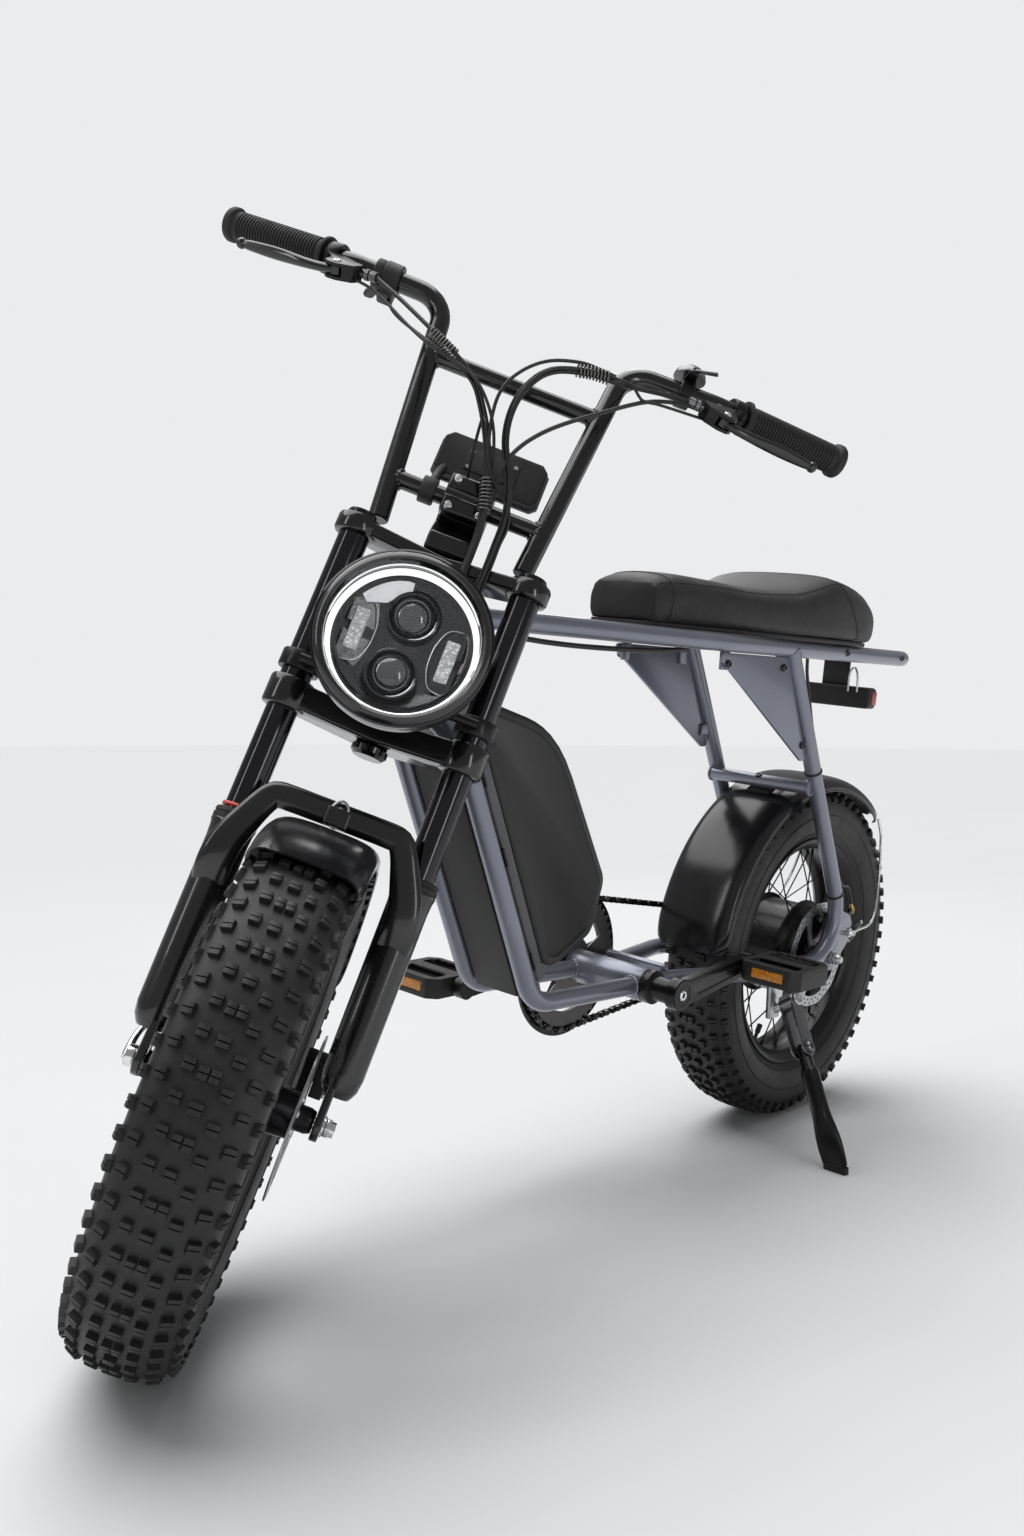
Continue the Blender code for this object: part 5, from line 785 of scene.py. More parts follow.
TYRE = rubber("tyre rubber", (0.0075, 0.0075, 0.008), (0.020, 0.0195, 0.019), 0.48, 0.00010)
GRIP = rubber("grip rubber", (0.010, 0.010, 0.0105), (0.019, 0.0185, 0.018), 0.58, 0.00006)
LEATHER = leather()
RED_RUBBER = rubber("red rubber", (0.62, 0.030, 0.016), (0.70, 0.060, 0.040), 0.34, 0.00003)
THREAD = rubber("seat thread", (0.030, 0.030, 0.031), (0.06, 0.06, 0.06), 0.6, 0.00008)
STEEL = bare_metal("brushed steel", (0.62, 0.62, 0.63), 0.22, (1, 1, 14), 300.0)
CHROME = bare_metal("chrome plate", (0.82, 0.82, 0.83), 0.05, (1, 1, 1), 40.0)
DISC_STEEL = bare_metal("ground disc steel", (0.46, 0.46, 0.47), 0.25, (1, 30, 1), 500.0)
DARK_STEEL = bare_metal("oiled dark steel", (0.16, 0.155, 0.15), 0.30, (1, 1, 1), 500.0)
BRASS = bare_metal("brass", (0.62, 0.42, 0.18), 0.24, (1, 1, 1), 400.0)
PAINT_DOT = moulded_plastic("paint dot", (0.42, 0.60, 0.06), 0.4, 900.0, 0.00003)
CABLE = moulded_plastic("cable sheath", (0.008, 0.008, 0.0085), 0.32, 1800.0, 0.00004)
# The amber pedal reflectors glow a little although they are no lamps: painted glow.
AMBER = pressed_lens("amber reflector", (0.80, 0.29, 0.02), 420.0, 0.12)
RED = pressed_lens("red lens", (0.50, 0.012, 0.010), 300.0, 0.10)
CLEAR_LENS = pressed_lens("clear ribbed lens", (0.78, 0.79, 0.80), 260.0, 0.34)
LENS = dark_glass("projector lens", (0.004, 0.0045, 0.0055), (0.020, 0.022, 0.027), 0.03, 0.0)
# Bright metal for the facet that stands in for a reflection in the lamp's glass: a painted reflection.
PAINTED_REFLECTION_METAL = bare_metal("painted reflection metal", (0.94, 0.94, 0.95), 0.42, (1, 1, 1), 60.0)
DARK_REFLECTOR = dark_glass("dark reflector", (0.003, 0.003, 0.0035), (0.010, 0.010, 0.011), 0.12, 0.5)
GLASS = clear_glass()
WHITE_LIGHT = lit_ring()


def dress(item, name, body, slot, finish, *nodes):
    """Names a piece, gives it its finish and shading, and sets it on its body."""
    item.name = name
    item.data.name = name
    item.data.materials.clear()
    item.data.materials.append(finish)
    item.data.shade_smooth()
    item.data.set_sharp_from_angle(angle=SHARP_EDGE)
    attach(item, body)
    if nodes:
        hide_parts(*nodes)
    return item


def fit_out(place, body, *rows):
    """Sets pieces on one body: each row has a shape, its name, slot, finish and any CAD nodes."""
    for item, name, slot, finish, *nodes in rows:
        dress(placed(item, place), name, body, slot, finish, *nodes)


BIKE = Matrix.Translation(STANCE_PLACE) @ Matrix.Rotation(-LEAN, 4, "X")
FORK_AHEAD = Vector((math.sin(HEAD_ANGLE), 0, math.cos(HEAD_ANGLE)))
FORK_UP = Vector((-math.cos(HEAD_ANGLE), 0, math.sin(HEAD_ANGLE)))
FORK_FOOT = Vector((WHEELBASE, 0, TYRE_RADIUS)) - FORK_OFFSET * FORK_AHEAD
FORK_IN_BIKE = basis(FORK_FOOT, FORK_AHEAD, FORK_UP)
FORK = BIKE @ FORK_IN_BIKE @ Matrix.Rotation(STEERED, 4, "Z")
FRONT_WHEEL = FORK @ Matrix.Translation((FORK_OFFSET, 0, 0))
REAR_WHEEL = BIKE @ Matrix.Translation((0, 0, TYRE_RADIUS))
CRANKS = BIKE @ Matrix.Translation((BRACKET[0], 0, BRACKET[1]))


# Camera, light and floor

CAMERA_PLACE = (1.3142, 1.0093, 0.5836)
CAMERA_YAW = math.radians(221.21)
CAMERA_PITCH = math.radians(-1.616)
CAMERA_ROLL = math.radians(0.11)
CAMERA_LENS = 31.64
FRAME_HEIGHT = 36.0
MIRRORED_SURROUND = 0.16
FLOOR_REACH = 40


def looking(place, heading):
    """The matrix of a camera or a lamp that looks along a heading."""
    return Matrix.Translation(place) @ heading.to_track_quat("-Z", "Y").to_matrix().to_4x4()


def make_camera():
    data = bpy.data.cameras.new("camera")
    data.sensor_fit = "VERTICAL"
    data.sensor_height = FRAME_HEIGHT
    data.lens = CAMERA_LENS
    camera = new_object("camera", data)
    heading = Vector((math.cos(CAMERA_YAW) * math.cos(CAMERA_PITCH),
                      math.sin(CAMERA_YAW) * math.cos(CAMERA_PITCH), math.sin(CAMERA_PITCH)))
    camera.matrix_world = looking(CAMERA_PLACE, heading) @ Matrix.Rotation(CAMERA_ROLL, 4, "Z")
    bpy.context.scene.camera = camera


def soft_light(name, place, aim, width, height, power):
    data = bpy.data.lights.new(name, "AREA")
    data.shape = "RECTANGLE"
    data.size = width
    data.size_y = height
    data.energy = power
    new_object(name, data).matrix_world = looking(place, Vector(aim) - Vector(place))


def make_surround():
    """A plain pale world, which the camera, mirrors and glass see brighter than it lights."""
    world = bpy.data.worlds.new("studio")
    world.use_nodes = True
    bpy.context.scene.world = world
    tree = world.node_tree
    plain = tree.nodes["Background"]
    plain.inputs["Color"].default_value = (0.80, 0.81, 0.83, 1)
    plain.inputs["Strength"].default_value = 0.22
    pale = add_node(tree, "ShaderNodeBackground", (), {"Color": (0.835, 0.84, 0.85, 1), "Strength": 1.0})
    rays = add_node(tree, "ShaderNodeLightPath", (), {})
    seen = add_node(tree, "ShaderNodeMath", {"operation": "MAXIMUM"},
                    {"s0": rays["Is Camera Ray"], "s1": rays["Is Transmission Ray"]})
    share = add_node(tree, "ShaderNodeMath", {"operation": "MULTIPLY_ADD", "use_clamp": True},
                     {"s0": rays["Is Glossy Ray"], "s1": MIRRORED_SURROUND, "s2": seen[0]})
    mixed = add_node(tree, "ShaderNodeMixShader", (),
                     {"s0": share[0], "s1": plain.outputs[0], "s2": pale[0]})
    tree.links.new(mixed[0], tree.nodes["World Output"].inputs["Surface"])


def make_studio():
    """A pale floor, a wide soft sun and three soft lights."""
    corners = [(-FLOOR_REACH, -FLOOR_REACH, 0), (FLOOR_REACH, -FLOOR_REACH, 0),
               (FLOOR_REACH, FLOOR_REACH, 0), (-FLOOR_REACH, FLOOR_REACH, 0)]
    floor = shape(corners, [(0, 1, 2, 3)])
    floor.name = "floor"
    ground = Finish("pale floor", {"Roughness": 0.75, "Specular IOR Level": 0.2})
    ground.feed(Base_Color=ground.blend(ground.noise(1.2, 3.0), (0.745, 0.75, 0.76), (0.775, 0.78, 0.79)))
    floor.data.materials.append(ground.material)
    sun = bpy.data.lights.new("sky", "SUN")
    sun.energy = 2.9
    sun.angle = math.radians(70)
    new_object("sky", sun).matrix_world = Matrix.Rotation(math.radians(14), 4, "X")
    soft_light("key", (2.4, -0.65, 2.0), (0.1, 0, 0.5), 0.3, 1.6, 7.5)
    soft_light("fill", (0.75, 2.8, 0.85), (0.3, 0, 0.45), 0.35, 1.3, 7)
    soft_light("back", (-2.3, -1.6, 2.2), (0, 0, 0.6), 0.4, 1.7, 6)


make_camera()
make_surround()
make_studio()
bpy.context.scene.view_settings.view_transform = "Standard"


# Wheels

def tyre_section():
    """The outside of the tyre from its crown to the rim's lip, as (left, radius)."""
    crown = TYRE_RADIUS - KNOB_HEIGHT
    height = crown - RIM_RADIUS
    spots = ((0, 0), (0.245, 0.002), (0.61, 0.035), (0.80, 0.10), (0.91, 0.175), (0.98, 0.33),
             (1, 0.47), (0.985, 0.62), (0.93, 0.78), (0.85, 0.90), (0.74, 0.985))
    path = curve_through([(left * TYRE_HALF_WIDTH, 0, crown - drop * height)
                          for left, drop in spots], 0.0035)
    return [(spot.x, spot.z) for spot in path]


def carcass():
    """The tyre's body, its beads tucked into the rim, with two moulded lines on each wall."""
    section = tyre_section()
    side = section + [(0.0358, RIM_BED + 0.004), (0.0358, RIM_BED + 0.0005)]
    parts = [lathe([(-left, radius) for left, radius in reversed(side[1:])] + side, WHEEL_STEPS)]
    for share in (0.66, 0.90):
        left, radius = section[round(share * (len(section) - 1))]
        for hand in HANDS:
            line = [(hand * left + 0.0011 * math.cos(turn), radius + 0.0011 * math.sin(turn))
                    for turn in (0.0, 1.57, 3.14, 4.71)]
            parts.append(lathe(line, WHEEL_STEPS))
    return joined(*parts)


def lug(length, width):
    """A tread block with chamfered walls and a thin slit across its top, X along the tread."""
    height = KNOB_HEIGHT + 0.0015
    half = length / 2
    profile = [(-half, 0), (-half * 0.90, height * 0.86), (-half * 0.80, height),
               (-0.0006, height), (0, height * 0.62), (0.0006, height), (half * 0.80, height),
               (half * 0.90, height * 0.86), (half, 0)]
    wall = width / 2
    rings = []
    for level, inset in ((-wall, 0.55), (-wall * 0.86, 1.0), (wall * 0.86, 1.0), (wall, 0.55)):
        rings.append([(along, level, up if up < height * 0.7 else height * (0.86 + 0.14 * inset))
                      for along, up in profile])
    return lofted(rings)


def lug_place(share, hand):
    """Where a column of tread blocks stands on the tyre, at the top of the wheel."""
    section = tyre_section()
    index = round(share * (len(section) - 1))
    left, radius = section[index]
    before = section[max(index - 1, 0)]
    after = section[index + 1]
    normal = Vector((0, -(after[1] - before[1]), after[0] - before[0])).normalized()
    normal.y *= hand
    return basis((0, hand * left, radius), (1, 0, 0), normal) @ Matrix.Translation((0, 0, -0.0015))


TREAD_PITCHES = 60
TREAD_COLUMNS = (
    (0.165, 0.38, 0.0105, 0.0095), (0.315, -0.12, 0.0105, 0.0105), (0.445, 0.02, 0.0110, 0.0090),
)


def make_tread():
    """Staggered columns of blocks: pairs and singles down the middle, three columns each side."""
    pitch = 2 * math.pi / TREAD_PITCHES
    columns = []
    for hand in HANDS:
        for share, phase, length, width in TREAD_COLUMNS:
            block_here = placed(lug(length, width), lug_place(share, hand))
            start = (phase + 0.5 * (hand < 0)) * pitch
            columns.append(repeated(block_here, TREAD_PITCHES, TYRE, start=start))
        pair = shifted(placed(lug(0.0115, 0.0078), lug_place(0.0, 1)), (0, hand * 0.0048, 0))
        columns.append(repeated(pair, TREAD_PITCHES // 2, TYRE))
    single = placed(lug(0.0105, 0.0105), lug_place(0.0, 1))
    columns.append(repeated(single, TREAD_PITCHES // 2, TYRE, start=pitch))
    return joined(*columns)


def make_rim():
    """A wide alloy rim: hooked flanges, a box section and a shallow channel inside."""
    half = RIM_HALF_WIDTH
    outer = [(half - 0.0038, RIM_BED), (half - 0.0036, RIM_RADIUS - 0.001), (half - 0.0026, RIM_RADIUS),
             (half - 0.0008, RIM_RADIUS - 0.0004), (half, RIM_RADIUS - 0.0022),
             (half - 0.001, RIM_RADIUS - 0.005), (half * 0.80, RIM_INNER + 0.003),
             (half * 0.70, RIM_INNER), (half * 0.34, RIM_INNER + 0.0005),
             (half * 0.28, RIM_INNER + 0.0022)]
    return lathe(both_edges(outer), WHEEL_STEPS)


SPOKES = 36
SPOKE_RADIUS = 0.0011


def spoke(side, lead, flange_y, flange_radius, cross, stagger):
    """One spoke from its bent head in the flange to its nipple in the rim, rim end on top."""
    hub_angle = math.pi / 2 + lead * cross
    hub_y = side * (flange_y + lead * 0.0022)
    start = Vector((flange_radius * math.cos(hub_angle), hub_y, flange_radius * math.sin(hub_angle)))
    end = Vector((0, side * (0.010 + lead * stagger), RIM_INNER + 0.001))
    along = (end - start).normalized()
    head = rod(start - Vector((0, side * lead * 0.0035, 0)), start, 0.0019, 6)
    nipple = rod(end - along * 0.012, end, 0.0021, 6)
    return joined(tube([start, end], SPOKE_RADIUS, 6), head, nipple)


def spoke_set(flange_y, flange_radius, cross, stagger):
    """All spokes of a wheel, in four sets: both sides, leading and trailing."""
    sets = []
    for index, (side, lead) in enumerate(((1, 1), (-1, 1), (1, -1), (-1, -1))):
        one = spoke(side, lead, flange_y, flange_radius, cross, stagger)
        sets.append(repeated(one, SPOKES // 4, SATIN, start=2 * math.pi * index / SPOKES))
    return joined(*sets)


def disc_bolts(face):
    """Six button heads that hold a brake disc, drawn at the disc's outer face."""
    head = lathe([(face, 0.0), (face, 0.0042), (face + 0.0014, 0.0036), (face + 0.0022, 0.0019),
                  (face + 0.0010, 0.0016), (face + 0.0010, 0.0)], 12)
    return repeated(shifted(head, (0, 0, 0.0178)), 6, STEEL, start=0.3)


ROTOR_WAVE = 0.0007
ROTOR_SLOTS = 36


def make_rotor(middle):
    """A brake disc: a waved band drilled with slots, on six swept arms."""
    low = middle - ROTOR_THICKNESS / 2
    high = middle + ROTOR_THICKNESS / 2
    edge = []
    for turn in around(96):
        reach = ROTOR_RADIUS - ROTOR_WAVE * (1 + math.cos(12 * turn))
        edge.append((reach * math.cos(turn), reach * math.sin(turn)))
    disc = prism(edge, low, high)
    windows = []
    for arm in range(6):
        turn = 60 * arm
        corners = arc((0, 0), 0.0648, turn + 6, turn + 52, 3) + arc((0, 0), 0.027, turn + 24, turn - 12, 2)
        windows.append(prism(eased_outline(corners, 0.003, 3), low - 0.01, high + 0.01))
    slots = []
    for radius, phase in ((0.0695, 0.0), (0.0750, 0.5)):
        for index in range(ROTOR_SLOTS):
            turn = 2 * math.pi * (index + phase) / ROTOR_SLOTS
            slot = prism(belt((-0.0011, radius), 0.00125, (0.0011, radius), 0.0012499, 3),
                         low - 0.01, high + 0.01)
            slots.append(placed(slot, Matrix.Rotation(turn, 4, "Y")))
    centre = rod((0, low - 0.01, 0), (0, high + 0.01, 0), HUB_NOSE + 0.0004, 24)
    return cut(disc, joined(*windows, centre), joined(*slots))


def hub_shell(profile):
    return softened(lathe(profile, 72), 0.0012, 2, 25)


def front_hub():
    end = 0.0834
    face = FRONT_ROTOR_Y - ROTOR_THICKNESS / 2 - FIT
    return hub_shell([
        (-end, 0.0062), (-end, 0.0105), (-0.070, HUB_NOSE), (-0.046, 0.015), (-0.0405, 0.0185),
        (-0.038, 0.030), (-0.033, 0.030), (-0.030, 0.020), (-0.020, 0.0168), (0.020, 0.0168),
        (0.030, 0.020), (0.033, 0.030), (0.038, 0.030), (0.041, 0.024), (face, 0.022),
        (face, HUB_NOSE), (end - 0.006, HUB_NOSE), (end, 0.0105), (end, 0.0062)])


def rear_hub():
    """The hub motor: a plain drum between two dished covers."""
    end = 0.0694
    half = 0.046
    drum = 0.070
    face = REAR_ROTOR_Y - ROTOR_THICKNESS / 2 - FIT
    return hub_shell([
        (-end, 0.0062), (-end, 0.0105), (-0.062, HUB_NOSE), (-0.0595, 0.020), (-half - 0.005, 0.024),
        (-half - 0.003, 0.050), (-half, drum - 0.009), (-half + 0.010, drum - 0.002),
        (-half + 0.012, drum + 0.007), (-half + 0.016, drum + 0.007), (-half + 0.018, drum),
        (half - 0.018, drum), (half - 0.016, drum + 0.007), (half - 0.012, drum + 0.007),
        (half - 0.010, drum - 0.002), (half, drum - 0.009), (half + 0.003, 0.050),
        (half + 0.005, 0.024), (face, 0.022), (face, HUB_NOSE), (end - 0.005, HUB_NOSE),
        (end, 0.0105), (end, 0.0062)])


def cover_bolts():
    """The ring of screws round each cover of the hub motor."""
    rings = []
    for hand in HANDS:
        profile = ((-0.001, 0.0), (-0.001, 0.0034), (0.0018, 0.0034), (0.0026, 0.0026), (0.0026, 0.0))
        head = lathe([(hand * 0.0475 + hand * out, radius) for out, radius in profile], 12)
        rings.append(repeated(shifted(head, (0, 0, 0.0535)), 9, STEEL, start=0.2))
    return joined(*rings)


def valve():
    """A tyre valve: its stem through the rim and its cap among the spokes."""
    stem = rod((0.03, 0, RIM_INNER - 0.026), (0.03, 0, RIM_INNER + 0.002), 0.003, 12)
    cap = rod((0.03, 0, RIM_INNER - 0.036), (0.03, 0, RIM_INNER - 0.022), 0.0042, 12, 0.001)
    return placed(joined(stem, cap), Matrix.Rotation(2.6, 4, "Y"))


def make_wheel(place, end, rotor_y):
    """Everything that both wheels have."""
    fit_out(place, end + "_wheel",
            (carcass(), end + "_tyre_carcass", "tyre", TYRE, end + "_tyre"),
            (make_tread(), end + "_tyre_tread", "tyre", TYRE),
            (make_rim(), end + "_rim_alloy", "alloy_black", SATIN, end + "_rim"),
            (make_rotor(rotor_y), end + "_disc_drilled", "steel", DISC_STEEL, end + "_brake_disc"),
            (disc_bolts(rotor_y + ROTOR_THICKNESS / 2), end + "_disc_bolts", "steel", STEEL),
            (valve(), end + "_valve", "rubber", GRIP))


make_wheel(FRONT_WHEEL, "front", FRONT_ROTOR_Y)
make_wheel(REAR_WHEEL, "rear", REAR_ROTOR_Y)
fit_out(FRONT_WHEEL, "front_wheel",
        (front_hub(), "front_hub_shell", "dark_steel", ANODISED, "front_hub"),
        (spoke_set(0.0355, 0.0265, math.radians(52), 0.0034), "front_spokes", "dark_steel", SATIN))
fit_out(REAR_WHEEL, "rear_wheel",
        (rear_hub(), "motor_shell", "satin_black", SATIN, "rear_hub_motor"),
        (spoke_set(0.032, 0.0735, math.radians(14), 0.003), "rear_spokes", "dark_steel", SATIN),
        (cover_bolts(), "motor_cover_bolts", "steel", STEEL))


# Frame

def frame_side_path():
    """One side tube: head, down, along the bottom, round the rear bend and up to the rail."""
    front = FRONT_HALF_SPACING
    rear = RAIL_HALF_SPACING
    slope = (FRONT_CORNER[1] - REAR_CORNER[1]) / (FRONT_CORNER[0] - REAR_CORNER[0])
    narrow_x = BRACKET[0] - 0.075
    wide_x = BRACKET[0] - 0.215
    corners = [
        FORK_IN_BIKE @ Vector((0, HEAD_TUBE_RADIUS / 2, LOWER_CROWN[1] + 0.045)),
        (DOWN_TUBE_TOP[0], front, DOWN_TUBE_TOP[1]),
        (FRONT_CORNER[0], front, FRONT_CORNER[1]),
        (narrow_x, front, FRONT_CORNER[1] - slope * (FRONT_CORNER[0] - narrow_x)),
        (wide_x, rear, FRONT_CORNER[1] - slope * (FRONT_CORNER[0] - wide_x)),
        (REAR_CORNER[0], rear, REAR_CORNER[1]),
        (UPRIGHT_TOP_X, rear, RAIL_HEIGHT),
    ]
    return rounded(corners, (0.035, 0.050, 0.05, 0.05, REAR_BEND_RADIUS))


def seat_loop_path():
    """The twin top tubes and seat rails, one bar from the head round the rear and back."""
    half = RAIL_HALF_SPACING
    head = FORK_IN_BIKE @ Vector((0, HEAD_TUBE_RADIUS / 2, UPPER_CROWN[0] - 0.038))
    corners = [head, (RAIL_SPREAD_X, half, RAIL_HEIGHT), (LOOP_REAR, half, RAIL_HEIGHT),
               (LOOP_REAR, -half, RAIL_HEIGHT), (RAIL_SPREAD_X, -half, RAIL_HEIGHT),
               (head[0], -head[1], head[2])]
    return rounded(corners, (0.12, half - 0.002, half - 0.002, 0.12), 12)


def head_tube():
    low = LOWER_CROWN[1] + RUNNING
    high = UPPER_CROWN[0] - RUNNING
    half = [(low, 0.0146), (low, HEAD_CUP_RADIUS - 0.001), (low + 0.001, HEAD_CUP_RADIUS),
            (low + 0.005, HEAD_CUP_RADIUS), (low + 0.0055, HEAD_CUP_RADIUS - 0.0008),
            (low + 0.006, HEAD_CUP_RADIUS), (low + 0.010, HEAD_CUP_RADIUS - 0.0006),
            (low + 0.014, HEAD_TUBE_RADIUS + 0.0015), (low + 0.020, HEAD_TUBE_RADIUS)]
    middle = low + high
    return placed(lathe(half + [(middle - place, radius) for place, radius in reversed(half)], 48, "Z"),
                  FORK_IN_BIKE)


def weld(root, heading, radius, host, host_heading, host_radius):
    """The rippled bead where a tube ends on the round side of another one."""
    heading = Vector(heading).normalized()
    along = Vector(host_heading).normalized()
    root = Vector(root)
    side = heading.cross(along).normalized()
    other = heading.cross(side)
    steps = 44
    spots = []
    for angle in around(steps):
        edge = root + radius * (math.cos(angle) * side + math.sin(angle) * other)
        gap = edge - Vector(host)
        gap -= along * gap.dot(along)
        run = heading - along * heading.dot(along)
        back = gap.dot(run) / run.length_squared
        rest = gap - run * back
        reach = max(host_radius ** 2 - rest.length_squared, 1e-9)
        spots.append(edge + heading * (math.sqrt(reach / run.length_squared) - back))
    return tube(spots, 0.002, 8, closed=True, radii=[0.0017, 0.0024] * (steps // 2))


def frame_welds():
    """Beads at the head tube, the seat rails, the bottom bracket and the cross tube."""
    beads = []
    side = frame_side_path()
    loop = seat_loop_path()
    for hand in HANDS:
        flip = Vector((1, hand, 1))
        top = side[-1] * flip
        beads.append(weld(top, (side[-2] - side[-1]) * flip, TUBE_RADIUS, top, (1, 0, 0), TUBE_RADIUS))
        for start, on in ((side[0], side[1]), (loop[0], loop[1])):
            beads.append(weld(start * flip, (on - start) * flip, TUBE_RADIUS,
                              FORK_IN_BIKE @ Vector((0, 0, 0)), FORK_UP, HEAD_TUBE_RADIUS))
        upright = side[-1] - side[-2]
        beads.append(weld((CROSS_TUBE[0], hand * RAIL_HALF_SPACING, CROSS_TUBE[1]), (0, -hand, 0),
                          CROSS_TUBE_RADIUS, top, upright * flip, TUBE_RADIUS))
        bottom = Vector((FRONT_CORNER[0] - REAR_CORNER[0], 0, FRONT_CORNER[1] - REAR_CORNER[1]))
        share = (BRACKET[0] - REAR_CORNER[0]) / bottom.x
        crossing = (BRACKET[0], hand * FRONT_HALF_SPACING, REAR_CORNER[1] + share * bottom.z)
        for heading in (bottom, -bottom):
            beads.append(weld(crossing, heading, TUBE_RADIUS, (BRACKET[0], 0, BRACKET[1]), (0, 1, 0),
                              BRACKET_RADIUS))
    return joined(*beads)


def rear_bend_centre():
    corner = Vector(REAR_CORNER)
    up = (Vector((UPRIGHT_TOP_X, RAIL_HEIGHT)) - corner).normalized()
    on = (Vector(FRONT_CORNER) - corner).normalized()
    return corner + (up + on).normalized() * (REAR_BEND_RADIUS / math.sin(up.angle(on) / 2))


def dropout(hand):
    """The plate that hangs from the rear bend and holds the axle and the brake."""
    inner = arc(rear_bend_centre(), REAR_BEND_RADIUS, 178, 262, 14)
    outline = inner + arc((0, TYRE_RADIUS), 0.0195, 300, 205, 10)
    outline += [(-0.050, TYRE_RADIUS + 0.022), (-0.054, TYRE_RADIUS + 0.034),
                (-0.054, TYRE_RADIUS + 0.048), (-0.046, TYRE_RADIUS + 0.059),
                (-0.038, TYRE_RADIUS + 0.064), (-0.018, TYRE_RADIUS + 0.070)]
    middle = hand * RAIL_HALF_SPACING
    half = DROPOUT_THICKNESS / 2
    made = prism(outline, middle - half, middle + half)
    hole = rod((0, middle - 0.02, TYRE_RADIUS), (0, middle + 0.02, TYRE_RADIUS), AXLE_HOLE, 24)
    return softened(cut(made, hole), 0.0008, 2)


def slant():
    return Vector((UPRIGHT_TOP_X - REAR_CORNER[0], RAIL_HEIGHT - REAR_CORNER[1])).normalized()


GUSSET_HALF = 0.002


def gusset_corners():
    """The corner plate's outline and its three bolts, as in the CAD source."""
    gap = TUBE_RADIUS + FIT
    upper_z = RAIL_HEIGHT - gap - 0.0005
    edge = Vector((UPRIGHT_TOP_X, RAIL_HEIGHT)) + Vector((slant().y, -slant().x)) * gap
    upper = edge - slant() * ((edge.y - upper_z + 0.002) / slant().y)
    lower = upper - slant() * 0.155
    outline = [(upper.x, upper_z), (upper.x + 0.166, upper_z), (upper.x + 0.1665, upper_z - 0.010),
               (lower.x + 0.017, lower.y - 0.005), (lower.x + 0.001, lower.y - 0.004)]
    bolts = [(upper.x + 0.152, upper_z - 0.014), (upper.x + 0.014, upper_z - 0.014),
             (lower.x + 0.019, lower.y + 0.017)]
    return outline, bolts


def gusset_plate(hand):
    middle = RAIL_HALF_SPACING
    outline = eased_outline(gusset_corners()[0], 0.0075)
    return on_side(softened(prism(outline, middle - GUSSET_HALF, middle + GUSSET_HALF), 0.0007, 2), hand)


def socket_bolt(place, heading, radius=0.0052, height=0.0042):
    """A domed socket-head bolt with its hexagon hole, standing on a face."""
    profile = [(0, 0), (0, radius), (height * 0.55, radius), (height, radius * 0.72),
               (height, radius * 0.45), (height * 0.35, radius * 0.42), (height * 0.35, 0)]
    head = softened(lathe(profile, 24, "Z"), radius * 0.07, 2, 50)
    side = Vector(heading).orthogonal()
    return placed(head, basis(place, side, heading))


def gusset_bolts(hand):
    level = hand * (RAIL_HALF_SPACING + GUSSET_HALF)
    return joined(*[socket_bolt((ahead, level, height), (0, hand, 0))
                    for ahead, height in gusset_corners()[1]])


def frame_ears(hand):
    """The welded ears behind the gusset plate, one for each of its bolts."""
    back = RAIL_HALF_SPACING - GUSSET_HALF - FIT
    front, rear, low = gusset_corners()[1]
    rail_z = RAIL_HEIGHT - TUBE_RADIUS * 0.6
    tube_point = Vector(low) + Vector((-slant().y, slant().x)) * (TUBE_RADIUS + 0.008)
    outlines = [
        [(front[0] - 0.012, rail_z), (front[0] + 0.008, rail_z), (front[0] + 0.007, front[1] - 0.008),
         (front[0] - 0.008, front[1] - 0.008)],
        [(rear[0] - 0.008, rail_z), (rear[0] + 0.010, rail_z), (rear[0] + 0.008, rear[1] - 0.008),
         (rear[0] - 0.008, rear[1] - 0.008)],
        [(low[0] + 0.008, low[1] - 0.006), (low[0] + 0.008, low[1] + 0.010),
         (tube_point.x, tube_point.y + 0.006), (tube_point.x, tube_point.y - 0.012)]]
    ears = [softened(prism(outline, back - 0.004, back), 0.0008, 2) for outline in outlines]
    return on_side(joined(*ears), hand)


KICKSTAND_PIVOT = Vector((0.150, 0.107, 0.214))
KICKSTAND_AXIS = Vector((0.029943, 0.824737, 0.564722))


def kickstand_mount():
    """The tab under the left tube, and the pin that the kickstand turns on."""
    pivot = KICKSTAND_PIVOT
    root = pivot - KICKSTAND_AXIS * 0.031
    tab = prism([(pivot.x - 0.020, BRACKET[1] - 0.010), (pivot.x + 0.022, BRACKET[1] - 0.008),
                 (pivot.x + 0.013, root.z - 0.011), (pivot.x - 0.012, root.z - 0.011)],
                root.y - 0.004, root.y + 0.004)
    pin = rod(root, pivot + KICKSTAND_AXIS * 0.0136, 0.006, 24)
    cap = socket_bolt(pivot + KICKSTAND_AXIS * 0.0126, KICKSTAND_AXIS, 0.009, 0.0035)
    return joined(softened(tab, 0.0015, 2), pin, cap)


def rail_screws():
    """The screws let into the seat rails, two on each side."""
    heads = []
    for hand in HANDS:
        for ahead in (0.070, -0.104):
            spot = (ahead, hand * (RAIL_HALF_SPACING + TUBE_RADIUS - 0.0012), RAIL_HEIGHT + 0.001)
            heads.append(socket_bolt(spot, (0, hand, 0), 0.0050, 0.0034))
    return joined(*heads)


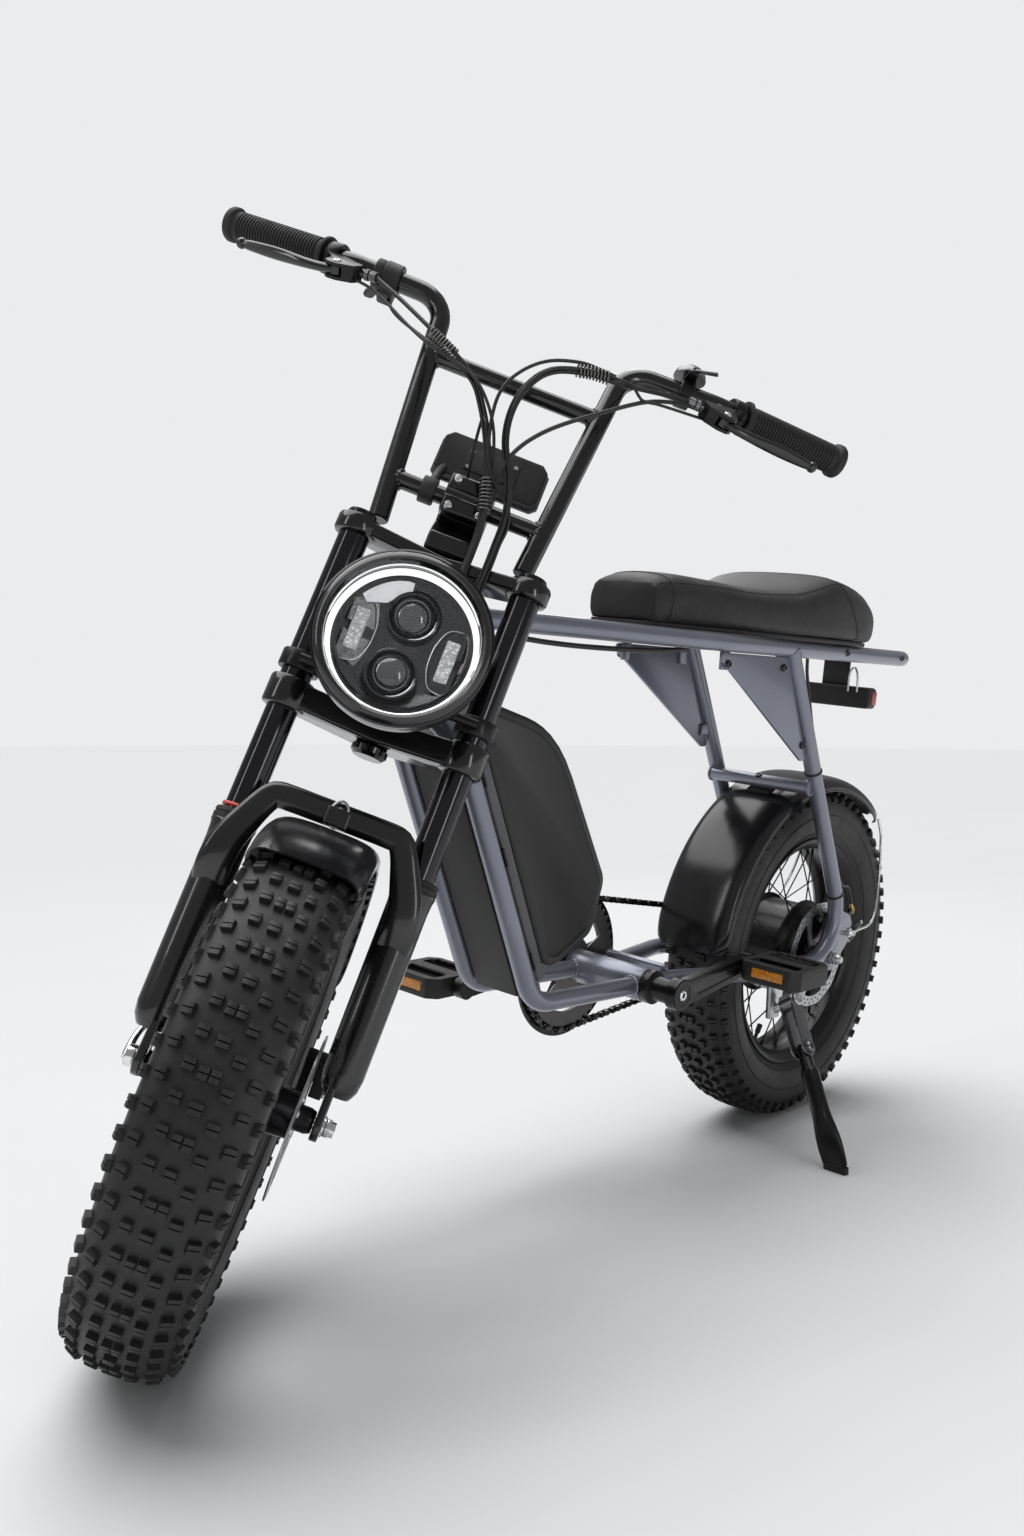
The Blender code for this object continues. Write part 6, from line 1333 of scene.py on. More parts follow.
def make_frame():
    """The welded frame with its bracket shell, braces and plates."""
    side = frame_side_path()
    half = RAIL_HALF_SPACING
    parts = [tube(side, TUBE_RADIUS, 28), mirrored(tube(side, TUBE_RADIUS, 28)),
             tube(seat_loop_path(), TUBE_RADIUS, 28), head_tube(), frame_welds()]
    parts.append(rod((CROSS_TUBE[0], -half, CROSS_TUBE[1]), (CROSS_TUBE[0], half, CROSS_TUBE[1]),
                     CROSS_TUBE_RADIUS, 24))
    end = BRACKET_HALF_LENGTH
    shell = lathe([(-end, 0.0113), (-end, BRACKET_RADIUS), (end, BRACKET_RADIUS), (end, 0.0113)], 48)
    parts.append(shifted(softened(shell, 0.0012, 2), (BRACKET[0], 0, BRACKET[1])))
    brace_x = BRACKET[0] - 0.062
    brace = prism([(brace_x - 0.014, BRACKET[1] - 0.010), (brace_x - 0.006, BRACKET[1] - 0.012),
                   (brace_x + 0.012, BRACKET[1] + 0.014), (brace_x + 0.004, BRACKET[1] + 0.018)],
                  -FRONT_HALF_SPACING, FRONT_HALF_SPACING)
    parts.append(softened(brace, 0.003, 3))
    head = FORK_IN_BIKE @ Vector((0, 0, LOWER_CROWN[1] + 0.045))
    web = prism([(head.x - 0.010, head.z + 0.060), (head.x - 0.006, head.z - 0.012),
                 (head.x - 0.030, head.z - 0.038), (head.x - 0.038, head.z + 0.020)], -0.003, 0.003)
    parts.append(softened(web, 0.001, 2))
    parts += [dropout(1), dropout(-1), frame_ears(1), frame_ears(-1)]
    return joined(*parts)


def strap_round(place, heading, radius, across):
    """A cable tie: a flat band round a tube, its square head and a short tail."""
    heading = Vector(heading).normalized()
    band = sleeve(-0.0014, 0.0014, radius + 0.0002, radius + 0.0014, 40, "Z")
    head = block((radius, -0.0028, -0.0026), (radius + 0.0052, 0.0028, 0.0026), 0.0005)
    tail = block((radius + 0.0012, 0.002, -0.0013), (radius + 0.0022, 0.0120, 0.0013), 0.0003)
    return placed(joined(band, head, tail), basis(place, across, heading))


fit_out(BIKE, "frame",
        (make_frame(), "frame_welded_tubes", "slate_paint", PAINT, "frame"),
        (kickstand_mount(), "kickstand_bracket", "steel", STEEL))
for hand, side in SIDES:
    fit_out(BIKE, "frame",
            (gusset_plate(hand), "corner_plate_" + side, "slate_paint", PAINT, "gusset_" + side),
            (gusset_bolts(hand), "corner_plate_bolts_" + side, "satin_black", GLOSS))
UPRIGHT = Vector((slant().x, 0, slant().y))
BEND_FOOT = Vector((REAR_CORNER[0], RAIL_HALF_SPACING, REAR_CORNER[1]))
ties = [strap_round(BEND_FOOT + UPRIGHT * 0.115, UPRIGHT, TUBE_RADIUS, (-1, 0, 0.3)),
        strap_round(BEND_FOOT + UPRIGHT * 0.330, UPRIGHT, TUBE_RADIUS, (-1, -0.4, 0.3))]
fit_out(BIKE, "frame",
        (rail_screws(), "rail_screws", "satin_black", GLOSS),
        (joined(*ties), "cable_ties", "black_plastic", PLASTIC))


# Seat

SEAT_BOTTOM = RAIL_HEIGHT + TUBE_RADIUS + FIT
CUSHION_BOTTOM = SEAT_BOTTOM + 0.0063
NOSE_START = 0.3
NOSE_SHORTENING = 0.895
SEAT_TOPS = (
    (-0.022, 0.738), (-0.012, 0.765), (0.020, 0.790), (0.070, 0.806), (0.110, 0.809), (0.160, 0.798),
    (0.220, 0.785), (0.300, 0.780), (0.380, 0.783), (0.450, 0.784), (0.485, 0.779), (0.500, 0.768),
    (0.508, 0.745),
)
SEAT_HALF_WIDTHS = (
    (-0.022, 0.078), (0.000, 0.098), (0.050, 0.112), (0.100, 0.115), (0.160, 0.112), (0.240, 0.103),
    (0.350, 0.083), (0.440, 0.063), (0.488, 0.053), (0.502, 0.043), (0.508, 0.028),
)
SEAT_SECTION = (
    (0.84, 0.0), (0.93, 0.03), (0.975, 0.14), (0.995, 0.34), (0.992, 0.56), (0.972, 0.70),
    (0.915, 0.83), (0.80, 0.92), (0.62, 0.968), (0.36, 0.992), (0.0, 1.0),
)


def seat_point(place, along_section, swell=0.0):
    """A point of the cushion's skin; along_section runs from the left base to the crown."""
    place = place if place < NOSE_START else NOSE_START + (place - NOSE_START) * NOSE_SHORTENING
    half = eased(place, SEAT_HALF_WIDTHS) + swell
    tall = eased(place, SEAT_TOPS) + swell - CUSHION_BOTTOM
    lean = 1.0 - min(abs(place - 0.100) / 0.115, 1.0)
    wide = eased(along_section, [(index, pair[0]) for index, pair in enumerate(SEAT_SECTION)])
    high = eased(along_section, [(index, pair[1]) for index, pair in enumerate(SEAT_SECTION)])
    up = high * tall
    return Vector((place + 0.8 * lean * (up - tall / 2), wide * half, CUSHION_BOTTOM + up))


def cushion_shell(inset):
    """The cushion's closed form, drawn in by an inset so that it can swell."""
    last = len(SEAT_SECTION) - 1
    rings = []
    for step in range(61):
        place = -0.022 + inset + (0.534 - 2 * inset) * (0.5 - 0.5 * math.cos(math.pi * step / 60))
        rings.append(over_middle([seat_point(place, last * index / 22, -inset) for index in range(23)]))
    return lofted(rings)


def padded_cushion():
    """The cushion blown up from a slightly smaller form, so its skin is taut and crowned."""
    item = cushion_shell(0.0018)
    item = swollen(item)
    smooth = item.modifiers.new("smooth", "SUBSURF")
    smooth.levels = 1
    smooth.render_levels = 1
    return baked(item)


CLOTH_REACH = 0.0034


def swollen(item):
    """Voxel remesh, cloth pressure without gravity, and a cap on how far a point may move."""
    step = item.modifiers.new("even", "REMESH")
    step.mode = "VOXEL"
    step.voxel_size = 0.0046
    baked(item)
    before = [vertex.co.copy() for vertex in item.data.vertices]
    cloth = item.modifiers.new("cloth", "CLOTH").settings
    cloth.use_pressure = True
    cloth.uniform_pressure_force = 4.0
    cloth.effector_weights.gravity = 0.0
    cloth.tension_stiffness = 15.0
    cloth.bending_stiffness = 2.0
    scene = bpy.context.scene
    for number in range(1, 21):
        scene.frame_set(number)
    baked(item)
    scene.frame_set(1)
    for vertex, start in zip(item.data.vertices, before):
        move = vertex.co - start
        if move.length > CLOTH_REACH:
            vertex.co = start + move * (CLOTH_REACH / move.length)
        vertex.co.z = max(vertex.co.z, CUSHION_BOTTOM)
    return item


def on_skin(skin, points, lift):
    """The same points laid on the cushion's own skin, lifted along its normal."""
    back = BIKE.inverted()
    found = [skin.find_nearest(BIKE @ point) for point in points]
    return [back @ (spot + normal * lift) for spot, normal, _, _ in found]


def seam_line(skin, points, name):
    """A welt along a sewn line, with a row of stitches over it."""
    welt = tube(on_skin(skin, points, 0.0001), 0.0005, 8)
    length = sum((on - back).length for back, on in zip(points, points[1:]))
    stitch = tube([(0, 0, -0.0016), (0, 0, -0.0011), (0, 0, 0.0011), (0, 0, 0.0016)], 0.0004, 6,
                  radii=[0.0002, 0.0004, 0.0004, 0.0002])
    row = strung(stitch, on_skin(skin, points, 0.0006), round(length / 0.0046), THREAD)
    fit_out(BIKE, "frame",
            (welt, name + "_welt", "black_leather", LEATHER),
            (row, name + "_stitches", "black_leather", THREAD))


def seat_seams(skin):
    """The edge seam round the top panel, the rear band's seam and the nose seam."""
    last = len(SEAT_SECTION) - 1
    edge = [seat_point(-0.010 + 0.508 * step / 70, 6.3 + 0.5 * math.sin(step / 70 * math.pi), 0.0008)
            for step in range(71)]
    for hand, side in SIDES:
        seam_line(skin, [Vector((spot.x, hand * spot.y, spot.z)) for spot in edge], "seat_edge_" + side)
    for place, name in ((0.100, "seat_rear"), (0.4765, "seat_nose")):
        left = [seat_point(place, last * index / 30, 0.0006) for index in range(1, 31)]
        seam_line(skin, over_middle(left), name)


cushion = dress(placed(padded_cushion(), BIKE), "seat_cushion_padded", "frame", "black_leather",
                LEATHER, "seat_cushion")
seat_seams(BVHTree.FromPolygons([vertex.co for vertex in cushion.data.vertices],
                                [tuple(face.vertices) for face in cushion.data.polygons]))
base_edge = [(place, eased(place, SEAT_HALF_WIDTHS) * 0.84)
             for place in (-0.004, 0.010, 0.030, 0.060, 0.110, 0.180, 0.260, 0.340, 0.420, 0.470, 0.490)]
pan = prism(base_edge + [(ahead, -left) for ahead, left in reversed(base_edge)],
            SEAT_BOTTOM, SEAT_BOTTOM + 0.006, "Z")
dress(placed(softened(pan, 0.0015, 2), BIKE), "seat_pan", "frame", "black_plastic", PLASTIC, "seat_base")


# Rear mudguard, tail light, axle and brake

GUARD_SHEET = 0.003


def mudguard_section(inner, wide, lip):
    """The arched section of a mudguard with rolled edges, as (left, radius)."""
    outer = [(wide, inner - lip), (wide - 0.0012, inner - lip * 0.45), (wide - 0.006, inner - 0.003),
             (wide * 0.74, inner + 0.0005), (wide * 0.45, inner + GUARD_SHEET - 0.0006),
             (0, inner + GUARD_SHEET)]
    path = [(spot.x, spot.z) for spot in
            curve_through([(left, 0, radius) for left, radius in outer], 0.005)]
    under = []
    for index, (left, radius) in enumerate(path):
        before = path[max(index - 1, 0)]
        after = path[min(index + 1, len(path) - 1)]
        run = Vector((after[0] - before[0], after[1] - before[1])).normalized()
        under.append((left - run.y * GUARD_SHEET * 0.7, radius + run.x * GUARD_SHEET * 0.7))
    whole = path + [(-left, radius) for left, radius in reversed(path[:-1])]
    inside = under + [(-left, radius) for left, radius in reversed(under[:-1])]
    return whole + list(reversed(inside))


def mudguard(inner, wide, lip, centre, start, end, taper=0.20):
    """The arched sheet, drawn in at both ends, with a beaded rim."""
    section = mudguard_section(inner, wide, lip)
    rings = []
    steps = 72
    rims = {1: [], -1: []}
    for step in range(steps + 1):
        share = step / steps
        angle = math.radians(start + (end - start) * share)
        close = min(share, 1 - share) * (end - start) / 9.0
        narrow = 1.0 if close > 1 else 1 - taper + taper * math.sqrt(1 - (1 - close) ** 2)
        spots = []
        for left, radius in section:
            reach = radius if abs(left) < wide * 0.7 else radius + (1 - narrow) * 0.02
            spots.append((centre[0] + reach * math.cos(angle), left * narrow,
                          centre[1] + reach * math.sin(angle)))
        rings.append(spots)
        for hand in HANDS:
            reach = inner - lip + 0.0008 + (1 - narrow) * 0.02
            rims[hand].append((centre[0] + reach * math.cos(angle), hand * (wide * narrow - 0.0008),
                               centre[1] + reach * math.sin(angle)))
    return joined(lofted(rings), tube(rims[1], 0.0016, 8), tube(rims[-1], 0.0016, 8))


REAR_GUARD = TYRE_RADIUS + 0.012


def guard_stays():
    """Wire stays from the mudguard's edge to eyes on the rear dropouts, with their screws."""
    wires = []
    for hand in HANDS:
        eye_y = hand * (RAIL_HALF_SPACING + DROPOUT_THICKNESS / 2 + 0.0023)
        spots = [(-0.160, hand * 0.0588, 0.452), (-0.165, hand * 0.0640, 0.425),
                 (-0.150, hand * 0.0760, 0.345), (-0.120, hand * 0.0860, 0.298),
                 (-0.064, eye_y, 0.2885), (-0.050, eye_y, 0.288)]
        wires.append(tube(curve_through(spots, 0.006), 0.0021, 12))
        eye = sleeve(-0.0021, 0.0021, 0.003, 0.0064, 24)
        wires.append(shifted(eye, (-0.044, eye_y, 0.288)))
        wires.append(socket_bolt((-0.044, eye_y + hand * 0.0018, 0.288), (0, hand, 0), 0.0050, 0.0035))
    return joined(*wires)


def guard_spacer():
    """The block between the rear mudguard and the cross tube."""
    across = Vector(CROSS_TUBE) - Vector((0, TYRE_RADIUS))
    out = across.normalized()
    spacer = block((-0.018, -0.012, REAR_GUARD + 0.0015), (0.018, 0.012, across.length - 0.0098), 0.002)
    return placed(spacer, basis((0, 0, TYRE_RADIUS), (0, 1, 0), (out.x, 0, out.y)))


def cross_bolt():
    spot = (CROSS_TUBE[0] + 0.005, 0.0, CROSS_TUBE[1] + CROSS_TUBE_RADIUS - 0.0022)
    return socket_bolt(spot, (0.55, 0, 1), 0.005, 0.0026)


fit_out(BIKE, "frame",
        (mudguard(REAR_GUARD, 0.060, 0.018, (0, TYRE_RADIUS), 6, 131), "rear_mudguard",
         "black_plastic", MUDGUARD, "rear_fender"),
        (guard_stays(), "mudguard_stays", "steel", CHROME),
        (guard_spacer(), "mudguard_spacer", "black_plastic", PLASTIC),
        (cross_bolt(), "cross_tube_bolt", "satin_black", GLOSS))

TAIL = (-0.082, 0.642)


def tail_light():
    """The lamp's case, its strap and the cross strip between the rails."""
    ahead, height = TAIL
    case = prism(eased_outline([(-0.065, height - 0.016), (0.065, height - 0.016),
                                (0.065, height + 0.016), (-0.065, height + 0.016)], 0.006),
                 ahead - 0.009, ahead + 0.015, "X")
    case = softened(case, 0.002, 3)
    recess = block((ahead - 0.012, -0.059, height - 0.011), (ahead - 0.004, 0.059, height + 0.011))
    strap = block((ahead, -0.022, height + 0.010), (ahead + 0.004, 0.022, RAIL_HEIGHT + 0.002), 0.001)
    reach = RAIL_HALF_SPACING - TUBE_RADIUS - FIT
    cross = block((ahead - 0.006, -reach, RAIL_HEIGHT - 0.004),
                  (ahead + 0.012, reach, RAIL_HEIGHT + 0.002), 0.001)
    return joined(cut(case, recess), strap, cross)


def tail_lens():
    """The red lens, a little crowned, with its vertical flutes and its two end lenses."""
    ahead, height = TAIL
    flute = tube([(0, 0, -0.0098), (0, 0, -0.0085), (0, 0, 0.0085), (0, 0, 0.0098)], 0.0016, 8,
                 radii=[0.0006, 0.0016, 0.0016, 0.0006])
    row = repeated(shifted(flute, (ahead - 0.0121, -0.0555, height)), 35, RED, step=(0, 0.003265, 0))
    body = block((ahead - 0.0125, -0.0586, height - 0.0106), (ahead - 0.0045, 0.0586, height + 0.0106),
                 0.002)
    ends = [block((ahead - 0.0085, hand * 0.0652 - 0.0012, height - 0.010),
                  (ahead + 0.006, hand * 0.0652 + 0.0012, height + 0.010), 0.001) for hand in HANDS]
    return joined(body, row, *ends)


def tail_wire():
    """The wire loop that stands on the light's case."""
    ahead, height = TAIL
    spots = ((0.020, 0.032, 0.008), (0.021, 0.0328, 0.036), (0.021, 0.039, 0.0455),
             (0.021, 0.0452, 0.035), (0.020, 0.047, 0.008))
    line = curve_through([(ahead + on, left, height + up) for on, left, up in spots], 0.003)
    return tube(line, 0.0016, 10)


fit_out(BIKE, "frame",
        (tail_light(), "tail_lamp_case", "black_plastic", PLASTIC, "tail_light_housing"),
        (tail_lens(), "tail_lamp_lens_fluted", "red_lens", RED, "tail_light_lens"),
        (tail_wire(), "tail_lamp_wire_loop", "steel", STEEL))


def axle_end(hand, plate_y, tail):
    """A domed nut, its washer and the axle's end, outside one dropout."""
    face = plate_y + 0.0043
    hexagon = prism(ring((0, 0), 0.0098, 6), face + 0.0016, face + 0.0075)
    dome = lathe([(face + 0.007, 0.0), (face + 0.007, 0.0080), (face + 0.012, 0.0076),
                  (face + 0.0090 + tail, 0.0045), (face + 0.0098 + tail, 0.0)], 32)
    washer = sleeve(face + 0.0001, face + 0.0015, AXLE_HOLE, 0.0105, 32)
    return on_side(joined(softened(hexagon, 0.0006, 2), washer, dome), hand)


def axle_shaft(reach):
    return rod((0, -reach, 0), (0, reach, 0), 0.0058, 24)


def rear_axle():
    """The rear axle with its collars, washers and domed nuts."""
    collars = [rod((0, hand * 0.0706, 0), (0, hand * 0.0776, 0), 0.0115, 32, 0.001) for hand in HANDS]
    nuts = [axle_end(hand, RAIL_HALF_SPACING, 0.0075) for hand in HANDS]
    return joined(axle_shaft(0.094), *collars, *nuts)


fit_out(REAR_WHEEL, "frame", (rear_axle(), "rear_axle_nuts", "steel", STEEL, "rear_axle"))


def caliper_matrix(centre, angle):
    """Sets a caliper astride its disc at an angle about the axle."""
    turn = math.radians(angle)
    reach = ROTOR_RADIUS - 0.0065
    origin = (centre[0] + reach * math.cos(turn), 0, centre[1] + reach * math.sin(turn))
    return basis(origin, (math.sin(turn), 0, -math.cos(turn)), (math.cos(turn), 0, math.sin(turn)))


def caliper_body(rotor_y, inner, outer):
    """The caliper's two halves, its cable arm and stop; local X along the disc's rim."""
    low = rotor_y - inner
    high = rotor_y + outer
    outline = eased_outline([(-0.023, -0.013), (0.023, -0.013), (0.023, 0.004), (0.016, 0.013),
                             (-0.015, 0.013), (-0.023, 0.005)], 0.004)
    slot = block((-0.04, rotor_y - 0.0016, -0.02), (0.04, rotor_y + 0.0016, 0.009))
    body = cut(softened(prism(outline, low, high), 0.0016, 3), slot)
    drum = shifted(lathe([(high - 0.001, 0), (high - 0.001, 0.0115), (high + 0.0048, 0.0115),
                          (high + 0.006, 0.0100), (high + 0.006, 0)], 36), (-0.008, 0, 0))
    arm = softened(prism([(-0.002, -0.006), (-0.014, -0.006), (-0.017, 0.004), (-0.010, 0.030),
                          (-0.002, 0.030), (0.002, 0.004)], high + 0.003, high + 0.0065), 0.0010, 2)
    strut = softened(prism([(0.022, 0.006), (0.012, 0.006), (0.014, 0.022), (0.022, 0.022)],
                           high - 0.006, high - 0.001), 0.001, 2)
    return joined(body, drum, arm, strut)


def caliper_screws(rotor_y, outer):
    high = rotor_y + outer
    spots = (((0.0165, 0.0), high, 0.0036), ((-0.0185, -0.007), high, 0.0030),
             ((-0.008, 0.0), high + 0.0065, 0.0050), ((-0.006, 0.0255), high + 0.0065, 0.0034))
    return joined(*[socket_bolt((spot[0], face - 0.0004, spot[1]), (0, 1, 0), radius, 0.0030)
                    for spot, face, radius in spots])


def caliper_adjuster(rotor_y, outer):
    """The knurled barrel that sets the cable."""
    level = rotor_y + outer - 0.003
    spots = [(0.012, 0.0022), (0.016, 0.0022), (0.0162, 0.0036), (0.0240, 0.0036), (0.0244, 0.0028),
             (0.0300, 0.0026)]
    barrel = lathe([(0.012, 0.0)] + spots + [(0.0300, 0.0)], 28, "X")
    ridge = rod((0.0168, 0, 0.0036), (0.0236, 0, 0.0036), 0.00038, 6)
    grooves = repeated(ridge, 20, BRASS, axis=(1, 0, 0))
    return shifted(joined(barrel, grooves), (0, level, 0.022))


def make_caliper(end, body, place, rotor_y, inner, outer):
    fit_out(place, body,
            (caliper_body(rotor_y, inner, outer), end + "_caliper_body", "alloy_black", SATIN,
             end + "_brake_caliper"),
            (caliper_screws(rotor_y, outer), end + "_caliper_screws", "steel", STEEL),
            (caliper_adjuster(rotor_y, outer), end + "_cable_adjuster", "steel", BRASS))


REAR_CALIPER = caliper_matrix((0, TYRE_RADIUS), 150)
FRONT_CALIPER = caliper_matrix((FORK_OFFSET, 0), 146)
make_caliper("rear", "frame", BIKE @ REAR_CALIPER, REAR_ROTOR_Y, 0.0125, 0.0165)
make_caliper("front", "fork_legs", FORK @ FRONT_CALIPER, FRONT_ROTOR_Y, 0.013, 0.0145)


# Battery

DOWN_RUN = (Vector(DOWN_TUBE_TOP) - Vector(FRONT_CORNER)).normalized()
DOWN_BACK = Vector((-DOWN_RUN.y, DOWN_RUN.x))
BATTERY_ORIGIN = Vector(FRONT_CORNER) + DOWN_RUN * 0.203
BATTERY_HALF = 0.044
BATTERY_LOCK = (0.136, 0.027)
RAIL_LUGS = (-0.150, -0.010, 0.090)


def battery_point(along, behind, left=0.0):
    """A point set out along and behind the down tubes, in the bicycle's frame."""
    spot = BATTERY_ORIGIN + DOWN_RUN * along + DOWN_BACK * behind
    return Vector((spot.x, left, spot.y))


def battery_outline(corners):
    return [(spot.x, spot.z) for spot in (battery_point(*corner) for corner in corners)]


def battery_prism(corners, low, high, edge=0.0, corner_radius=0.0):
    outline = battery_outline(corners)
    if corner_radius:
        outline = eased_outline(outline, corner_radius)
    made = prism(outline, low, high)
    return softened(made, edge, 4) if edge else made


def drawn_in(corners, distance):
    """A convex outline's corners, moved in by a distance from every side."""
    spots = [Vector(corner) for corner in corners]
    area = sum(a.x * b.y - b.x * a.y for a, b in zip(spots, spots[1:] + spots[:1]))
    turn = 1 if area > 0 else -1
    made = []
    for index, spot in enumerate(spots):
        before = (spot - spots[index - 1]).normalized()
        after = (spots[(index + 1) % len(spots)] - spot).normalized()
        inward = Vector((-before.y, before.x)) * turn
        inward_after = Vector((-after.y, after.x)) * turn
        reach = distance / (1 + inward.dot(inward_after))
        made.append(tuple(spot + (inward + inward_after) * reach))
    return made


BATTERY_SHELL = ((0.158, 0.059), (0.1115, 0.1118), (0.1010, 0.1225), (0.0890, 0.1325), (0.0740, 0.1420),
                 (0.0560, 0.1500), (0.0350, 0.1560), (0.0100, 0.1600), (-0.139, 0.174), (-0.190, 0.129),
                 (-0.190, 0.0372), (0.1238, 0.0372))
BATTERY_BAND = ((-0.190, 0.022), (0.100, 0.022), (0.1226, 0.0364), (-0.190, 0.0364))


def battery_shell():
    """The pack's shell, its sides let in behind a bevelled border."""
    body = battery_prism(BATTERY_SHELL, -BATTERY_HALF, BATTERY_HALF, 0.006, 0.026)
    tools = []
    for hand in HANDS:
        rings = []
        for inset, level in ((0.0095, 0.0450), (0.0105, 0.0436), (0.0130, 0.0419)):
            outline = eased_outline(battery_outline(drawn_in(BATTERY_SHELL, inset)), 0.020)
            rings.append([(ahead, hand * level, up) for ahead, up in outline])
        tools.append(lofted(rings))
    return cut(body, *tools)


def battery_rail():
    """The mounting strip between the down tubes, its lugs, and the lock block."""
    parts = [battery_prism([(-0.195, -0.004), (0.103, -0.004), (0.103, 0.0217), (-0.195, 0.0217)],
                           -0.032, 0.032, 0.0018)]
    for along in RAIL_LUGS:
        parts.append(battery_prism([(along - 0.012, TUBE_RADIUS + FIT), (along + 0.012, TUBE_RADIUS + FIT),
                                    (along + 0.012, TUBE_RADIUS + 0.0033),
                                    (along - 0.012, TUBE_RADIUS + 0.0033)], -0.056, 0.056, 0.001))
    parts.append(battery_prism([(0.095, -0.003), (0.146, -0.003), (0.146, 0.018), (0.095, 0.018)],
                               -0.021, 0.021, 0.0015))
    lock = battery_prism([(0.107, 0.0128), (0.150, 0.0128), (0.155, 0.050)], -0.030, 0.047, 0.0022)
    key = battery_point(*BATTERY_LOCK)
    hole = rod((key.x, 0.030, key.z), (key.x, 0.060, key.z), 0.0078, 32)
    parts.append(cut(lock, hole))
    return joined(*parts)


def battery_bolts():
    """The screws through the rail's lugs and along both of its sides."""
    behind = battery_point(0, 1) - battery_point(0, 0)
    heads = []
    for hand in HANDS:
        for along in RAIL_LUGS:
            spot = battery_point(along, TUBE_RADIUS + 0.0028, hand * FRONT_HALF_SPACING)
            heads.append(socket_bolt(spot, behind, 0.0048, 0.0036))
        for along in (-0.185, -0.120, -0.055, 0.010, 0.075):
            spot = battery_point(along, 0.0125, hand * 0.0318)
            heads.append(socket_bolt(spot, (0, hand, 0), 0.0036, 0.0026))
    return joined(*heads)


def lock_face():
    """The lock's barrel end with its slot, inside a turned ring."""
    face = lathe([(0.0303, 0.0), (0.0303, 0.0074), (0.0482, 0.0074), (0.0490, 0.0068),
                  (0.0490, 0.0054), (0.0484, 0.0051), (0.0484, 0.0)], 40)
    slot = block((-0.0036, 0.045, -0.0007), (0.0036, 0.06, 0.0007))
    grip = block((-0.0058, 0.0470, -0.0012), (-0.0040, 0.0535, 0.0012), 0.0005)
    other = block((0.0040, 0.0470, -0.0012), (0.0058, 0.0535, 0.0012), 0.0005)
    return shifted(joined(cut(face, slot), grip, other), battery_point(*BATTERY_LOCK))


band = battery_prism(BATTERY_BAND, -BATTERY_HALF - 0.0004, BATTERY_HALF + 0.0004, 0.003)
fit_out(BIKE, "battery",
        (battery_shell(), "battery_shell", "battery_shell", SHELL, "battery_case"),
        (band, "battery_band", "battery_shell", SHELL_BAND))
fit_out(BIKE, "frame",
        (battery_rail(), "battery_mount", "black_plastic", PLASTIC, "battery_rail"),
        (battery_bolts(), "battery_mount_bolts", "satin_black", GLOSS))
fit_out(BIKE, "battery_key", (lock_face(), "battery_lock", "steel", CHROME, "key_cylinder"))


# Cranks, chain and pedals

RING_PITCH = CHAIN_PITCH / 2 / math.sin(math.pi / RING_TEETH)
SPROCKET_PITCH = CHAIN_PITCH / 2 / math.sin(math.pi / SPROCKET_TEETH)
SPROCKET = Vector((-BRACKET[0], TYRE_RADIUS - BRACKET[1]))
CHAIN_LEAN = math.acos((RING_PITCH - SPROCKET_PITCH) / SPROCKET.length)
CHAIN_HEADING = math.atan2(SPROCKET.y, SPROCKET.x)
CRANK_END = Vector((CRANK_LENGTH * math.cos(-CRANK_DROP), CRANK_LENGTH * math.sin(-CRANK_DROP)))
ARM_TURNS = [72 * index + 20 for index in range(5)]


def chain_line():
    """The chain's pitch line as points in the crank's frame, starting at the ring."""
    heading = math.degrees(CHAIN_HEADING)
    lean = math.degrees(CHAIN_LEAN)
    spots = arc((0, 0), RING_PITCH, heading + lean, heading + 360 - lean, 180)
    spots += arc(SPROCKET, SPROCKET_PITCH, heading - lean, heading + lean, 60)
    spots.append(spots[0])
    return [Vector((ahead, -CHAIN_LINE, up)) for ahead, up in spots]


CHAIN_PATH = chain_line()
CHAIN_LENGTH = sum((on - back).length for back, on in zip(CHAIN_PATH, CHAIN_PATH[1:]))
CHAIN_LINKS = 2 * round(CHAIN_LENGTH / CHAIN_PITCH / 2)
LINK_STEP = CHAIN_LENGTH / CHAIN_LINKS


def link_plate(level, waist, reach):
    """One side plate: two round ends and a narrow waist, along Z."""
    half = CHAIN_PITCH / 2
    outline = []
    for hand in HANDS:
        for turn in range(-100, 101, 25):
            angle = math.radians(90 * hand + turn * hand * -1)
            outline.append((reach * math.cos(angle), hand * half + reach * math.sin(angle)))
        outline.append((-waist * hand, 0.0))
    return prism(outline, level - 0.0005, level + 0.0005, "X")


def chain_link(outer):
    """A pair of plates with their pins, or with their rollers."""
    half = CHAIN_PITCH / 2
    level = 0.0031 if outer else 0.0020
    wide = 0.0038 if outer else 0.0017
    radius = 0.0017 if outer else 0.0037
    parts = [link_plate(level, 0.0026, 0.0041), link_plate(-level, 0.0026, 0.0041)]
    for hand in HANDS:
        parts.append(shifted(sleeve(-wide, wide, 0.0, radius, 10, "X"), (0, 0, hand * half)))
    return joined(*parts)


def chain_points(offset):
    """Even points along the chain, starting an offset after the ring."""
    count = CHAIN_LINKS * 4
    return [path_frame(CHAIN_PATH, (offset + CHAIN_LENGTH * step / count) % CHAIN_LENGTH)[0]
            for step in range(count)]


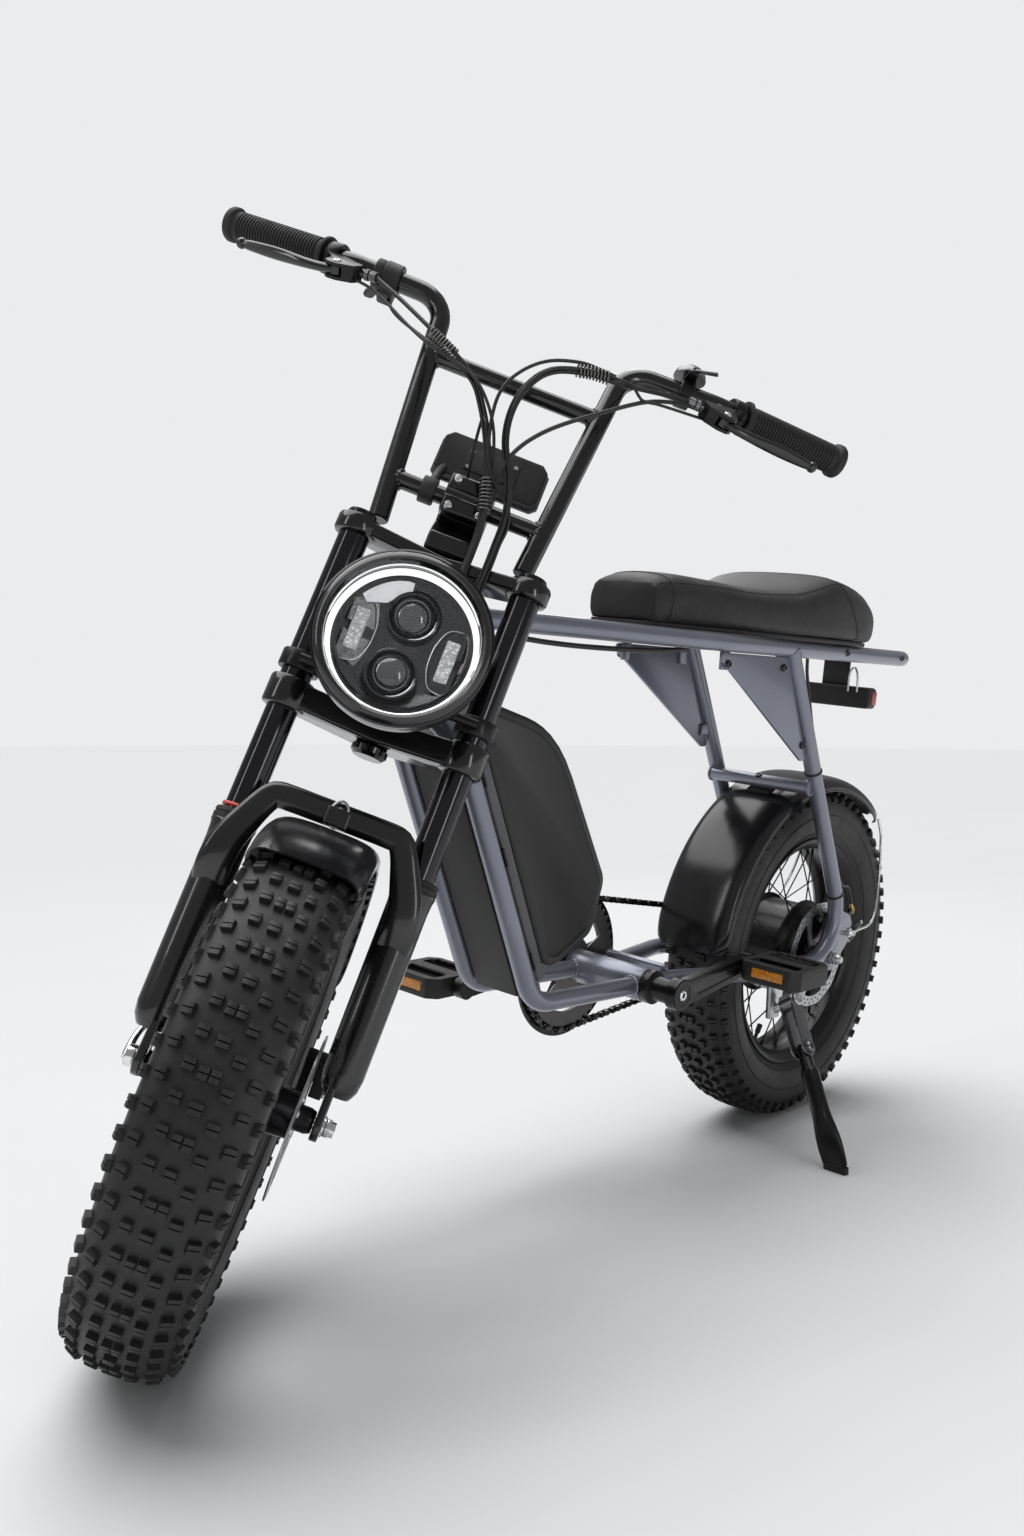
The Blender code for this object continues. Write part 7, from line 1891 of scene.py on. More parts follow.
def tooth_wheel(teeth, pitch_radius, thickness, first_tip):
    """A disc with rounded teeth, its first tip at an angle."""
    outline = []
    for tooth in range(teeth):
        for share, reach in ((-0.50, -0.0040), (-0.34, -0.0036), (-0.22, -0.0012), (-0.10, 0.0022),
                             (0.0, 0.0028), (0.10, 0.0022), (0.22, -0.0012), (0.34, -0.0036)):
            angle = first_tip + 2 * math.pi * (tooth + share) / teeth
            radius = pitch_radius + reach
            outline.append((radius * math.cos(angle), radius * math.sin(angle)))
    return prism(outline, -CHAIN_LINE - thickness / 2, -CHAIN_LINE + thickness / 2)


def round_window(reach, half_width, start, end, low, high):
    """A cutter shaped as a slot that follows a circle, from one angle to another."""
    outer = arc((0, 0), reach + half_width, start, end, 10)
    inner = arc((0, 0), reach - half_width, end, start, 10)
    return prism(eased_outline(outer + inner, half_width * 0.5, 3), low, high)


def chain_wheel():
    """The toothed ring on its five arms."""
    disc = tooth_wheel(RING_TEETH, RING_PITCH, 0.0026, CHAIN_HEADING + CHAIN_LEAN)
    tools = [rod((0, -0.08, 0), (0, -0.05, 0), 0.0178, 48)]
    for turn in ARM_TURNS:
        tools.append(round_window(0.051, 0.014, turn + 12, turn + 60, -CHAIN_LINE - 0.004,
                                  -CHAIN_LINE + 0.004))
    return softened(cut(disc, *tools), 0.0004, 1)


GUARD_LOW = -CHAIN_LINE - 0.00375 - 0.0045


def chain_guard():
    """The round guard outside the chain, with its slots and its five bolts' seats."""
    profile = [(GUARD_LOW, 0.068), (GUARD_LOW, GUARD_RADIUS - 0.001), (GUARD_LOW + 0.001, GUARD_RADIUS),
               (GUARD_LOW + 0.003, GUARD_RADIUS), (GUARD_LOW + 0.003, 0.068)]
    disc = lathe(profile, 96)
    tools = []
    for index in range(10):
        turn = 36 * index + 2
        tools.append(round_window(0.0835, 0.0050, turn, turn + 24, GUARD_LOW - 0.01, GUARD_LOW + 0.01))
    return softened(cut(disc, *tools), 0.0006, 2)


def guard_bolts():
    heads = []
    for turn in ARM_TURNS:
        angle = math.radians(turn)
        spot = Vector((0.073 * math.cos(angle), 0, 0.073 * math.sin(angle)))
        heads.append(rod(spot + Vector((0, -CHAIN_LINE, 0)), spot + Vector((0, GUARD_LOW + 0.001, 0)),
                         0.0046, 20))
        heads.append(socket_bolt(spot + Vector((0, GUARD_LOW + 0.0002, 0)), (0, -1, 0), 0.0050, 0.0022))
    return joined(*heads)


def crank_arm(end, hand):
    """A forged arm: deep at its boss, slim at the pedal eye, with a shallow hollow."""
    low = CRANK_PLANE - 0.007
    high = CRANK_PLANE + 0.007
    outline = belt((0, 0), 0.0165, tuple(end), 0.0122, 14)
    arm = prism(outline, low, high)
    along = Vector(end).normalized()
    hollow = belt(tuple(along * 0.034), 0.0072, tuple(along * 0.126), 0.0050, 8)
    tool = prism(hollow, high - 0.0012, high + 0.01)
    arm = softened(cut(arm, tool), 0.0028, 4, 40)
    eye = lathe([(low - 0.001, 0.0), (low - 0.001, 0.0128), (low, 0.0140), (high, 0.0140),
                 (high + 0.0008, 0.0132), (high + 0.0008, 0.0098), (high - 0.0004, 0.0092),
                 (high - 0.0004, 0.0)], 40)
    return on_side(joined(arm, shifted(eye, (end[0], 0, end[1]))), hand)


def crank_cap(hand):
    """The boss's outer face: a dished ring round the spindle's bolt."""
    out = CRANK_PLANE + 0.007
    return on_side(lathe([(out - 0.012, 0.0), (out - 0.012, 0.0195), (out - 0.001, 0.0200),
                          (out + 0.0006, 0.0188), (out + 0.0006, 0.0142), (out - 0.0010, 0.0134),
                          (out - 0.0010, 0.0)], 56), hand)


def crank_bolt(hand):
    out = CRANK_PLANE + 0.006
    washer = sleeve(out - 0.0005, out + 0.0004, 0.0088, 0.0122, 36)
    return on_side(joined(washer, socket_bolt((0, out - 0.002, 0), (0, 1, 0), 0.0078, 0.0040)), hand)


def make_crank_right():
    """The right arm with the spindle and the five-armed seat of the chainring."""
    end = BRACKET_HALF_LENGTH
    seat_face = -(CHAIN_LINE + 0.0016)
    spindle = lathe([(end + 0.016, 0.0), (end + 0.016, 0.0105), (-end - RUNNING, 0.0105),
                     (-end - RUNNING, 0.0172), (seat_face, 0.0172), (seat_face, 0.031),
                     (seat_face - 0.006, 0.029), (seat_face - 0.012, 0.0205),
                     (-CRANK_PLANE + 0.004, 0.0200), (-CRANK_PLANE + 0.004, 0.0)], 56)
    arms = []
    for turn in ARM_TURNS:
        arm = prism(belt((0.022, 0), 0.012, (0.060, 0), 0.0075, 6), seat_face - 0.0042, seat_face)
        arms.append(placed(softened(arm, 0.001, 2), Matrix.Rotation(-math.radians(turn), 4, "Y")))
    return joined(spindle, crank_arm(CRANK_END, -1), crank_cap(-1), *arms)


def make_crank_left():
    near = BRACKET_HALF_LENGTH + RUNNING
    boss = lathe([(near, 0.0140), (near, 0.0208), (near + 0.001, 0.0215), (near + 0.011, 0.0215),
                  (near + 0.014, 0.0155), (CRANK_PLANE - 0.008, 0.0155), (CRANK_PLANE - 0.008, 0.020),
                  (CRANK_PLANE, 0.020), (CRANK_PLANE, 0.0), (near + 0.0165, 0.0),
                  (near + 0.0165, 0.014)], 56)
    return joined(boss, crank_arm(-CRANK_END, 1), crank_cap(1))


def bracket_cups():
    """The bearing cups' rims at both ends of the bracket shell."""
    face = BRACKET_HALF_LENGTH - 0.0004
    rims = [on_side(sleeve(face - 0.004, face, 0.0115, 0.0190, 48), hand) for hand in HANDS]
    return shifted(joined(*rims), (BRACKET[0], 0, BRACKET[1]))


PEDAL_NEAR = CRANK_PLANE + 0.011
PEDAL_SIZE = (0.092, 0.088, 0.026)
PEDAL_MIDDLE = PEDAL_NEAR + PEDAL_SIZE[1] / 2


def pedal_body(end):
    """The moulded cage with its two openings, its core tube and the reflectors' seats."""
    half = Vector(PEDAL_SIZE) / 2
    corners = [(-half.x, -half.y + 0.012), (-half.x + 0.012, -half.y), (half.x - 0.012, -half.y),
               (half.x, -half.y + 0.012), (half.x, half.y - 0.012), (half.x - 0.012, half.y),
               (-half.x + 0.012, half.y), (-half.x, half.y - 0.012)]
    cage = prism(eased_outline(corners, 0.006), -half.z, half.z, "Z")
    tools = []
    for hand in HANDS:
        window = [(hand * 0.0125, -0.034), (hand * 0.0330, -0.034), (hand * 0.0330, 0.034),
                  (hand * 0.0125, 0.034)]
        tools.append(prism(eased_outline(window, 0.004), -0.05, 0.05, "Z"))
        tools.append(block((hand * 0.0435 - 0.004, -0.0235, -0.0068),
                           (hand * 0.0435 + 0.006, 0.0235, 0.0068)))
        for level in (1, -1):
            tools.append(block((hand * 0.0228 - 0.0165, -0.0300, level * 0.0125 - 0.003),
                               (hand * 0.0228 + 0.0040, 0.0300, level * 0.0125 + 0.003)))
    core = rod((0, -half.y + 0.002, 0), (0, half.y - 0.002, 0), 0.0115, 28, 0.0012)
    cap = lathe([(half.y - 0.004, 0.0), (half.y - 0.004, 0.0085), (half.y - 0.0002, 0.0080),
                 (half.y - 0.0002, 0.0)], 28)
    made = joined(softened(cut(cage, *tools), 0.0010, 2), core, cap)
    return shifted(made, (end[0], PEDAL_MIDDLE, end[1]))


def pedal_pins(end):
    """The short studs moulded along both edges of both faces."""
    rows = []
    for ahead in (-0.0390, 0.0390):
        stud = shifted(sleeve(-0.0128, 0.0128, 0.0, 0.0016, 10, "Z"),
                       (end[0] + ahead, PEDAL_MIDDLE - 0.030, end[1]))
        rows.append(repeated(stud, 6, PLASTIC, step=(0, 0.012, 0)))
    return joined(*rows)


def pedal_axle(end):
    """The pedal's spindle with its flats and its washer."""
    shaft = rod((0, CRANK_PLANE - 0.006, 0), (0, PEDAL_NEAR + 0.010, 0), 0.0045, 24)
    flats = prism(ring((0, 0), 0.0078, 6), PEDAL_NEAR - 0.0026, PEDAL_NEAR + 0.0030)
    washer = sleeve(CRANK_PLANE + 0.0078, CRANK_PLANE + 0.009, 0.0048, 0.0074, 28)
    return shifted(joined(shaft, softened(flats, 0.0005, 2), washer), (end[0], 0, end[1]))


def pedal_reflectors(end):
    """Amber reflectors let into the pedal's front and back edges."""
    panes = []
    for hand in HANDS:
        face = hand * (PEDAL_SIZE[0] / 2 - 0.0008)
        low, high = sorted((face, face - hand * 0.0040))
        pane = block((low, -0.0226, -0.0062), (high, 0.0226, 0.0062), 0.0008)
        panes.append(shifted(pane, (end[0], PEDAL_MIDDLE, end[1])))
    return joined(*panes)


def paint_dot():
    """The fitter's dot of paint on the left arm."""
    spot = -CRANK_END.normalized() * 0.139
    return shifted(sleeve(0, 0.0003, 0, 0.0021, 20), (spot.x, CRANK_PLANE + 0.0069, spot.y))


def chain_links():
    """Outer and inner links laid by turns along the chain's line."""
    links = [strung(chain_link(outer), chain_points(start), CHAIN_LINKS // 2, DARK_STEEL, closed=True)
             for outer, start in ((True, 0.0), (False, LINK_STEP))]
    return joined(*links)


def freewheel_cog():
    """The rear cog, turned so that its teeth meet the chain, with its lock ring."""
    ring_wrap = RING_PITCH * (2 * math.pi - 2 * CHAIN_LEAN)
    straight = SPROCKET.length * math.sin(CHAIN_LEAN)
    mid_length = ring_wrap + straight + SPROCKET_PITCH * CHAIN_LEAN
    nearest = round(mid_length / LINK_STEP) * LINK_STEP
    first_tip = CHAIN_HEADING + (nearest - mid_length) / SPROCKET_PITCH
    cog = tooth_wheel(SPROCKET_TEETH, SPROCKET_PITCH, 0.0026, first_tip)
    cog = cut(cog, rod((0, -0.08, 0), (0, -0.05, 0), 0.0128, 32))
    lock_ring = lathe([(-CHAIN_LINE - 0.0045, 0.0130), (-CHAIN_LINE - 0.0045, 0.0225),
                       (-CHAIN_LINE + 0.0045, 0.0235), (-CHAIN_LINE + 0.0045, 0.0130)], 48)
    return joined(softened(cog, 0.0004, 1), lock_ring)


fit_out(CRANKS, "cranks",
        (make_crank_right(), "crank_forged_right", "satin_black", SATIN, "crank_right"),
        (make_crank_left(), "crank_forged_left", "satin_black", SATIN, "crank_left"),
        (joined(crank_bolt(1), crank_bolt(-1)), "crank_bolts", "steel", CHROME))
fit_out(BIKE, "frame", (bracket_cups(), "bracket_cups", "dark_steel", DARK_STEEL))
fit_out(CRANKS, "cranks",
        (paint_dot(), "crank_paint_dot", "satin_black", PAINT_DOT),
        (chain_wheel(), "chainring_toothed", "dark_steel", DARK_STEEL, "chainring"),
        (chain_guard(), "chain_guard", "satin_black", GLOSS),
        (guard_bolts(), "chain_guard_bolts", "steel", STEEL))
fit_out(CRANKS, "frame", (chain_links(), "chain_links", "dark_steel", DARK_STEEL, "chain"))
fit_out(REAR_WHEEL, "sprocket",
        (freewheel_cog(), "freewheel_cog", "dark_steel", DARK_STEEL, "freewheel"))
for (hand, side), end in zip(SIDES, (-CRANK_END, CRANK_END)):
    fit_out(CRANKS, side + "_pedal",
            (on_side(pedal_body(end), hand), "pedal_cage_" + side, "satin_black", PLASTIC, "pedal_" + side),
            (on_side(pedal_pins(end), hand), "pedal_studs_" + side, "satin_black", PLASTIC),
            (on_side(pedal_axle(end), hand), "pedal_spindle_" + side, "steel", STEEL),
            (on_side(pedal_reflectors(end), hand), "pedal_reflectors_" + side, "steel", AMBER))


# Kickstand

WORLD_UP = BIKE.inverted().to_3x3() @ Vector((0, 0, 1))
STAND_FOOT = Vector((0.212, 0.234, 0.0252))
STAND_ANKLE = STAND_FOOT + WORLD_UP * 0.008
STAND_DOWN = (STAND_ANKLE - KICKSTAND_PIVOT).normalized()
STAND_SIDE = STAND_DOWN.cross(WORLD_UP).normalized()
STAND_FRONT = STAND_DOWN.cross(STAND_SIDE).normalized()
FOOT_TURN = 74


def kickstand_leg():
    """The leg below its arm, its lower end flattened, flared and twisted into a foot."""
    length = (STAND_ANKLE - KICKSTAND_PIVOT).length
    rings = []
    for share, wide, thick, turn in ((0.27, 0.0060, 0.0060, 0), (0.29, 0.0092, 0.0092, 0),
                                     (0.41, 0.0092, 0.0092, 0), (0.43, 0.0118, 0.0118, 0),
                                     (0.44, 0.0126, 0.0126, 0), (0.66, 0.0126, 0.0126, 0),
                                     (0.70, 0.0132, 0.0112, 8), (0.76, 0.0146, 0.0086, 24),
                                     (0.82, 0.0162, 0.0064, 40), (0.88, 0.0178, 0.0050, 54),
                                     (0.94, 0.0192, 0.0042, 66), (1.0, 0.0200, 0.0040, FOOT_TURN),
                                     (1.02, 0.0192, 0.0030, FOOT_TURN)):
        angle = math.radians(turn)
        one = math.cos(angle) * STAND_SIDE + math.sin(angle) * STAND_FRONT
        two = STAND_DOWN.cross(one).normalized()
        middle = KICKSTAND_PIVOT + STAND_DOWN * length * share
        spots = []
        for reach_one, reach_two in squared_ring(32, 0.7 if share > 0.8 else 1.0):
            spot = middle + one * wide * reach_one + two * thick * reach_two
            sunk = min((spot - STAND_FOOT).dot(WORLD_UP), 0.0)
            spots.append(spot - WORLD_UP * sunk)
        rings.append(spots)
    return lofted(rings)


def kickstand_lip():
    """The turned-up edge along the foot's end, which stands on the ground."""
    turn = math.radians(FOOT_TURN)
    along = math.cos(turn) * STAND_SIDE + math.sin(turn) * STAND_FRONT
    along = (along - WORLD_UP * along.dot(WORLD_UP)).normalized()
    bar = block((-0.0185, -0.0045, -0.0048), (0.0185, 0.0045, 0.0062), 0.0018)
    return placed(bar, basis(STAND_FOOT + WORLD_UP * 0.0048, along, WORLD_UP))


def kickstand_arm():
    """The pressed steel arm on the pivot, with the round bolt that holds the leg."""
    across = KICKSTAND_AXIS
    end = KICKSTAND_PIVOT + STAND_DOWN * 0.068
    barrel = rod(KICKSTAND_PIVOT - across * 0.0122, KICKSTAND_PIVOT + across * 0.0122, 0.0125, 40, 0.0015)
    sides = []
    for low, high in ((0.0082, 0.0118), (-0.0118, -0.0082)):
        cheek = prism(belt((0, 0), 0.0115, (0.068, 0), 0.0125, 14), low, high, "Z")
        sides.append(softened(cheek, 0.0009, 2))
    arms = placed(joined(*sides), basis(KICKSTAND_PIVOT, STAND_DOWN, across))
    bolt = socket_bolt(end + across * 0.0116, across, 0.0072, 0.0040)
    washer = placed(sleeve(0.0117, 0.0128, 0.0, 0.0100, 36, "Z"), basis(end, STAND_DOWN, across))
    core = rod(end - across * 0.0125, end + across * 0.0125, 0.0050, 20)
    return joined(barrel, arms, bolt, washer, core)


fit_out(BIKE, "kickstand",
        (kickstand_leg(), "kickstand_leg_twisted", "satin_black", SATIN, "kickstand_leg"),
        (kickstand_lip(), "kickstand_foot_lip", "satin_black", SATIN),
        (kickstand_arm(), "kickstand_arm", "steel", GREY_METAL))


# Fork

def on_leg(item, hand):
    """Moves a shape drawn about the steering axis to one leg of the fork."""
    return shifted(item, (LEG_AHEAD, hand * LEG_HALF_SPACING, 0))


def crown_outline(end_radius, centre_radius):
    """The outline of a crown: two round clamps joined by a wide middle."""
    end = Vector((LEG_AHEAD, LEG_HALF_SPACING))
    heading = math.degrees(math.atan2(end.y, end.x))
    lean = math.degrees(math.acos((centre_radius - end_radius) / end.length))
    near = heading - lean
    far = heading + lean
    outline = arc(end, end_radius, near, far, 16)
    outline += arc((0, 0), centre_radius, far, 360 - far, 12)
    outline += arc((end.x, -end.y), end_radius, 360 - far, 360 - near, 16)
    outline.append((centre_radius / math.cos(math.radians(near)), 0.0))
    return outline


def crown(low, high, drop):
    """A forged crown: two round clamps with full edges, and the web between them."""
    web = prism(crown_outline(CROWN_END_RADIUS - 0.0032, CROWN_CENTRE_RADIUS - 0.001),
                low + 0.0024, high - 0.0030, "Z")
    parts = []
    outer = CROWN_END_RADIUS
    for hand in HANDS:
        collar = lathe([(low, 0.0164), (low, outer - 0.0034), (low + 0.0010, outer - 0.0012),
                        (low + 0.0034, outer), (high - 0.0034, outer), (high - 0.0010, outer - 0.0012),
                        (high, outer - 0.0034), (high, 0.0186), (high - 0.0012, 0.0172),
                        (high - 0.0012, 0.0164)], 72, "Z")
        parts.append(on_leg(collar, hand))
    parts.append(softened(web, 0.0030, 4, 50))
    if drop:
        parts.append(rod((0.002, 0, low - drop), (0.002, 0, low + 0.004), CROWN_CENTRE_RADIUS * 0.66,
                         48, 0.004))
    return joined(*parts)


def crown_bolts(low, high):
    """Pinch bolts behind both clamps."""
    heads = []
    middle = (low + high) / 2
    levels = (middle,) if high - low < 0.025 else (middle - 0.008, middle + 0.008)
    ahead = LEG_AHEAD - 0.0165
    for hand in HANDS:
        for level in levels:
            near = (ahead, hand * (LEG_HALF_SPACING - 0.0165), level)
            heads.append(rod(near, (ahead, hand * (LEG_HALF_SPACING - 0.010), level), 0.0045, 20))
            heads.append(socket_bolt(near, (0, -hand, 0), 0.0040, 0.0030))
    return joined(*heads)


def steerer():
    """The steering tube with the dust ring under the upper crown."""
    stem_tube = rod((0, 0, LOWER_CROWN[0]), (0, 0, UPPER_CROWN[1] - FIT), 0.0142, 32)
    dust_ring = sleeve(UPPER_CROWN[0] - 0.006, UPPER_CROWN[0] - FIT, 0.0143, 0.0235, 48, "Z")
    return joined(stem_tube, dust_ring)


STANCHION_TOP = UPPER_CROWN[1] + 0.007
STANCHION_FOOT = 0.1265
SLIDER_FLOOR = 0.0655


def stanchion(hand):
    top = STANCHION_TOP
    return on_leg(lathe([(STANCHION_FOOT, 0.0), (STANCHION_FOOT, STANCHION_RADIUS),
                         (top - 0.003, STANCHION_RADIUS), (top - 0.0026, STANCHION_RADIUS - 0.0008),
                         (top - 0.0026, 0.0)], 48, "Z"), hand)


def stanchion_cap(hand):
    """The hexagon-socket cap in the stanchion's end."""
    top = STANCHION_TOP
    return on_leg(lathe([(top - 0.003, 0.0), (top - 0.003, STANCHION_RADIUS - 0.0010),
                         (top - 0.0006, STANCHION_RADIUS - 0.0012), (top, STANCHION_RADIUS - 0.0030),
                         (top, 0.0075), (top - 0.0016, 0.0070), (top - 0.0016, 0.0)], 40, "Z"), hand)


def seal_rings(hand):
    """The two wiper rings at the slider's mouth."""
    seal = SLIDER_TOP - 0.0005
    profile = [(seal - 0.011, 0.0170), (seal - 0.011, 0.0226), (seal - 0.0065, 0.0228),
               (seal - 0.0058, 0.0216), (seal - 0.0048, 0.0216), (seal - 0.0042, 0.0226),
               (seal - 0.0010, 0.0220), (seal + 0.0005, 0.0196), (seal + 0.0005, SLIDER_BORE)]
    return on_leg(lathe(profile, 56, "Z"), hand)


def slider(hand):
    """One lower leg: slim at the foot, swelling to its collar."""
    seal = SLIDER_TOP - 0.0120
    profile = [
        (SLIDER_BOTTOM, 0.0), (SLIDER_BOTTOM, 0.0120), (SLIDER_BOTTOM + 0.002, 0.0142),
        (SLIDER_BOTTOM + 0.010, 0.0185), (SLIDER_BOTTOM + 0.022, 0.0203), (0.110, 0.0206),
        (seal - 0.018, 0.0209), (seal - 0.006, 0.0218), (seal - 0.003, 0.0228), (seal - 0.0012, 0.0230),
        (seal, 0.0224), (seal, SLIDER_BORE), (SLIDER_FLOOR, SLIDER_BORE), (SLIDER_FLOOR, 0.0),
    ]
    return on_leg(lathe(profile, 56, "Z"), hand)


def slider_bore(hand):
    """The room inside a slider for the stanchion, as a cutting tool."""
    return on_leg(rod((0, 0, SLIDER_FLOOR), (0, 0, 0.30), SLIDER_BORE, 48), hand)


ARCH_LINE = (
    (0.0300, 0.0935, 0.150), (0.0420, 0.0940, 0.172), (0.0530, 0.0938, 0.196), (0.0568, 0.0905, 0.2180),
    (0.0578, 0.0800, 0.2450), (0.0578, 0.0705, 0.2655), (0.0578, 0.0635, 0.2738),
    (0.0578, 0.0480, 0.2755), (0.0578, 0.0240, 0.2757), (0.0578, 0.0, 0.2757),
)
ARCH_WIDTHS = ((0.0, 0.0100), (0.16, 0.0165), (0.30, 0.0175), (0.42, 0.0160), (0.6, 0.0136),
               (0.75, 0.0130), (1.0, 0.0128))
ARCH_DEPTHS = ((0.0, 0.0040), (0.16, 0.0090), (0.30, 0.0100), (0.5, 0.0084), (1.0, 0.0080))


def fork_arch():
    """The thick arch over the tyre: a bar with a full round section that widens into the sliders."""
    half = curve_through(ARCH_LINE, 0.004)
    last = len(half) - 1
    path = over_middle(half)
    rings = []
    for index, spot in enumerate(path):
        heading = (path[min(index + 1, 2 * last)] - path[max(index - 1, 0)]).normalized()
        deep = Vector((1, 0, 0)) - heading * heading.x
        deep.normalize()
        wide = heading.cross(deep)
        share = min(index, 2 * last - index) / last
        width = eased(share, ARCH_WIDTHS)
        depth = eased(share, ARCH_DEPTHS)
        rings.append([spot + wide * width * one + deep * depth * two
                      for one, two in squared_ring(36, 0.72)])
    return lofted(rings)


def fork_dropout(hand):
    plate_y = hand * FORK_DROPOUT_Y
    half = DROPOUT_THICKNESS / 2
    foot = arc((FORK_OFFSET, 0), 0.0160, -170, 10, 16)
    foot += [(LEG_AHEAD + 0.0170, SLIDER_BOTTOM + 0.010), (LEG_AHEAD + 0.0165, SLIDER_BOTTOM + 0.030),
             (LEG_AHEAD - 0.0145, SLIDER_BOTTOM + 0.030), (LEG_AHEAD - 0.0150, SLIDER_BOTTOM + 0.010)]
    plate = prism(foot, plate_y - half, plate_y + half)
    hole = rod((FORK_OFFSET, plate_y - 0.02, 0), (FORK_OFFSET, plate_y + 0.02, 0), AXLE_HOLE, 24)
    return softened(cut(plate, hole), 0.0016, 3)


def fork_lowers():
    """Both sliders with the arch, the dropouts, the caliper's tab and the mudguard's seat."""
    tab_y = FRONT_ROTOR_Y + 0.0148
    tab = [(LEG_AHEAD - 0.010, 0.036), (LEG_AHEAD - 0.010, 0.090), (0.006, 0.080), (-0.010, 0.062),
           (-0.006, 0.050), (0.006, 0.044)]
    seat = block((0.058, -0.012, 0.2630), (0.0700, 0.012, 0.2818), 0.002)
    tab_plate = softened(prism(eased_outline(tab, 0.004), tab_y, tab_y + 0.006), 0.0012, 2)
    parts = [slider(1), slider(-1), cut(fork_arch(), slider_bore(1), slider_bore(-1)), fork_dropout(1),
             fork_dropout(-1), cut(tab_plate, slider_bore(1)), seat]
    return joined(*parts)


def arch_clip():
    """The upright wire loop over the middle of the arch, with its bolt."""
    loop = [Vector((0.0676, 0.009 * math.cos(angle), 0.2757 + 0.0136 * math.sin(angle)))
            for angle in around(32)]
    return joined(tube(loop, 0.0013, 10, closed=True),
                  socket_bolt((0.0655, 0, 0.2800), (1, 0, 0), 0.0036, 0.0028))


def quick_release():
    """The front axle with its nut and the curved lever with its ball end."""
    reach = FORK_DROPOUT_Y + DROPOUT_THICKNESS / 2
    out = -(reach + 0.0090)
    parts = [axle_shaft(reach + 0.006), axle_end(1, FORK_DROPOUT_Y, 0.003)]
    drum = lathe([(out + 0.0088, 0.0), (out + 0.0088, 0.0100), (out + 0.0070, 0.0108),
                  (out, 0.0104), (out - 0.0012, 0.0090), (out - 0.0012, 0.0)], 40)
    path = curve_through([(0.004, out - 0.0002, -0.003), (-0.010, out - 0.0022, 0.006),
                          (-0.026, out - 0.0028, 0.019), (-0.044, out + 0.0006, 0.0325)], 0.002)
    last = len(path) - 1
    lever = tube(path, 0.004, 16, radii=[0.0042 - 0.0012 * step / last for step in range(last + 1)])
    ball = lathe([(-0.0054, 0.0), (-0.0046, 0.0028), (-0.0022, 0.0049), (0.0, 0.0054), (0.0022, 0.0049),
                  (0.0046, 0.0028), (0.0054, 0.0)], 24)
    return shifted(joined(*parts, drum, lever, shifted(ball, path[-1])), (FORK_OFFSET, 0, 0))


def travel_ring():
    """The red ring that marks how far the right leg has sunk."""
    profile = [(0.2503, 0.0161), (0.2498, 0.0178), (0.2517, 0.0190), (0.2536, 0.0178), (0.2531, 0.0161)]
    return on_leg(lathe(profile, 40, "Z"), -1)


fit_out(FORK, "steering",
        (joined(crown(*LOWER_CROWN, 0.010), steerer()), "lower_crown_forged", "gloss_black", GLOSS,
         "lower_crown"),
        (crown_bolts(*LOWER_CROWN), "lower_crown_bolts", "steel", STEEL),
        (crown(*UPPER_CROWN, 0.0), "upper_crown_forged", "gloss_black", GLOSS, "upper_crown"),
        (crown_bolts(*UPPER_CROWN), "upper_crown_bolts", "steel", STEEL))
for hand, side in SIDES:
    fit_out(FORK, "steering",
            (stanchion(hand), "stanchion_tube_" + side, "gloss_black", BLACK_CHROME, "stanchion_" + side),
            (stanchion_cap(hand), "stanchion_cap_" + side, "satin_black", SATIN))
    fit_out(FORK, "fork_legs", (seal_rings(hand), "slider_seal_" + side, "rubber", GRIP))
front_guard = mudguard(TYRE_RADIUS + 0.0048, 0.054, 0.0185, (FORK_OFFSET, 0), 54, 148, 0.06)
fit_out(FORK, "fork_legs",
        (travel_ring(), "travel_o_ring", "red_lens", RED_RUBBER),
        (fork_lowers(), "fork_sliders_and_arch", "gloss_black", ENAMEL, "fork_lowers"),
        (arch_clip(), "arch_wire_clip", "steel", STEEL),
        (quick_release(), "front_axle_lever", "steel", CHROME, "front_axle"),
        (front_guard, "front_mudguard", "black_plastic", MUDGUARD, "front_fender"))


# Front lamp

def lamp_shell():
    """The lamp's bowl behind the bezel."""
    profile = [
        (LAMP_BACK, 0.0), (LAMP_BACK, 0.026), (LAMP_BACK + 0.003, 0.036), (LAMP_BACK + 0.012, 0.0530),
        (LAMP_BACK + 0.022, 0.0650), (LAMP_BACK + 0.034, 0.0745), (LAMP_BACK + 0.046, 0.0802),
        (LAMP_RIM - 0.006, 0.0828), (LAMP_RIM, 0.0832), (LAMP_RIM, 0.0745), (LAMP_FLOOR, 0.0745),
        (LAMP_FLOOR, 0.0),
    ]
    return lathe(profile, 96, "X")


def lamp_bezel():
    inner = LAMP_RADIUS - 0.0125
    profile = [
        (LAMP_RIM + FIT, inner), (LAMP_FRONT - 0.0090, inner), (LAMP_FRONT - 0.0012, inner + 0.0016),
        (LAMP_FRONT, inner + 0.0036), (LAMP_FRONT - 0.0008, inner + 0.0062),
        (LAMP_FRONT - 0.0050, LAMP_RADIUS - 0.0026), (LAMP_FRONT - 0.0084, LAMP_RADIUS - 0.0014),
        (LAMP_RIM - 0.008, LAMP_RADIUS - 0.0014), (LAMP_RIM - 0.008, 0.0836), (LAMP_RIM + FIT, 0.0836),
    ]
    return lathe(profile, 96, "X")


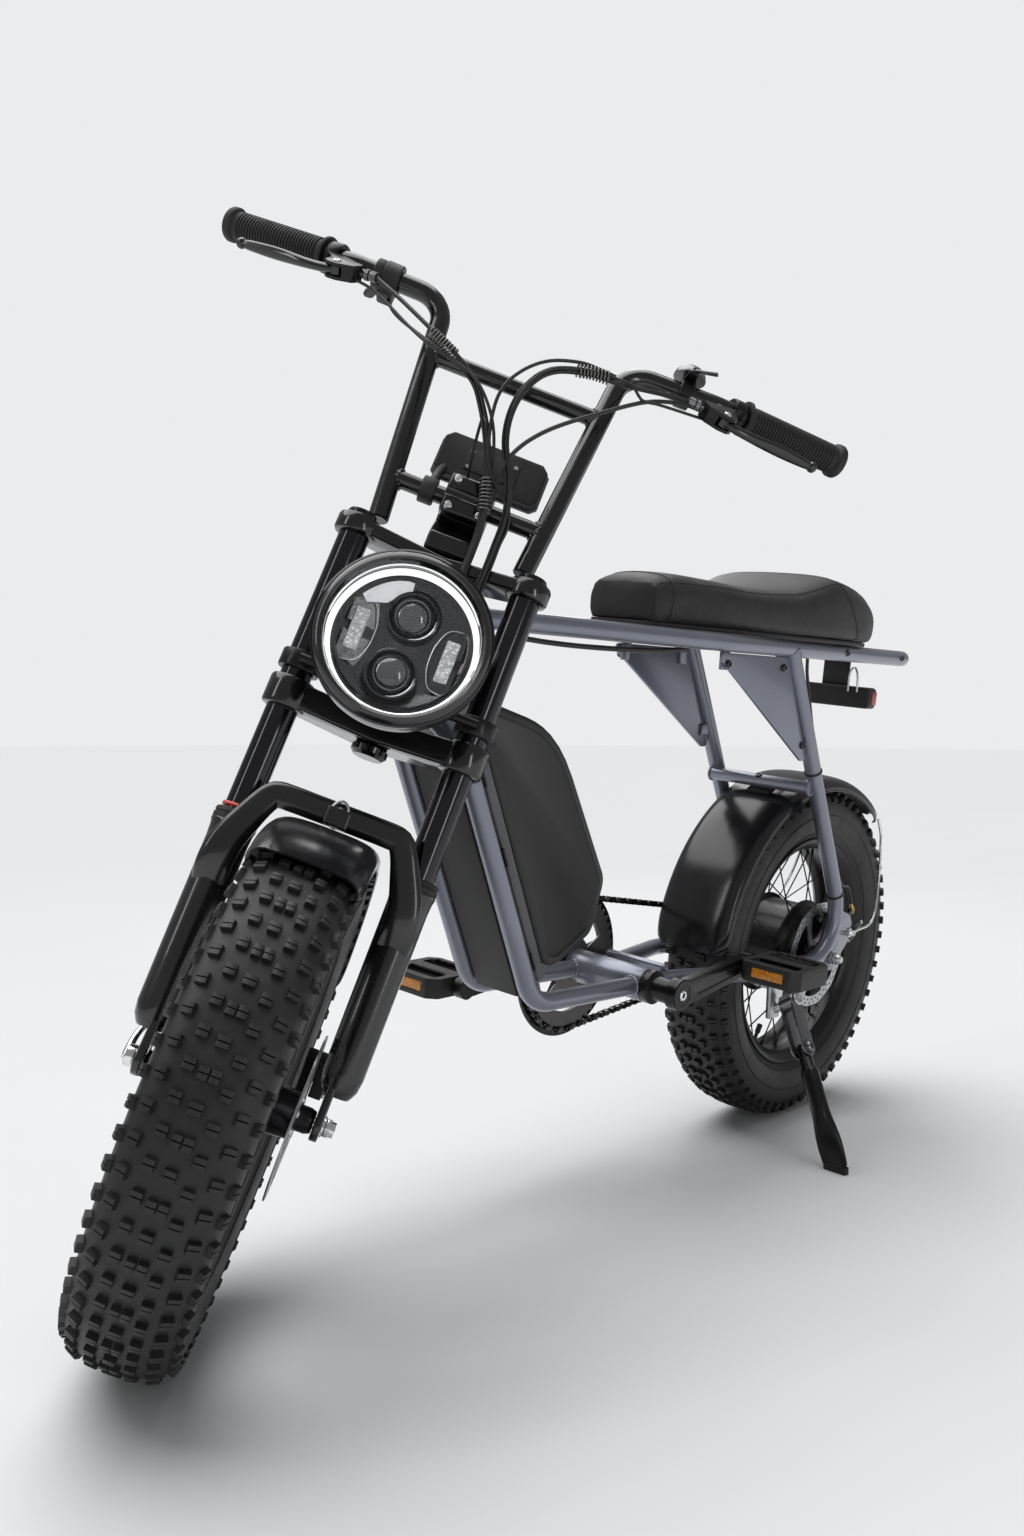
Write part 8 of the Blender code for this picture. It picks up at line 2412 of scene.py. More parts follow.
def lamp_edge():
    """The thin bright hoop round the bezel's outer edge."""
    profile = [(LAMP_FRONT - 0.0086, LAMP_RADIUS - 0.0020), (LAMP_FRONT - 0.0080, LAMP_RADIUS - 0.0002),
               (LAMP_FRONT - 0.0064, LAMP_RADIUS - 0.0002), (LAMP_FRONT - 0.0050, LAMP_RADIUS - 0.0022)]
    return lathe(profile, 96, "X")


def lamp_halo():
    outer = LAMP_RADIUS - 0.0122
    profile = [(LAMP_RIM - 0.006, outer - 0.0064), (LAMP_RIM - 0.0018, outer - 0.0058),
               (LAMP_RIM - 0.0004, outer - 0.0032), (LAMP_RIM - 0.0018, outer - 0.0008),
               (LAMP_RIM - 0.006, outer)]
    return lathe(profile, 96, "X")


def lamp_glass():
    """The crowned clear cover, a thin shell."""
    edge = LAMP_RADIUS - 0.0130
    low = LAMP_FRONT - 0.0110
    outer = [(low + 0.0068 * math.cos(share * math.pi / 2) ** 0.8, edge * share)
             for share in (index / 14 for index in range(15))]
    inner = [(place - 0.0016, radius * 0.985) for place, radius in reversed(outer)]
    return lathe(outer + inner, 96, "X")


LENS_OFFSET = 0.0295


def projector_rims():
    """Chrome rims round both projector lenses."""
    rims = []
    for hand in HANDS:
        rim = lathe([(LAMP_FLOOR, 0.0200), (LAMP_FLOOR, 0.0250), (LAMP_FLOOR + 0.0060, 0.0256),
                     (LAMP_FLOOR + 0.0092, 0.0248), (LAMP_FLOOR + 0.0098, 0.0232),
                     (LAMP_FLOOR + 0.0085, 0.0212), (LAMP_FLOOR + 0.0055, 0.0202)], 64, "X")
        rims.append(shifted(rim, (0, 0, hand * LENS_OFFSET)))
    return joined(*rims)


def projector_lenses():
    """The two bulging lenses."""
    lenses = []
    for hand in HANDS:
        profile = [(LAMP_FLOOR + 0.002, 0.0)]
        profile += [(LAMP_FLOOR + 0.0050 + 0.0145 * math.sin(angle), 0.0203 * math.cos(angle))
                    for angle in (math.radians(turn) for turn in range(0, 90, 6))]
        profile.append((LAMP_FLOOR + 0.0195, 0.0))
        profile.insert(1, (LAMP_FLOOR + 0.002, 0.0203))
        lenses.append(shifted(lathe(profile, 56, "X"), (0, 0, hand * LENS_OFFSET)))
    return joined(*lenses)


def lens_painted_highlights():
    """Chrome arcs along the lower edge of each lens, tapering away at both ends, standing in for the
    highlight of a light on the lens: a painted highlight.
    """
    arcs = []
    for hand in HANDS:
        spots = [(LAMP_FLOOR + 0.0096, 0.0226 * math.cos(angle),
                  hand * LENS_OFFSET + 0.0226 * math.sin(angle))
                 for angle in (math.radians(turn) for turn in range(-82, 9, 5))]
        last = len(spots) - 1
        arcs.append(tube(spots, 0.0011, 10, radii=[0.0002 + 0.0010 * math.sin(math.pi * step / last)
                                                   for step in range(last + 1)]))
    return joined(*arcs)


def lamp_reflector():
    """The dished reflector floor with faceted side pockets."""
    floor = lathe([(LAMP_FLOOR - 0.0005, 0.0), (LAMP_FLOOR + 0.0006, 0.030), (LAMP_FLOOR + 0.0036, 0.055),
                   (LAMP_FLOOR + 0.0125, 0.0655), (LAMP_FLOOR + 0.0125, 0.0662),
                   (LAMP_FLOOR - 0.002, 0.0662), (LAMP_FLOOR - 0.002, 0.0)], 72, "X")
    facets = []
    for hand in HANDS:
        for low, high in ((0.006, 0.036), (-0.036, -0.006)):
            facets.append(shape([(LAMP_FLOOR + 0.0012, hand * 0.030, low),
                                 (LAMP_FLOOR + 0.0012, hand * 0.030, high),
                                 (LAMP_FLOOR + 0.0100, hand * 0.057, high * 0.80),
                                 (LAMP_FLOOR + 0.0100, hand * 0.057, low * 0.80),
                                 (LAMP_FLOOR - 0.001, hand * 0.044, (low + high) / 2)],
                                [(0, 1, 2, 3), (0, 4, 1), (1, 4, 2), (2, 4, 3), (3, 4, 0)]))
    return joined(floor, *facets)


def painted_reflection_facet():
    """A bright metal facet above the upper lens, standing in for the reflection of a light in the lamp's
    glass: a painted reflection.
    """
    spots = [(LAMP_FLOOR + 0.0060 + 0.20 * (math.hypot(left, up) - 0.045), left, up)
             for left, up in ((-0.0555, 0.0360), (-0.0480, 0.0455), (-0.0380, 0.0540), (-0.0240, 0.0615),
                              (-0.0105, 0.0650), (-0.0090, 0.0490), (-0.0200, 0.0440),
                              (-0.0275, 0.0345), (-0.0460, 0.0275))]
    back = [(ahead - 0.0015, left, up) for ahead, left, up in spots]
    return lofted([spots, back])


STRIP_LEFT = 0.0455


def strip_bodies():
    """The two upright light strips beside the lenses."""
    return joined(*[block((LAMP_FLOOR + 0.001, hand * STRIP_LEFT - 0.0068, -0.0210),
                          (LAMP_FLOOR + 0.0095, hand * STRIP_LEFT + 0.0068, 0.0210), 0.0018)
                    for hand in HANDS])


def strip_ribs():
    """Fine upright ribs over the upper half of each strip."""
    rows = []
    for hand in HANDS:
        rib = block((LAMP_FLOOR + 0.0090, hand * STRIP_LEFT - 0.0060, -0.0190),
                    (LAMP_FLOOR + 0.0108, hand * STRIP_LEFT + 0.0060, -0.0178), 0.0003)
        rows.append(repeated(rib, 17, CLEAR_LENS, step=(0, 0, 0.0023)))
    return joined(*rows)


def chrome_sweeps():
    """The bright S-shaped lines between the lenses and the strips."""
    lines = []
    for hand in HANDS:
        points = [(LAMP_FLOOR + ahead, hand * left, up) for ahead, left, up in (
            (0.0085, 0.0585, 0.033), (0.006, 0.038, 0.030), (0.005, 0.030, 0.014), (0.005, 0.0285, 0.0),
            (0.005, 0.030, -0.014), (0.006, 0.038, -0.030), (0.0085, 0.0585, -0.033))]
        lines.append(tube(curve_through(points, 0.003), 0.0005, 8))
    return joined(*lines)


def lamp_bracket():
    """Two clamps on the stanchions with the bar and plate that carry the lamp."""
    low = 0.400
    high = 0.418
    bar_x = 0.0588
    middle = (low + high) / 2
    bar = rod((bar_x, -LEG_HALF_SPACING, middle), (bar_x, LEG_HALF_SPACING, middle), 0.0054, 24)
    plate = block((bar_x - 0.003, -0.024, middle - 0.006), (LAMP_BACK - FIT, 0.024, LAMP_HEIGHT + 0.022),
                  0.002)
    rings = []
    for hand in HANDS:
        ring_here = lathe([(low, 0.0163), (low, 0.0208), (low + 0.0015, 0.0215), (high - 0.0015, 0.0215),
                           (high, 0.0208), (high, 0.0163)], 48, "Z")
        rings.append(on_leg(ring_here, hand))
        rings.append(block((LEG_AHEAD - 0.030, hand * LEG_HALF_SPACING - 0.006, low + 0.002),
                           (LEG_AHEAD - 0.018, hand * LEG_HALF_SPACING + 0.006, high - 0.002), 0.0015))
        rings.append(socket_bolt((LEG_AHEAD - 0.025, hand * (LEG_HALF_SPACING + 0.006), middle),
                                 (0, hand, 0), 0.0036, 0.0026))
    return joined(bar, plate, *rings)


fit_out(FORK @ Matrix.Translation((0, 0, LAMP_HEIGHT)), "steering",
        (lamp_shell(), "lamp_bowl", "gloss_black", GLOSS, "headlight_body"),
        (lamp_bezel(), "lamp_bezel", "gloss_black", ENAMEL, "headlight_bezel"),
        (lamp_edge(), "lamp_bright_edge", "gloss_black", BLACK_CHROME),
        (lamp_halo(), "lamp_halo", "white_light", WHITE_LIGHT, "halo_ring"),
        (lamp_glass(), "lamp_cover_glass", "clear_glass", GLASS, "headlight_glass"),
        (projector_rims(), "lamp_lens_rims", "gloss_black", BLACK_CHROME),
        # A painted highlight: chrome arcs in place of a light's highlight on the lenses.
        (lens_painted_highlights(), "lamp_lens_arcs", "steel", CHROME),
        (projector_lenses(), "lamp_lenses", "clear_glass", LENS),
        (lamp_reflector(), "lamp_reflector", "gloss_black", DARK_REFLECTOR),
        # A painted reflection: a bright facet in place of a light's reflection in the glass.
        (painted_reflection_facet(), "lamp_upper_facet", "steel", PAINTED_REFLECTION_METAL),
        (strip_bodies(), "lamp_strips", "clear_glass", CLEAR_LENS),
        (strip_ribs(), "lamp_strip_ribs", "clear_glass", CLEAR_LENS),
        (chrome_sweeps(), "lamp_chrome_lines", "steel", STEEL))
fit_out(FORK, "steering", (lamp_bracket(), "lamp_clamps", "satin_black", SATIN, "lamp_bracket"))


# Handlebar

def stem():
    """The stem's body and its faceplate, both with full edges."""
    low = UPPER_CROWN[1] + FIT
    ahead, _, height = LOWER_BAR
    outline = [(-0.018, low), (0.026, low), (0.026, low + 0.020), (ahead - 0.001, low + 0.040),
               (ahead - 0.001, height + 0.0225), (-0.014, height + 0.0225), (-0.018, height + 0.014)]
    body = softened(prism(eased_outline(outline, 0.006), -0.0255, 0.0255), 0.003, 4)
    plate = block((ahead + 0.0008, -0.0255, height - 0.0222), (0.0285, 0.0255, height + 0.0222), 0.0035)
    groove = rod((0.0335, -0.03, height), (0.0335, 0.03, height), 0.008, 24)
    return joined(body, cut(plate, groove))


def stem_bolts():
    height = LOWER_BAR[2]
    return joined(*[socket_bolt((0.0282, side * 0.0170, height + up * 0.0155), (1, 0, 0), 0.0048, 0.0042)
                    for side in (1, -1) for up in (1, -1)])


def bar_corners(hand):
    lower = Vector(LOWER_BAR)
    upper = Vector(UPPER_BAR)
    slope = (upper - lower) / (upper.z - lower.z)
    foot = lower + slope * (BAR_STUB_Z - lower.z)
    return [Vector((x, hand * y, z)) for x, y, z in (foot, BAR_BEND, BAR_SWEEP, BAR_END)]


def handlebar():
    """Both uprights and swept arms, the two crossbars and their weld beads."""
    parts = []
    for hand in HANDS:
        corners = bar_corners(hand)
        parts.append(tube(rounded(corners, (0.035, 0.05)), BAR_RADIUS, 28))
        foot = corners[0]
        along = (corners[1] - foot).normalized()
        cap = lathe([(-0.0016, 0.0), (-0.0016, BAR_RADIUS - 0.0016), (0.0, BAR_RADIUS - 0.0002),
                     (0.001, 0.0)], 32, "Z")
        parts.append(placed(cap, basis(foot, (1, 0, 0), along)))
        for x, y, z in (LOWER_BAR, UPPER_BAR):
            parts.append(weld((x, hand * y, z), (0, -hand, 0), BRACE_RADIUS, (x, hand * y, z), along,
                              BAR_RADIUS))
    for x, y, z in (LOWER_BAR, UPPER_BAR):
        parts.append(rod((x, -y, z), (x, y, z), BRACE_RADIUS, 28))
    return joined(*parts)


BAR_OUT = (Vector(BAR_END) - Vector(BAR_SWEEP)).normalized()
BAR_IN = (Vector(BAR_SWEEP) - Vector(BAR_BEND)).normalized()
LEVER_PIVOT = (0.039, -0.172)
LEVER_TIP = (0.0566, -0.0574)
GRIP_FRAME = basis(BAR_END, (0.62, 0.35, -0.70), BAR_OUT)
FLIP = Matrix.Scale(-1, 4, (0, 1, 0))
BARREL_ROOT = Vector((LEVER_PIVOT[0] - 0.011, 0, LEVER_PIVOT[1] - 0.004))
BARREL_RUN = (Vector((LEVER_PIVOT[0] - 0.013, 0, LEVER_PIVOT[1] - 0.020)) - BARREL_ROOT).normalized()


def grip_core():
    """The grip's sleeve with its inner collar and its end flange."""
    hole = BAR_RADIUS + FIT
    profile = [(0.0003, 0.0), (0.0003, hole), (-GRIP_LENGTH, hole), (-GRIP_LENGTH, GRIP_RADIUS + 0.0030),
               (-GRIP_LENGTH + 0.001, GRIP_RADIUS + 0.0035), (-GRIP_LENGTH + 0.0035, GRIP_RADIUS + 0.0035),
               (-GRIP_LENGTH + 0.0045, GRIP_RADIUS + 0.0026), (-GRIP_LENGTH + 0.008, GRIP_RADIUS - 0.0014),
               (-0.060, GRIP_RADIUS - 0.0012), (-0.012, GRIP_RADIUS - 0.0014),
               (-0.0075, GRIP_RADIUS - 0.0006), (-0.0060, GRIP_RADIUS + 0.0022),
               (-0.0045, GRIP_RADIUS + 0.0030), (0.0010, GRIP_RADIUS + 0.0030),
               (0.0028, GRIP_RADIUS + 0.0020), (0.0046, GRIP_RADIUS - 0.0010), (0.0050, 0.0)]
    return lathe(profile, 48, "Z")


def grip_ribs():
    """The close rings moulded round the grip."""
    rib = lathe([(-GRIP_LENGTH + 0.0120, GRIP_RADIUS - 0.0020), (-GRIP_LENGTH + 0.0126, GRIP_RADIUS),
                 (-GRIP_LENGTH + 0.0144, GRIP_RADIUS), (-GRIP_LENGTH + 0.0150, GRIP_RADIUS - 0.0020)],
                40, "Z")
    return repeated(rib, 28, GRIP, step=(0, 0, 0.00395))


def brake_perch():
    """The lever's clamp, its body with the slot, and the clamp's split."""
    near = -GRIP_LENGTH - 0.0008
    far = near - 0.018
    x, z = LEVER_PIVOT
    clamp = lathe([(far, BAR_BORE), (far, 0.0155), (far + 0.0015, 0.0165), (near - 0.0015, 0.0165),
                   (near, 0.0155), (near, BAR_BORE)], 48, "Z")
    flat = [(0.010, far + 0.001), (0.010, near - 0.001), (x - 0.010, z + 0.014), (x + 0.004, z + 0.0125),
            (x + 0.009, z + 0.006), (x + 0.009, z - 0.006), (x + 0.001, z - 0.022),
            (x - 0.014, z - 0.026), (x - 0.017, z - 0.012)]
    body = prism(eased_outline(flat, 0.0030), -0.009, 0.009)
    slot = block((x - 0.0115, -0.0053, z - 0.011), (x + 0.05, 0.0053, z + 0.05))
    return joined(clamp, softened(cut(body, slot), 0.0016, 3))


def cable_barrel():
    """The black adjuster barrel that the cable leaves the lever by."""
    barrel = lathe([(0.0, 0.0), (0.0, 0.0050), (0.0240, 0.0050), (0.0250, 0.0036), (0.0330, 0.0036),
                    (0.0340, 0.0030), (0.0400, 0.0028), (0.0400, 0.0)], 28, "Z")
    return placed(barrel, basis(BARREL_ROOT, (0, 1, 0), BARREL_RUN))


def barrel_knurl():
    """The barrel's two knurled rings."""
    parts = []
    for low, high, radius in ((0.0250, 0.0295, 0.0056), (0.0310, 0.0385, 0.0050)):
        parts.append(sleeve(low, high, 0.003, radius, 28, "Z"))
        tooth = rod((radius, 0, low + 0.0002), (radius, 0, high - 0.0002), 0.0006, 6)
        parts.append(repeated(tooth, 22, STEEL, axis=(0, 0, 1)))
    return placed(joined(*parts), basis(BARREL_ROOT, (0, 1, 0), BARREL_RUN))


def perch_screws():
    x, z = LEVER_PIVOT
    heads = [socket_bolt((x, hand * 0.0088, z), (0, hand, 0), 0.0044, 0.0020) for hand in HANDS]
    near = -GRIP_LENGTH - 0.0098
    heads.append(socket_bolt((-0.0135, 0.0120, near), (0, 1, 0), 0.0036, 0.0030))
    return joined(*heads)


def brake_lever():
    """The two-finger blade: a curved bar of oval section ending in a ball."""
    x, z = LEVER_PIVOT
    tip_x, tip_z = LEVER_TIP
    boss = rod((x, -0.005, z), (x, 0.005, z), 0.0080, 36, 0.0010)
    line = curve_through([(x + 0.001, 0, z), (x + 0.0085, 0, z + 0.014), (x + 0.0125, 0, z + 0.036),
                          (x + 0.0130, 0, z + 0.060), (tip_x - 0.0030, 0, tip_z - 0.030),
                          (tip_x - 0.0016, 0, tip_z - 0.012), (tip_x, 0, tip_z)], 0.004)
    rings = []
    last = len(line) - 1
    for index, spot in enumerate(line):
        heading = (line[min(index + 1, last)] - line[max(index - 1, 0)]).normalized()
        across = heading.cross(Vector((0, 1, 0))).normalized()
        share = index / last
        wide = eased(share, ((0.0, 0.0048), (0.25, 0.0052), (0.6, 0.0068), (0.9, 0.0056), (1.0, 0.0040)))
        deep = eased(share, ((0.0, 0.0070), (0.25, 0.0056), (0.6, 0.0044), (0.9, 0.0046), (1.0, 0.0040)))
        rings.append([spot + Vector((0, wide * math.cos(angle), 0)) + across * deep * math.sin(angle)
                      for angle in around(24)])
    ball = lathe([(0.0062 * math.cos(math.radians(turn)), 0.0062 * math.sin(math.radians(turn)))
                  for turn in range(0, 181, 15)], 28)
    return joined(boss, lofted(rings), shifted(ball, (tip_x, 0, tip_z)))


def inner_frame(left):
    """A frame on the bar's inner straight: Z outwards along it, X forwards."""
    share = (left - BAR_BEND[1]) / (BAR_SWEEP[1] - BAR_BEND[1])
    centre = Vector(BAR_BEND) + (Vector(BAR_SWEEP) - Vector(BAR_BEND)) * share
    return basis(centre, (1, 0, 0), BAR_IN)


def throttle_clamp():
    """The throttle's clamp with its sensor housing under the bar."""
    clamp = lathe([(0.0, BAR_BORE), (0.0, 0.0165), (0.0012, 0.0175), (0.0188, 0.0175), (0.020, 0.0165),
                   (0.020, BAR_BORE)], 48, "Z")
    return joined(clamp, block((-0.012, 0.006, 0.001), (0.012, 0.0268, 0.019), 0.003))


def throttle_paddle():
    """The thumb paddle: a ring about the bar with a curved, ribbed blade."""
    collar = lathe([(0.0206, BAR_BORE), (0.0206, 0.0160), (0.0215, 0.0165), (0.0290, 0.0165),
                    (0.0300, 0.0155), (0.0300, BAR_BORE)], 48, "Z")
    flat = [(-0.009, 0.0212), (-0.009, 0.0294), (-0.020, 0.0335), (-0.034, 0.0418), (-0.0395, 0.0400),
            (-0.0365, 0.0305), (-0.022, 0.0235)]
    blade = softened(prism(eased_outline(flat, 0.0025), 0.004, 0.012), 0.0018, 3)
    rib = rod((-0.0375, 0.0044, 0.0345), (-0.0375, 0.0116, 0.0345), 0.0007, 8)
    ribs = repeated(rib, 4, PLASTIC, step=(0.0042, 0, -0.0012))
    return joined(collar, blade, ribs)


def bell_body():
    """The bell's clamp and the shelf that carries its thumb piece."""
    clamp = lathe([(0.0, BAR_BORE), (0.0, 0.0155), (0.0012, 0.0165), (0.0148, 0.0165), (0.016, 0.0155),
                   (0.016, BAR_BORE)], 48, "Z")
    neck = rod((0, -0.012, 0.008), (0, -0.0190, 0.008), 0.0078, 28)
    shelf = prism([(0.008, 0.001), (0.027, 0.003), (0.027, 0.013), (0.008, 0.015)], -0.0155, -0.0115)
    pin = rod((0.0215, -0.0145, 0.008), (0.0215, -0.0215, 0.008), 0.0021, 16)
    return joined(clamp, neck, softened(shelf, 0.001, 2), pin)


def bell_dome():
    profile = [(-0.0188, 0.0), (-0.0188, 0.0184), (-0.0196, 0.0186)]
    profile += [(-0.0196 - 0.0145 * math.sin(math.radians(turn)), 0.0184 * math.cos(math.radians(turn)))
                for turn in range(10, 90, 10)]
    profile.append((-0.0342, 0.0))
    return shifted(lathe(profile, 56), (0, 0, 0.008))


BELL_PIN = (0.0215, 0.008)


def bell_lever():
    """The thumb piece: a disc on its pin with a short blade."""
    x, z = BELL_PIN
    disc = sleeve(-0.0182, -0.0158, 0.0023, 0.0050, 28)
    flat = [(x + 0.001, z + 0.0035), (x + 0.0095, z + 0.026), (x + 0.016, z + 0.024),
            (x + 0.0050, z - 0.001)]
    blade = softened(prism(eased_outline(flat, 0.0016), -0.0182, -0.0158), 0.0007, 2)
    return joined(shifted(disc, (x, 0, z)), blade)


def display_place():
    return basis((-0.036, 0.007, UPPER_CROWN[0] + 0.1505), (1, 0, 0.16), (-0.16, 0, 1))


def display_case():
    """The display's box with its chamfered corners, its back plate and its arm."""
    outline = [(-0.060, -0.021), (-0.054, -0.027), (0.054, -0.027), (0.060, -0.021), (0.060, 0.019),
               (0.052, 0.027), (-0.052, 0.027), (-0.060, 0.019)]
    case = softened(prism(eased_outline(outline, 0.004), -0.007, 0.007, "X"), 0.0018, 3)
    back = block((0.0066, -0.030, -0.014), (0.0082, 0.030, 0.014), 0.0006)
    ahead, _, height = LOWER_BAR
    clamp = shifted(lathe([(-0.008, 0.0097), (-0.008, 0.0138), (-0.007, 0.0145), (0.007, 0.0145),
                           (0.008, 0.0138), (0.008, 0.0097)], 40), (ahead, -0.044, height))
    path = curve_through([(ahead - 0.006, -0.044, height + 0.008), (-0.014, -0.044, height + 0.024),
                          (-0.024, -0.043, height + 0.038), (-0.034, -0.040, height + 0.051)], 0.004)
    return joined(placed(joined(case, back), display_place()), clamp, tube(path, 0.0054, 20))


def display_rim():
    """The alloy frame round the screen, a little larger than the case."""
    outline = [(-0.0625, -0.0225), (-0.0555, -0.0295), (0.0555, -0.0295), (0.0625, -0.0225),
               (0.0625, 0.0215), (0.0540, 0.0295), (-0.0540, 0.0295), (-0.0625, 0.0215)]
    rim = prism(eased_outline(outline, 0.004), -0.0078, -0.0050, "X")
    return placed(softened(rim, 0.0008, 2), display_place())


def display_pane():
    pane = block((-0.0086, -0.054, -0.0215), (-0.0070, 0.054, 0.0215), 0.0006)
    return placed(pane, display_place())


def display_screws():
    heads = [socket_bolt((0.0080, side * 0.025, up * 0.010), (1, 0, 0), 0.0024, 0.0016)
             for side in (1, -1) for up in (1, -1)]
    return placed(joined(*heads), display_place())


fit_out(FORK, "steering",
        (stem(), "stem_body", "gloss_black", GLOSS, "stem"),
        (stem_bolts(), "stem_bolts", "steel", CHROME),
        (handlebar(), "handlebar_welded", "gloss_black", GLOSS, "handlebar"))
for hand, side in SIDES:
    place = FORK @ (GRIP_FRAME if hand > 0 else FLIP @ GRIP_FRAME @ FLIP)
    grip = joined(grip_core(), grip_ribs())
    fit_out(place, "steering",
            (on_side(grip, hand), "grip_ribbed_" + side, "rubber", GRIP, "grip_" + side),
            (on_side(brake_perch(), hand), "lever_clamp_" + side, "satin_black", SATIN,
             "brake_perch_" + side),
            (on_side(cable_barrel(), hand), "cable_barrel_" + side, "satin_black", GLOSS),
            (on_side(barrel_knurl(), hand), "cable_barrel_knurl_" + side, "steel", GREY_METAL),
            (on_side(perch_screws(), hand), "lever_screws_" + side, "steel", STEEL))
    fit_out(place, side + "_lever",
            (on_side(brake_lever(), hand), "lever_blade_" + side, "satin_black", GLOSS,
             "brake_lever_" + side))
THROTTLE_LEFT = 0.160
THROTTLE = FORK @ FLIP @ inner_frame(THROTTLE_LEFT) @ FLIP
BELL = FORK @ inner_frame(0.168)
fit_out(THROTTLE, "steering",
        (mirrored(throttle_clamp()), "throttle_housing", "black_plastic", PLASTIC, "throttle_clamp"))
fit_out(THROTTLE, "throttle",
        (mirrored(throttle_paddle()), "throttle_thumb_paddle", "black_plastic", PLASTIC,
         "throttle_paddle"))
fit_out(BELL, "steering",
        (bell_body(), "bell_clamp", "satin_black", SATIN, "bell"),
        (bell_dome(), "bell_dome", "steel", GREY_METAL))
fit_out(BELL, "bell_striker", (bell_lever(), "bell_thumb_piece", "steel", GREY_METAL, "bell_lever"))
fit_out(FORK, "steering",
        (display_case(), "display_case", "black_plastic", PLASTIC, "display"),
        (display_rim(), "display_rim", "black_plastic", GREY_METAL),
        (display_pane(), "display_pane", "clear_glass", GLOSS),
        (display_screws(), "display_screws", "steel", STEEL))


# Cables

LOOM_RADIUS = 0.005
BRAKE_CABLE_RADIUS = 0.0023
WRAP_PITCH = 0.0038
WRAP_TURNS = 9
WRAP_STEPS = 20
LOOM_LEFT = (
    (0.022, 0.192, 0.838), (0.040, 0.150, 0.824), (0.052, 0.106, 0.812), (0.057, 0.067, 0.806),
    (0.061, 0.030, 0.788), (0.062, 0.012, 0.750), (0.061, 0.014, 0.706), (0.059, 0.034, 0.660),
    (0.055, 0.044, 0.626), (0.0498, 0.045, 0.594), (0.0491, 0.045, 0.563), (0.0485, 0.044, 0.530),
    (0.047, 0.042, 0.490), (0.046, 0.040, 0.452),
)
LOOM_RIGHT = (
    (0.022, -0.192, 0.838), (0.040, -0.156, 0.816), (0.051, -0.100, 0.787), (0.056, -0.043, 0.754),
    (0.059, -0.014, 0.715), (0.059, 0.006, 0.672), (0.053, 0.020, 0.626), (0.0438, 0.024, 0.594),
    (0.0430, 0.024, 0.563), (0.0430, 0.024, 0.530), (0.045, 0.020, 0.490), (0.046, 0.018, 0.452),
)


def cable(name, radius, points, body="steering", place=FORK, node=None):
    """One free cable along a smooth route; its real length is worked out but not used."""
    route = curve_through(points, 0.018)
    fine = [place @ point for point in curve_through(route, 0.006)]
    length = sum((after - before).length for before, after in zip(fine, fine[1:]))
    nodes = [node] if node else []
    item = dress(tube(fine, radius, 16), name, body, "cable_black", CABLE, *nodes)
    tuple(fine[0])
    2 * radius


def with_loom(table, first, reach, turn, joins):
    """The stretch of a bundle's route that one cable keeps beside, from the point where it joins."""
    return beside([Vector(point) for point in table[first:]], reach, turn)[joins:]


def spiral(points, start):
    """The plastic spiral round a bundle of cables."""
    path = curve_through(points, 0.004)
    reach = LOOM_RADIUS + 0.0014
    side = (path[1] - path[0]).orthogonal().normalized()
    spots = []
    for step in range(WRAP_TURNS * WRAP_STEPS + 1):
        turn = 2 * math.pi * step / WRAP_STEPS
        spot, heading = path_frame(path, start + WRAP_PITCH * step / WRAP_STEPS)
        side = (side - heading * side.dot(heading)).normalized()
        up = heading.cross(side)
        spots.append(spot + reach * (math.cos(turn) * side + math.sin(turn) * up))
    return tube(spots, 0.0011, 10)


def barrel_mouth(hand):
    """The mouth of a lever's cable barrel, and the way the cable leaves it, in the fork's frame."""
    mouth = GRIP_FRAME @ (BARREL_ROOT + BARREL_RUN * 0.0165)
    heading = GRIP_FRAME.to_3x3() @ BARREL_RUN
    return Vector((mouth.x, hand * mouth.y, mouth.z)), Vector((heading.x, hand * heading.y, heading.z))


for (hand, side), table in zip(SIDES, (LOOM_LEFT, LOOM_RIGHT)):
    mouth, heading = barrel_mouth(hand)
    cable("brake_cable_" + side, 0.0024,
          [mouth, mouth + heading * 0.020] + with_loom(table, 1, 0.0024, 0.0, 1), node="cable_loom_" + side)
start = FLIP @ inner_frame(THROTTLE_LEFT) @ Vector((0.004, 0.0262, 0.004))
cable("throttle_wire", 0.0019,
      [start, start + Vector((0.012, 0.016, -0.020))] + with_loom(LOOM_RIGHT, 1, 0.0024, 2.1, 2))
start = display_place() @ Vector((0.006, -0.012, -0.024))
cable("display_wire", 0.0017,
      [start, start + Vector((0.016, -0.004, -0.018))] + with_loom(LOOM_RIGHT, 3, 0.0024, 4.2, 1))
start = inner_frame(THROTTLE_LEFT) @ Vector((0.012, 0.010, 0.004))
cable("switch_wire", 0.0018,
      [start, start + Vector((0.012, -0.018, -0.014))] + with_loom(LOOM_LEFT, 1, 0.0022, 2.6, 2))
mouth, heading = barrel_mouth(1)
cable("brake_cable_crossing", 0.0023,
      [mouth - Vector((0, 0, 0.004)), mouth + heading * 0.022 - Vector((0, 0, 0.006)),
       (0.046, 0.140, 0.806), (0.056, 0.096, 0.768), (0.060, 0.052, 0.727), (0.061, 0.028, 0.690),
       (0.0570, 0.022, 0.655), (0.0510, 0.022, 0.622), (0.0468, 0.024, 0.594), (0.0462, 0.024, 0.530),
       (0.047, 0.026, 0.470)])
cable("lever_switch_lead", 0.0016,
      [mouth + Vector((-0.004, 0, -0.010)), (0.044, 0.150, 0.808), (0.051, 0.133, 0.802),
       (0.055, 0.118, 0.811)] + with_loom(LOOM_LEFT, 2, 0.003, 4.4, 1))
mouth, heading = barrel_mouth(-1)
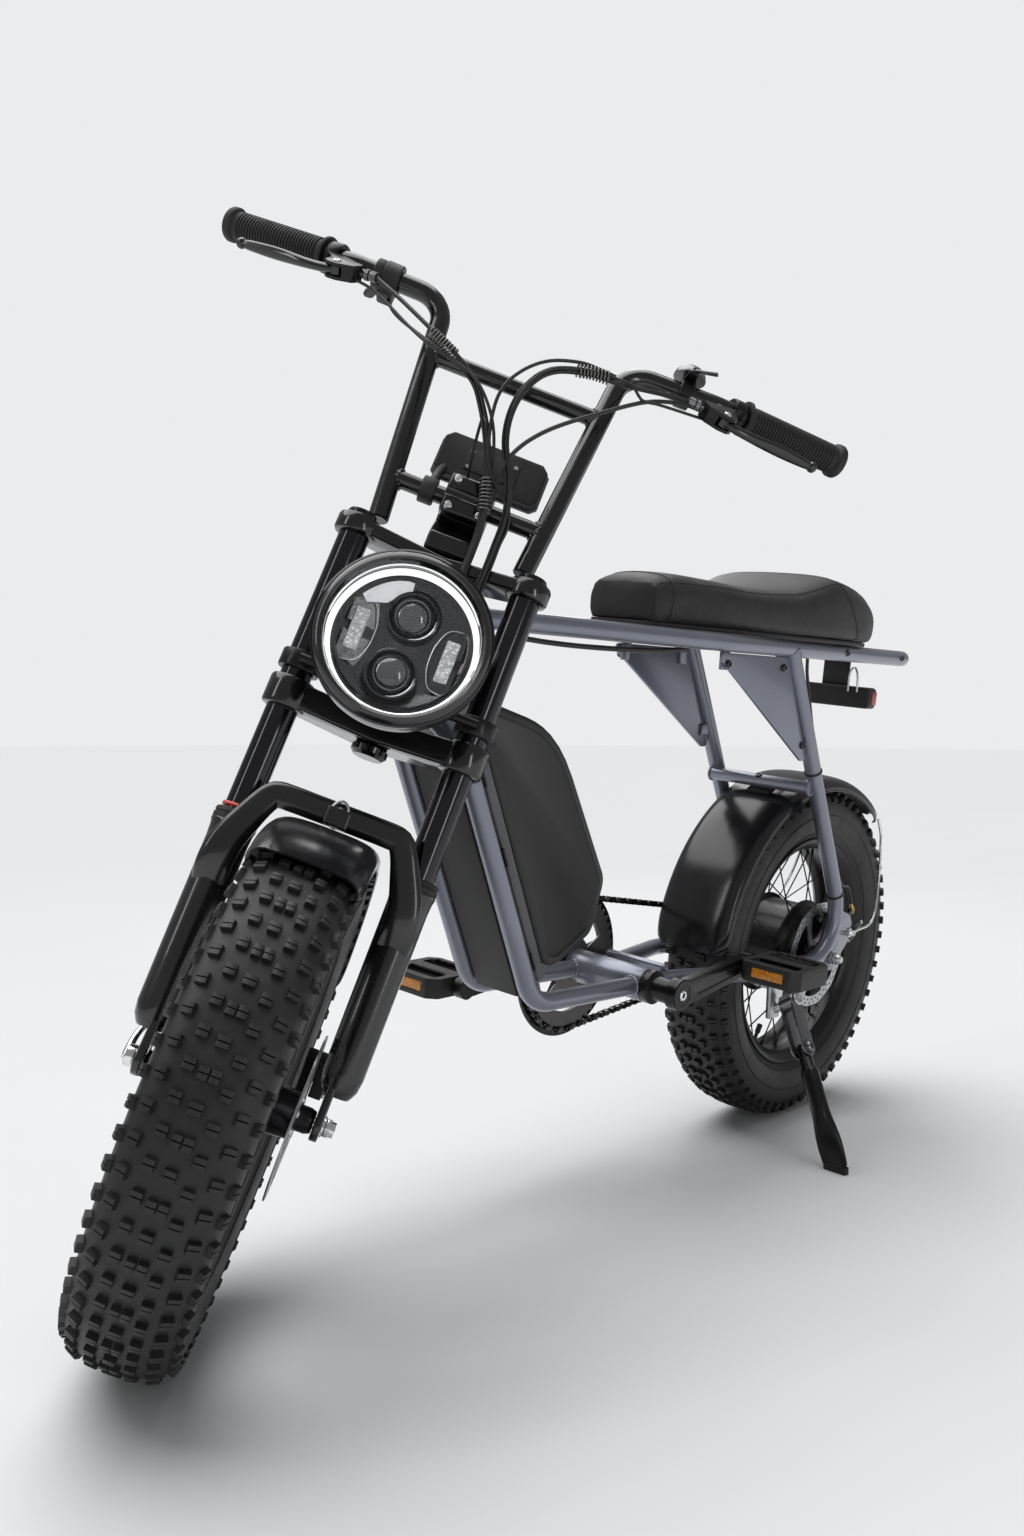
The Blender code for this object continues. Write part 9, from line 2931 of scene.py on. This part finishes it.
cable("right_switch_lead", 0.0017,
      [mouth + Vector((0.002, 0, -0.010)), mouth + heading * 0.026 - Vector((0, 0, 0.016)),
       (0.050, -0.104, 0.776), (0.062, -0.040, 0.752), (0.066, -0.006, 0.715),
       (0.062, 0.012, 0.672)] + with_loom(LOOM_RIGHT, 2, 0.003, 5.0, 4))
cable("lamp_lead", 0.0019,
      [(0.054, 0.098, 0.8145), (0.060, 0.060, 0.812), (0.066, 0.020, 0.792), (0.068, -0.006, 0.752),
       (0.066, -0.004, 0.706), (0.062, 0.014, 0.660)] + with_loom(LOOM_LEFT, 2, 0.0034, 0.9, 6))
# The spirals are black plastic, dressed in lighter grey steel so that their turns show as glints: painted
# highlights.
fit_out(FORK, "steering",
        (spiral(LOOM_LEFT, 0.110), "cable_spiral_left", "black_plastic", DARK_STEEL, "loom_wrap_left"),
        (spiral(LOOM_RIGHT, 0.292), "cable_spiral_right", "black_plastic", DARK_STEEL, "loom_wrap_right"),
        (spiral(LOOM_RIGHT, 0.112), "cable_spiral_upper", "black_plastic", DARK_STEEL))


def rear_brake_points():
    """The rear brake's cable, from its caliper up the left upright to where it enters the rail."""
    upright = Vector((UPRIGHT_TOP_X - REAR_CORNER[0], 0, RAIL_HEIGHT - REAR_CORNER[1]))
    heading = upright.normalized()
    behind = Vector((-heading.z, 0, heading.x)) * (TUBE_RADIUS + BRAKE_CABLE_RADIUS + 0.002)
    foot = Vector((REAR_CORNER[0], 0, REAR_CORNER[1]))
    stop = REAR_CALIPER @ Vector((0.0305, REAR_ROTOR_Y + 0.0135, 0.022))
    tangent = REAR_CALIPER.to_3x3() @ Vector((1, 0, 0))
    points = [stop, stop + tangent * 0.03]
    for share, left in ((0.22, 0.078), (0.42, 0.079), (0.62, 0.079)):
        spot = foot + upright * share + behind * (1.6 if share < 0.3 else 1.0)
        points.append(Vector((spot.x, left, spot.z)))
    top = Vector((UPRIGHT_TOP_X - 0.052, 0.0790, RAIL_HEIGHT - TUBE_RADIUS - FIT))
    return points + [top - Vector((0.004, 0, 0.022)), top]


under = RAIL_HEIGHT - TUBE_RADIUS
cable("main_lead", 0.0032,
      [(0.700, 0.0215, under - 0.0034), (0.655, 0.0285, under - 0.0062), (0.600, 0.0380, under - 0.0076),
       (0.530, 0.0500, under - 0.0070), (0.470, 0.0610, under - 0.0042), (0.435, 0.0670, under - 0.0006)],
      "frame", BIKE)
cable("rear_brake_cable_sheath", BRAKE_CABLE_RADIUS, rear_brake_points(), "frame", BIKE,
      "rear_brake_cable")
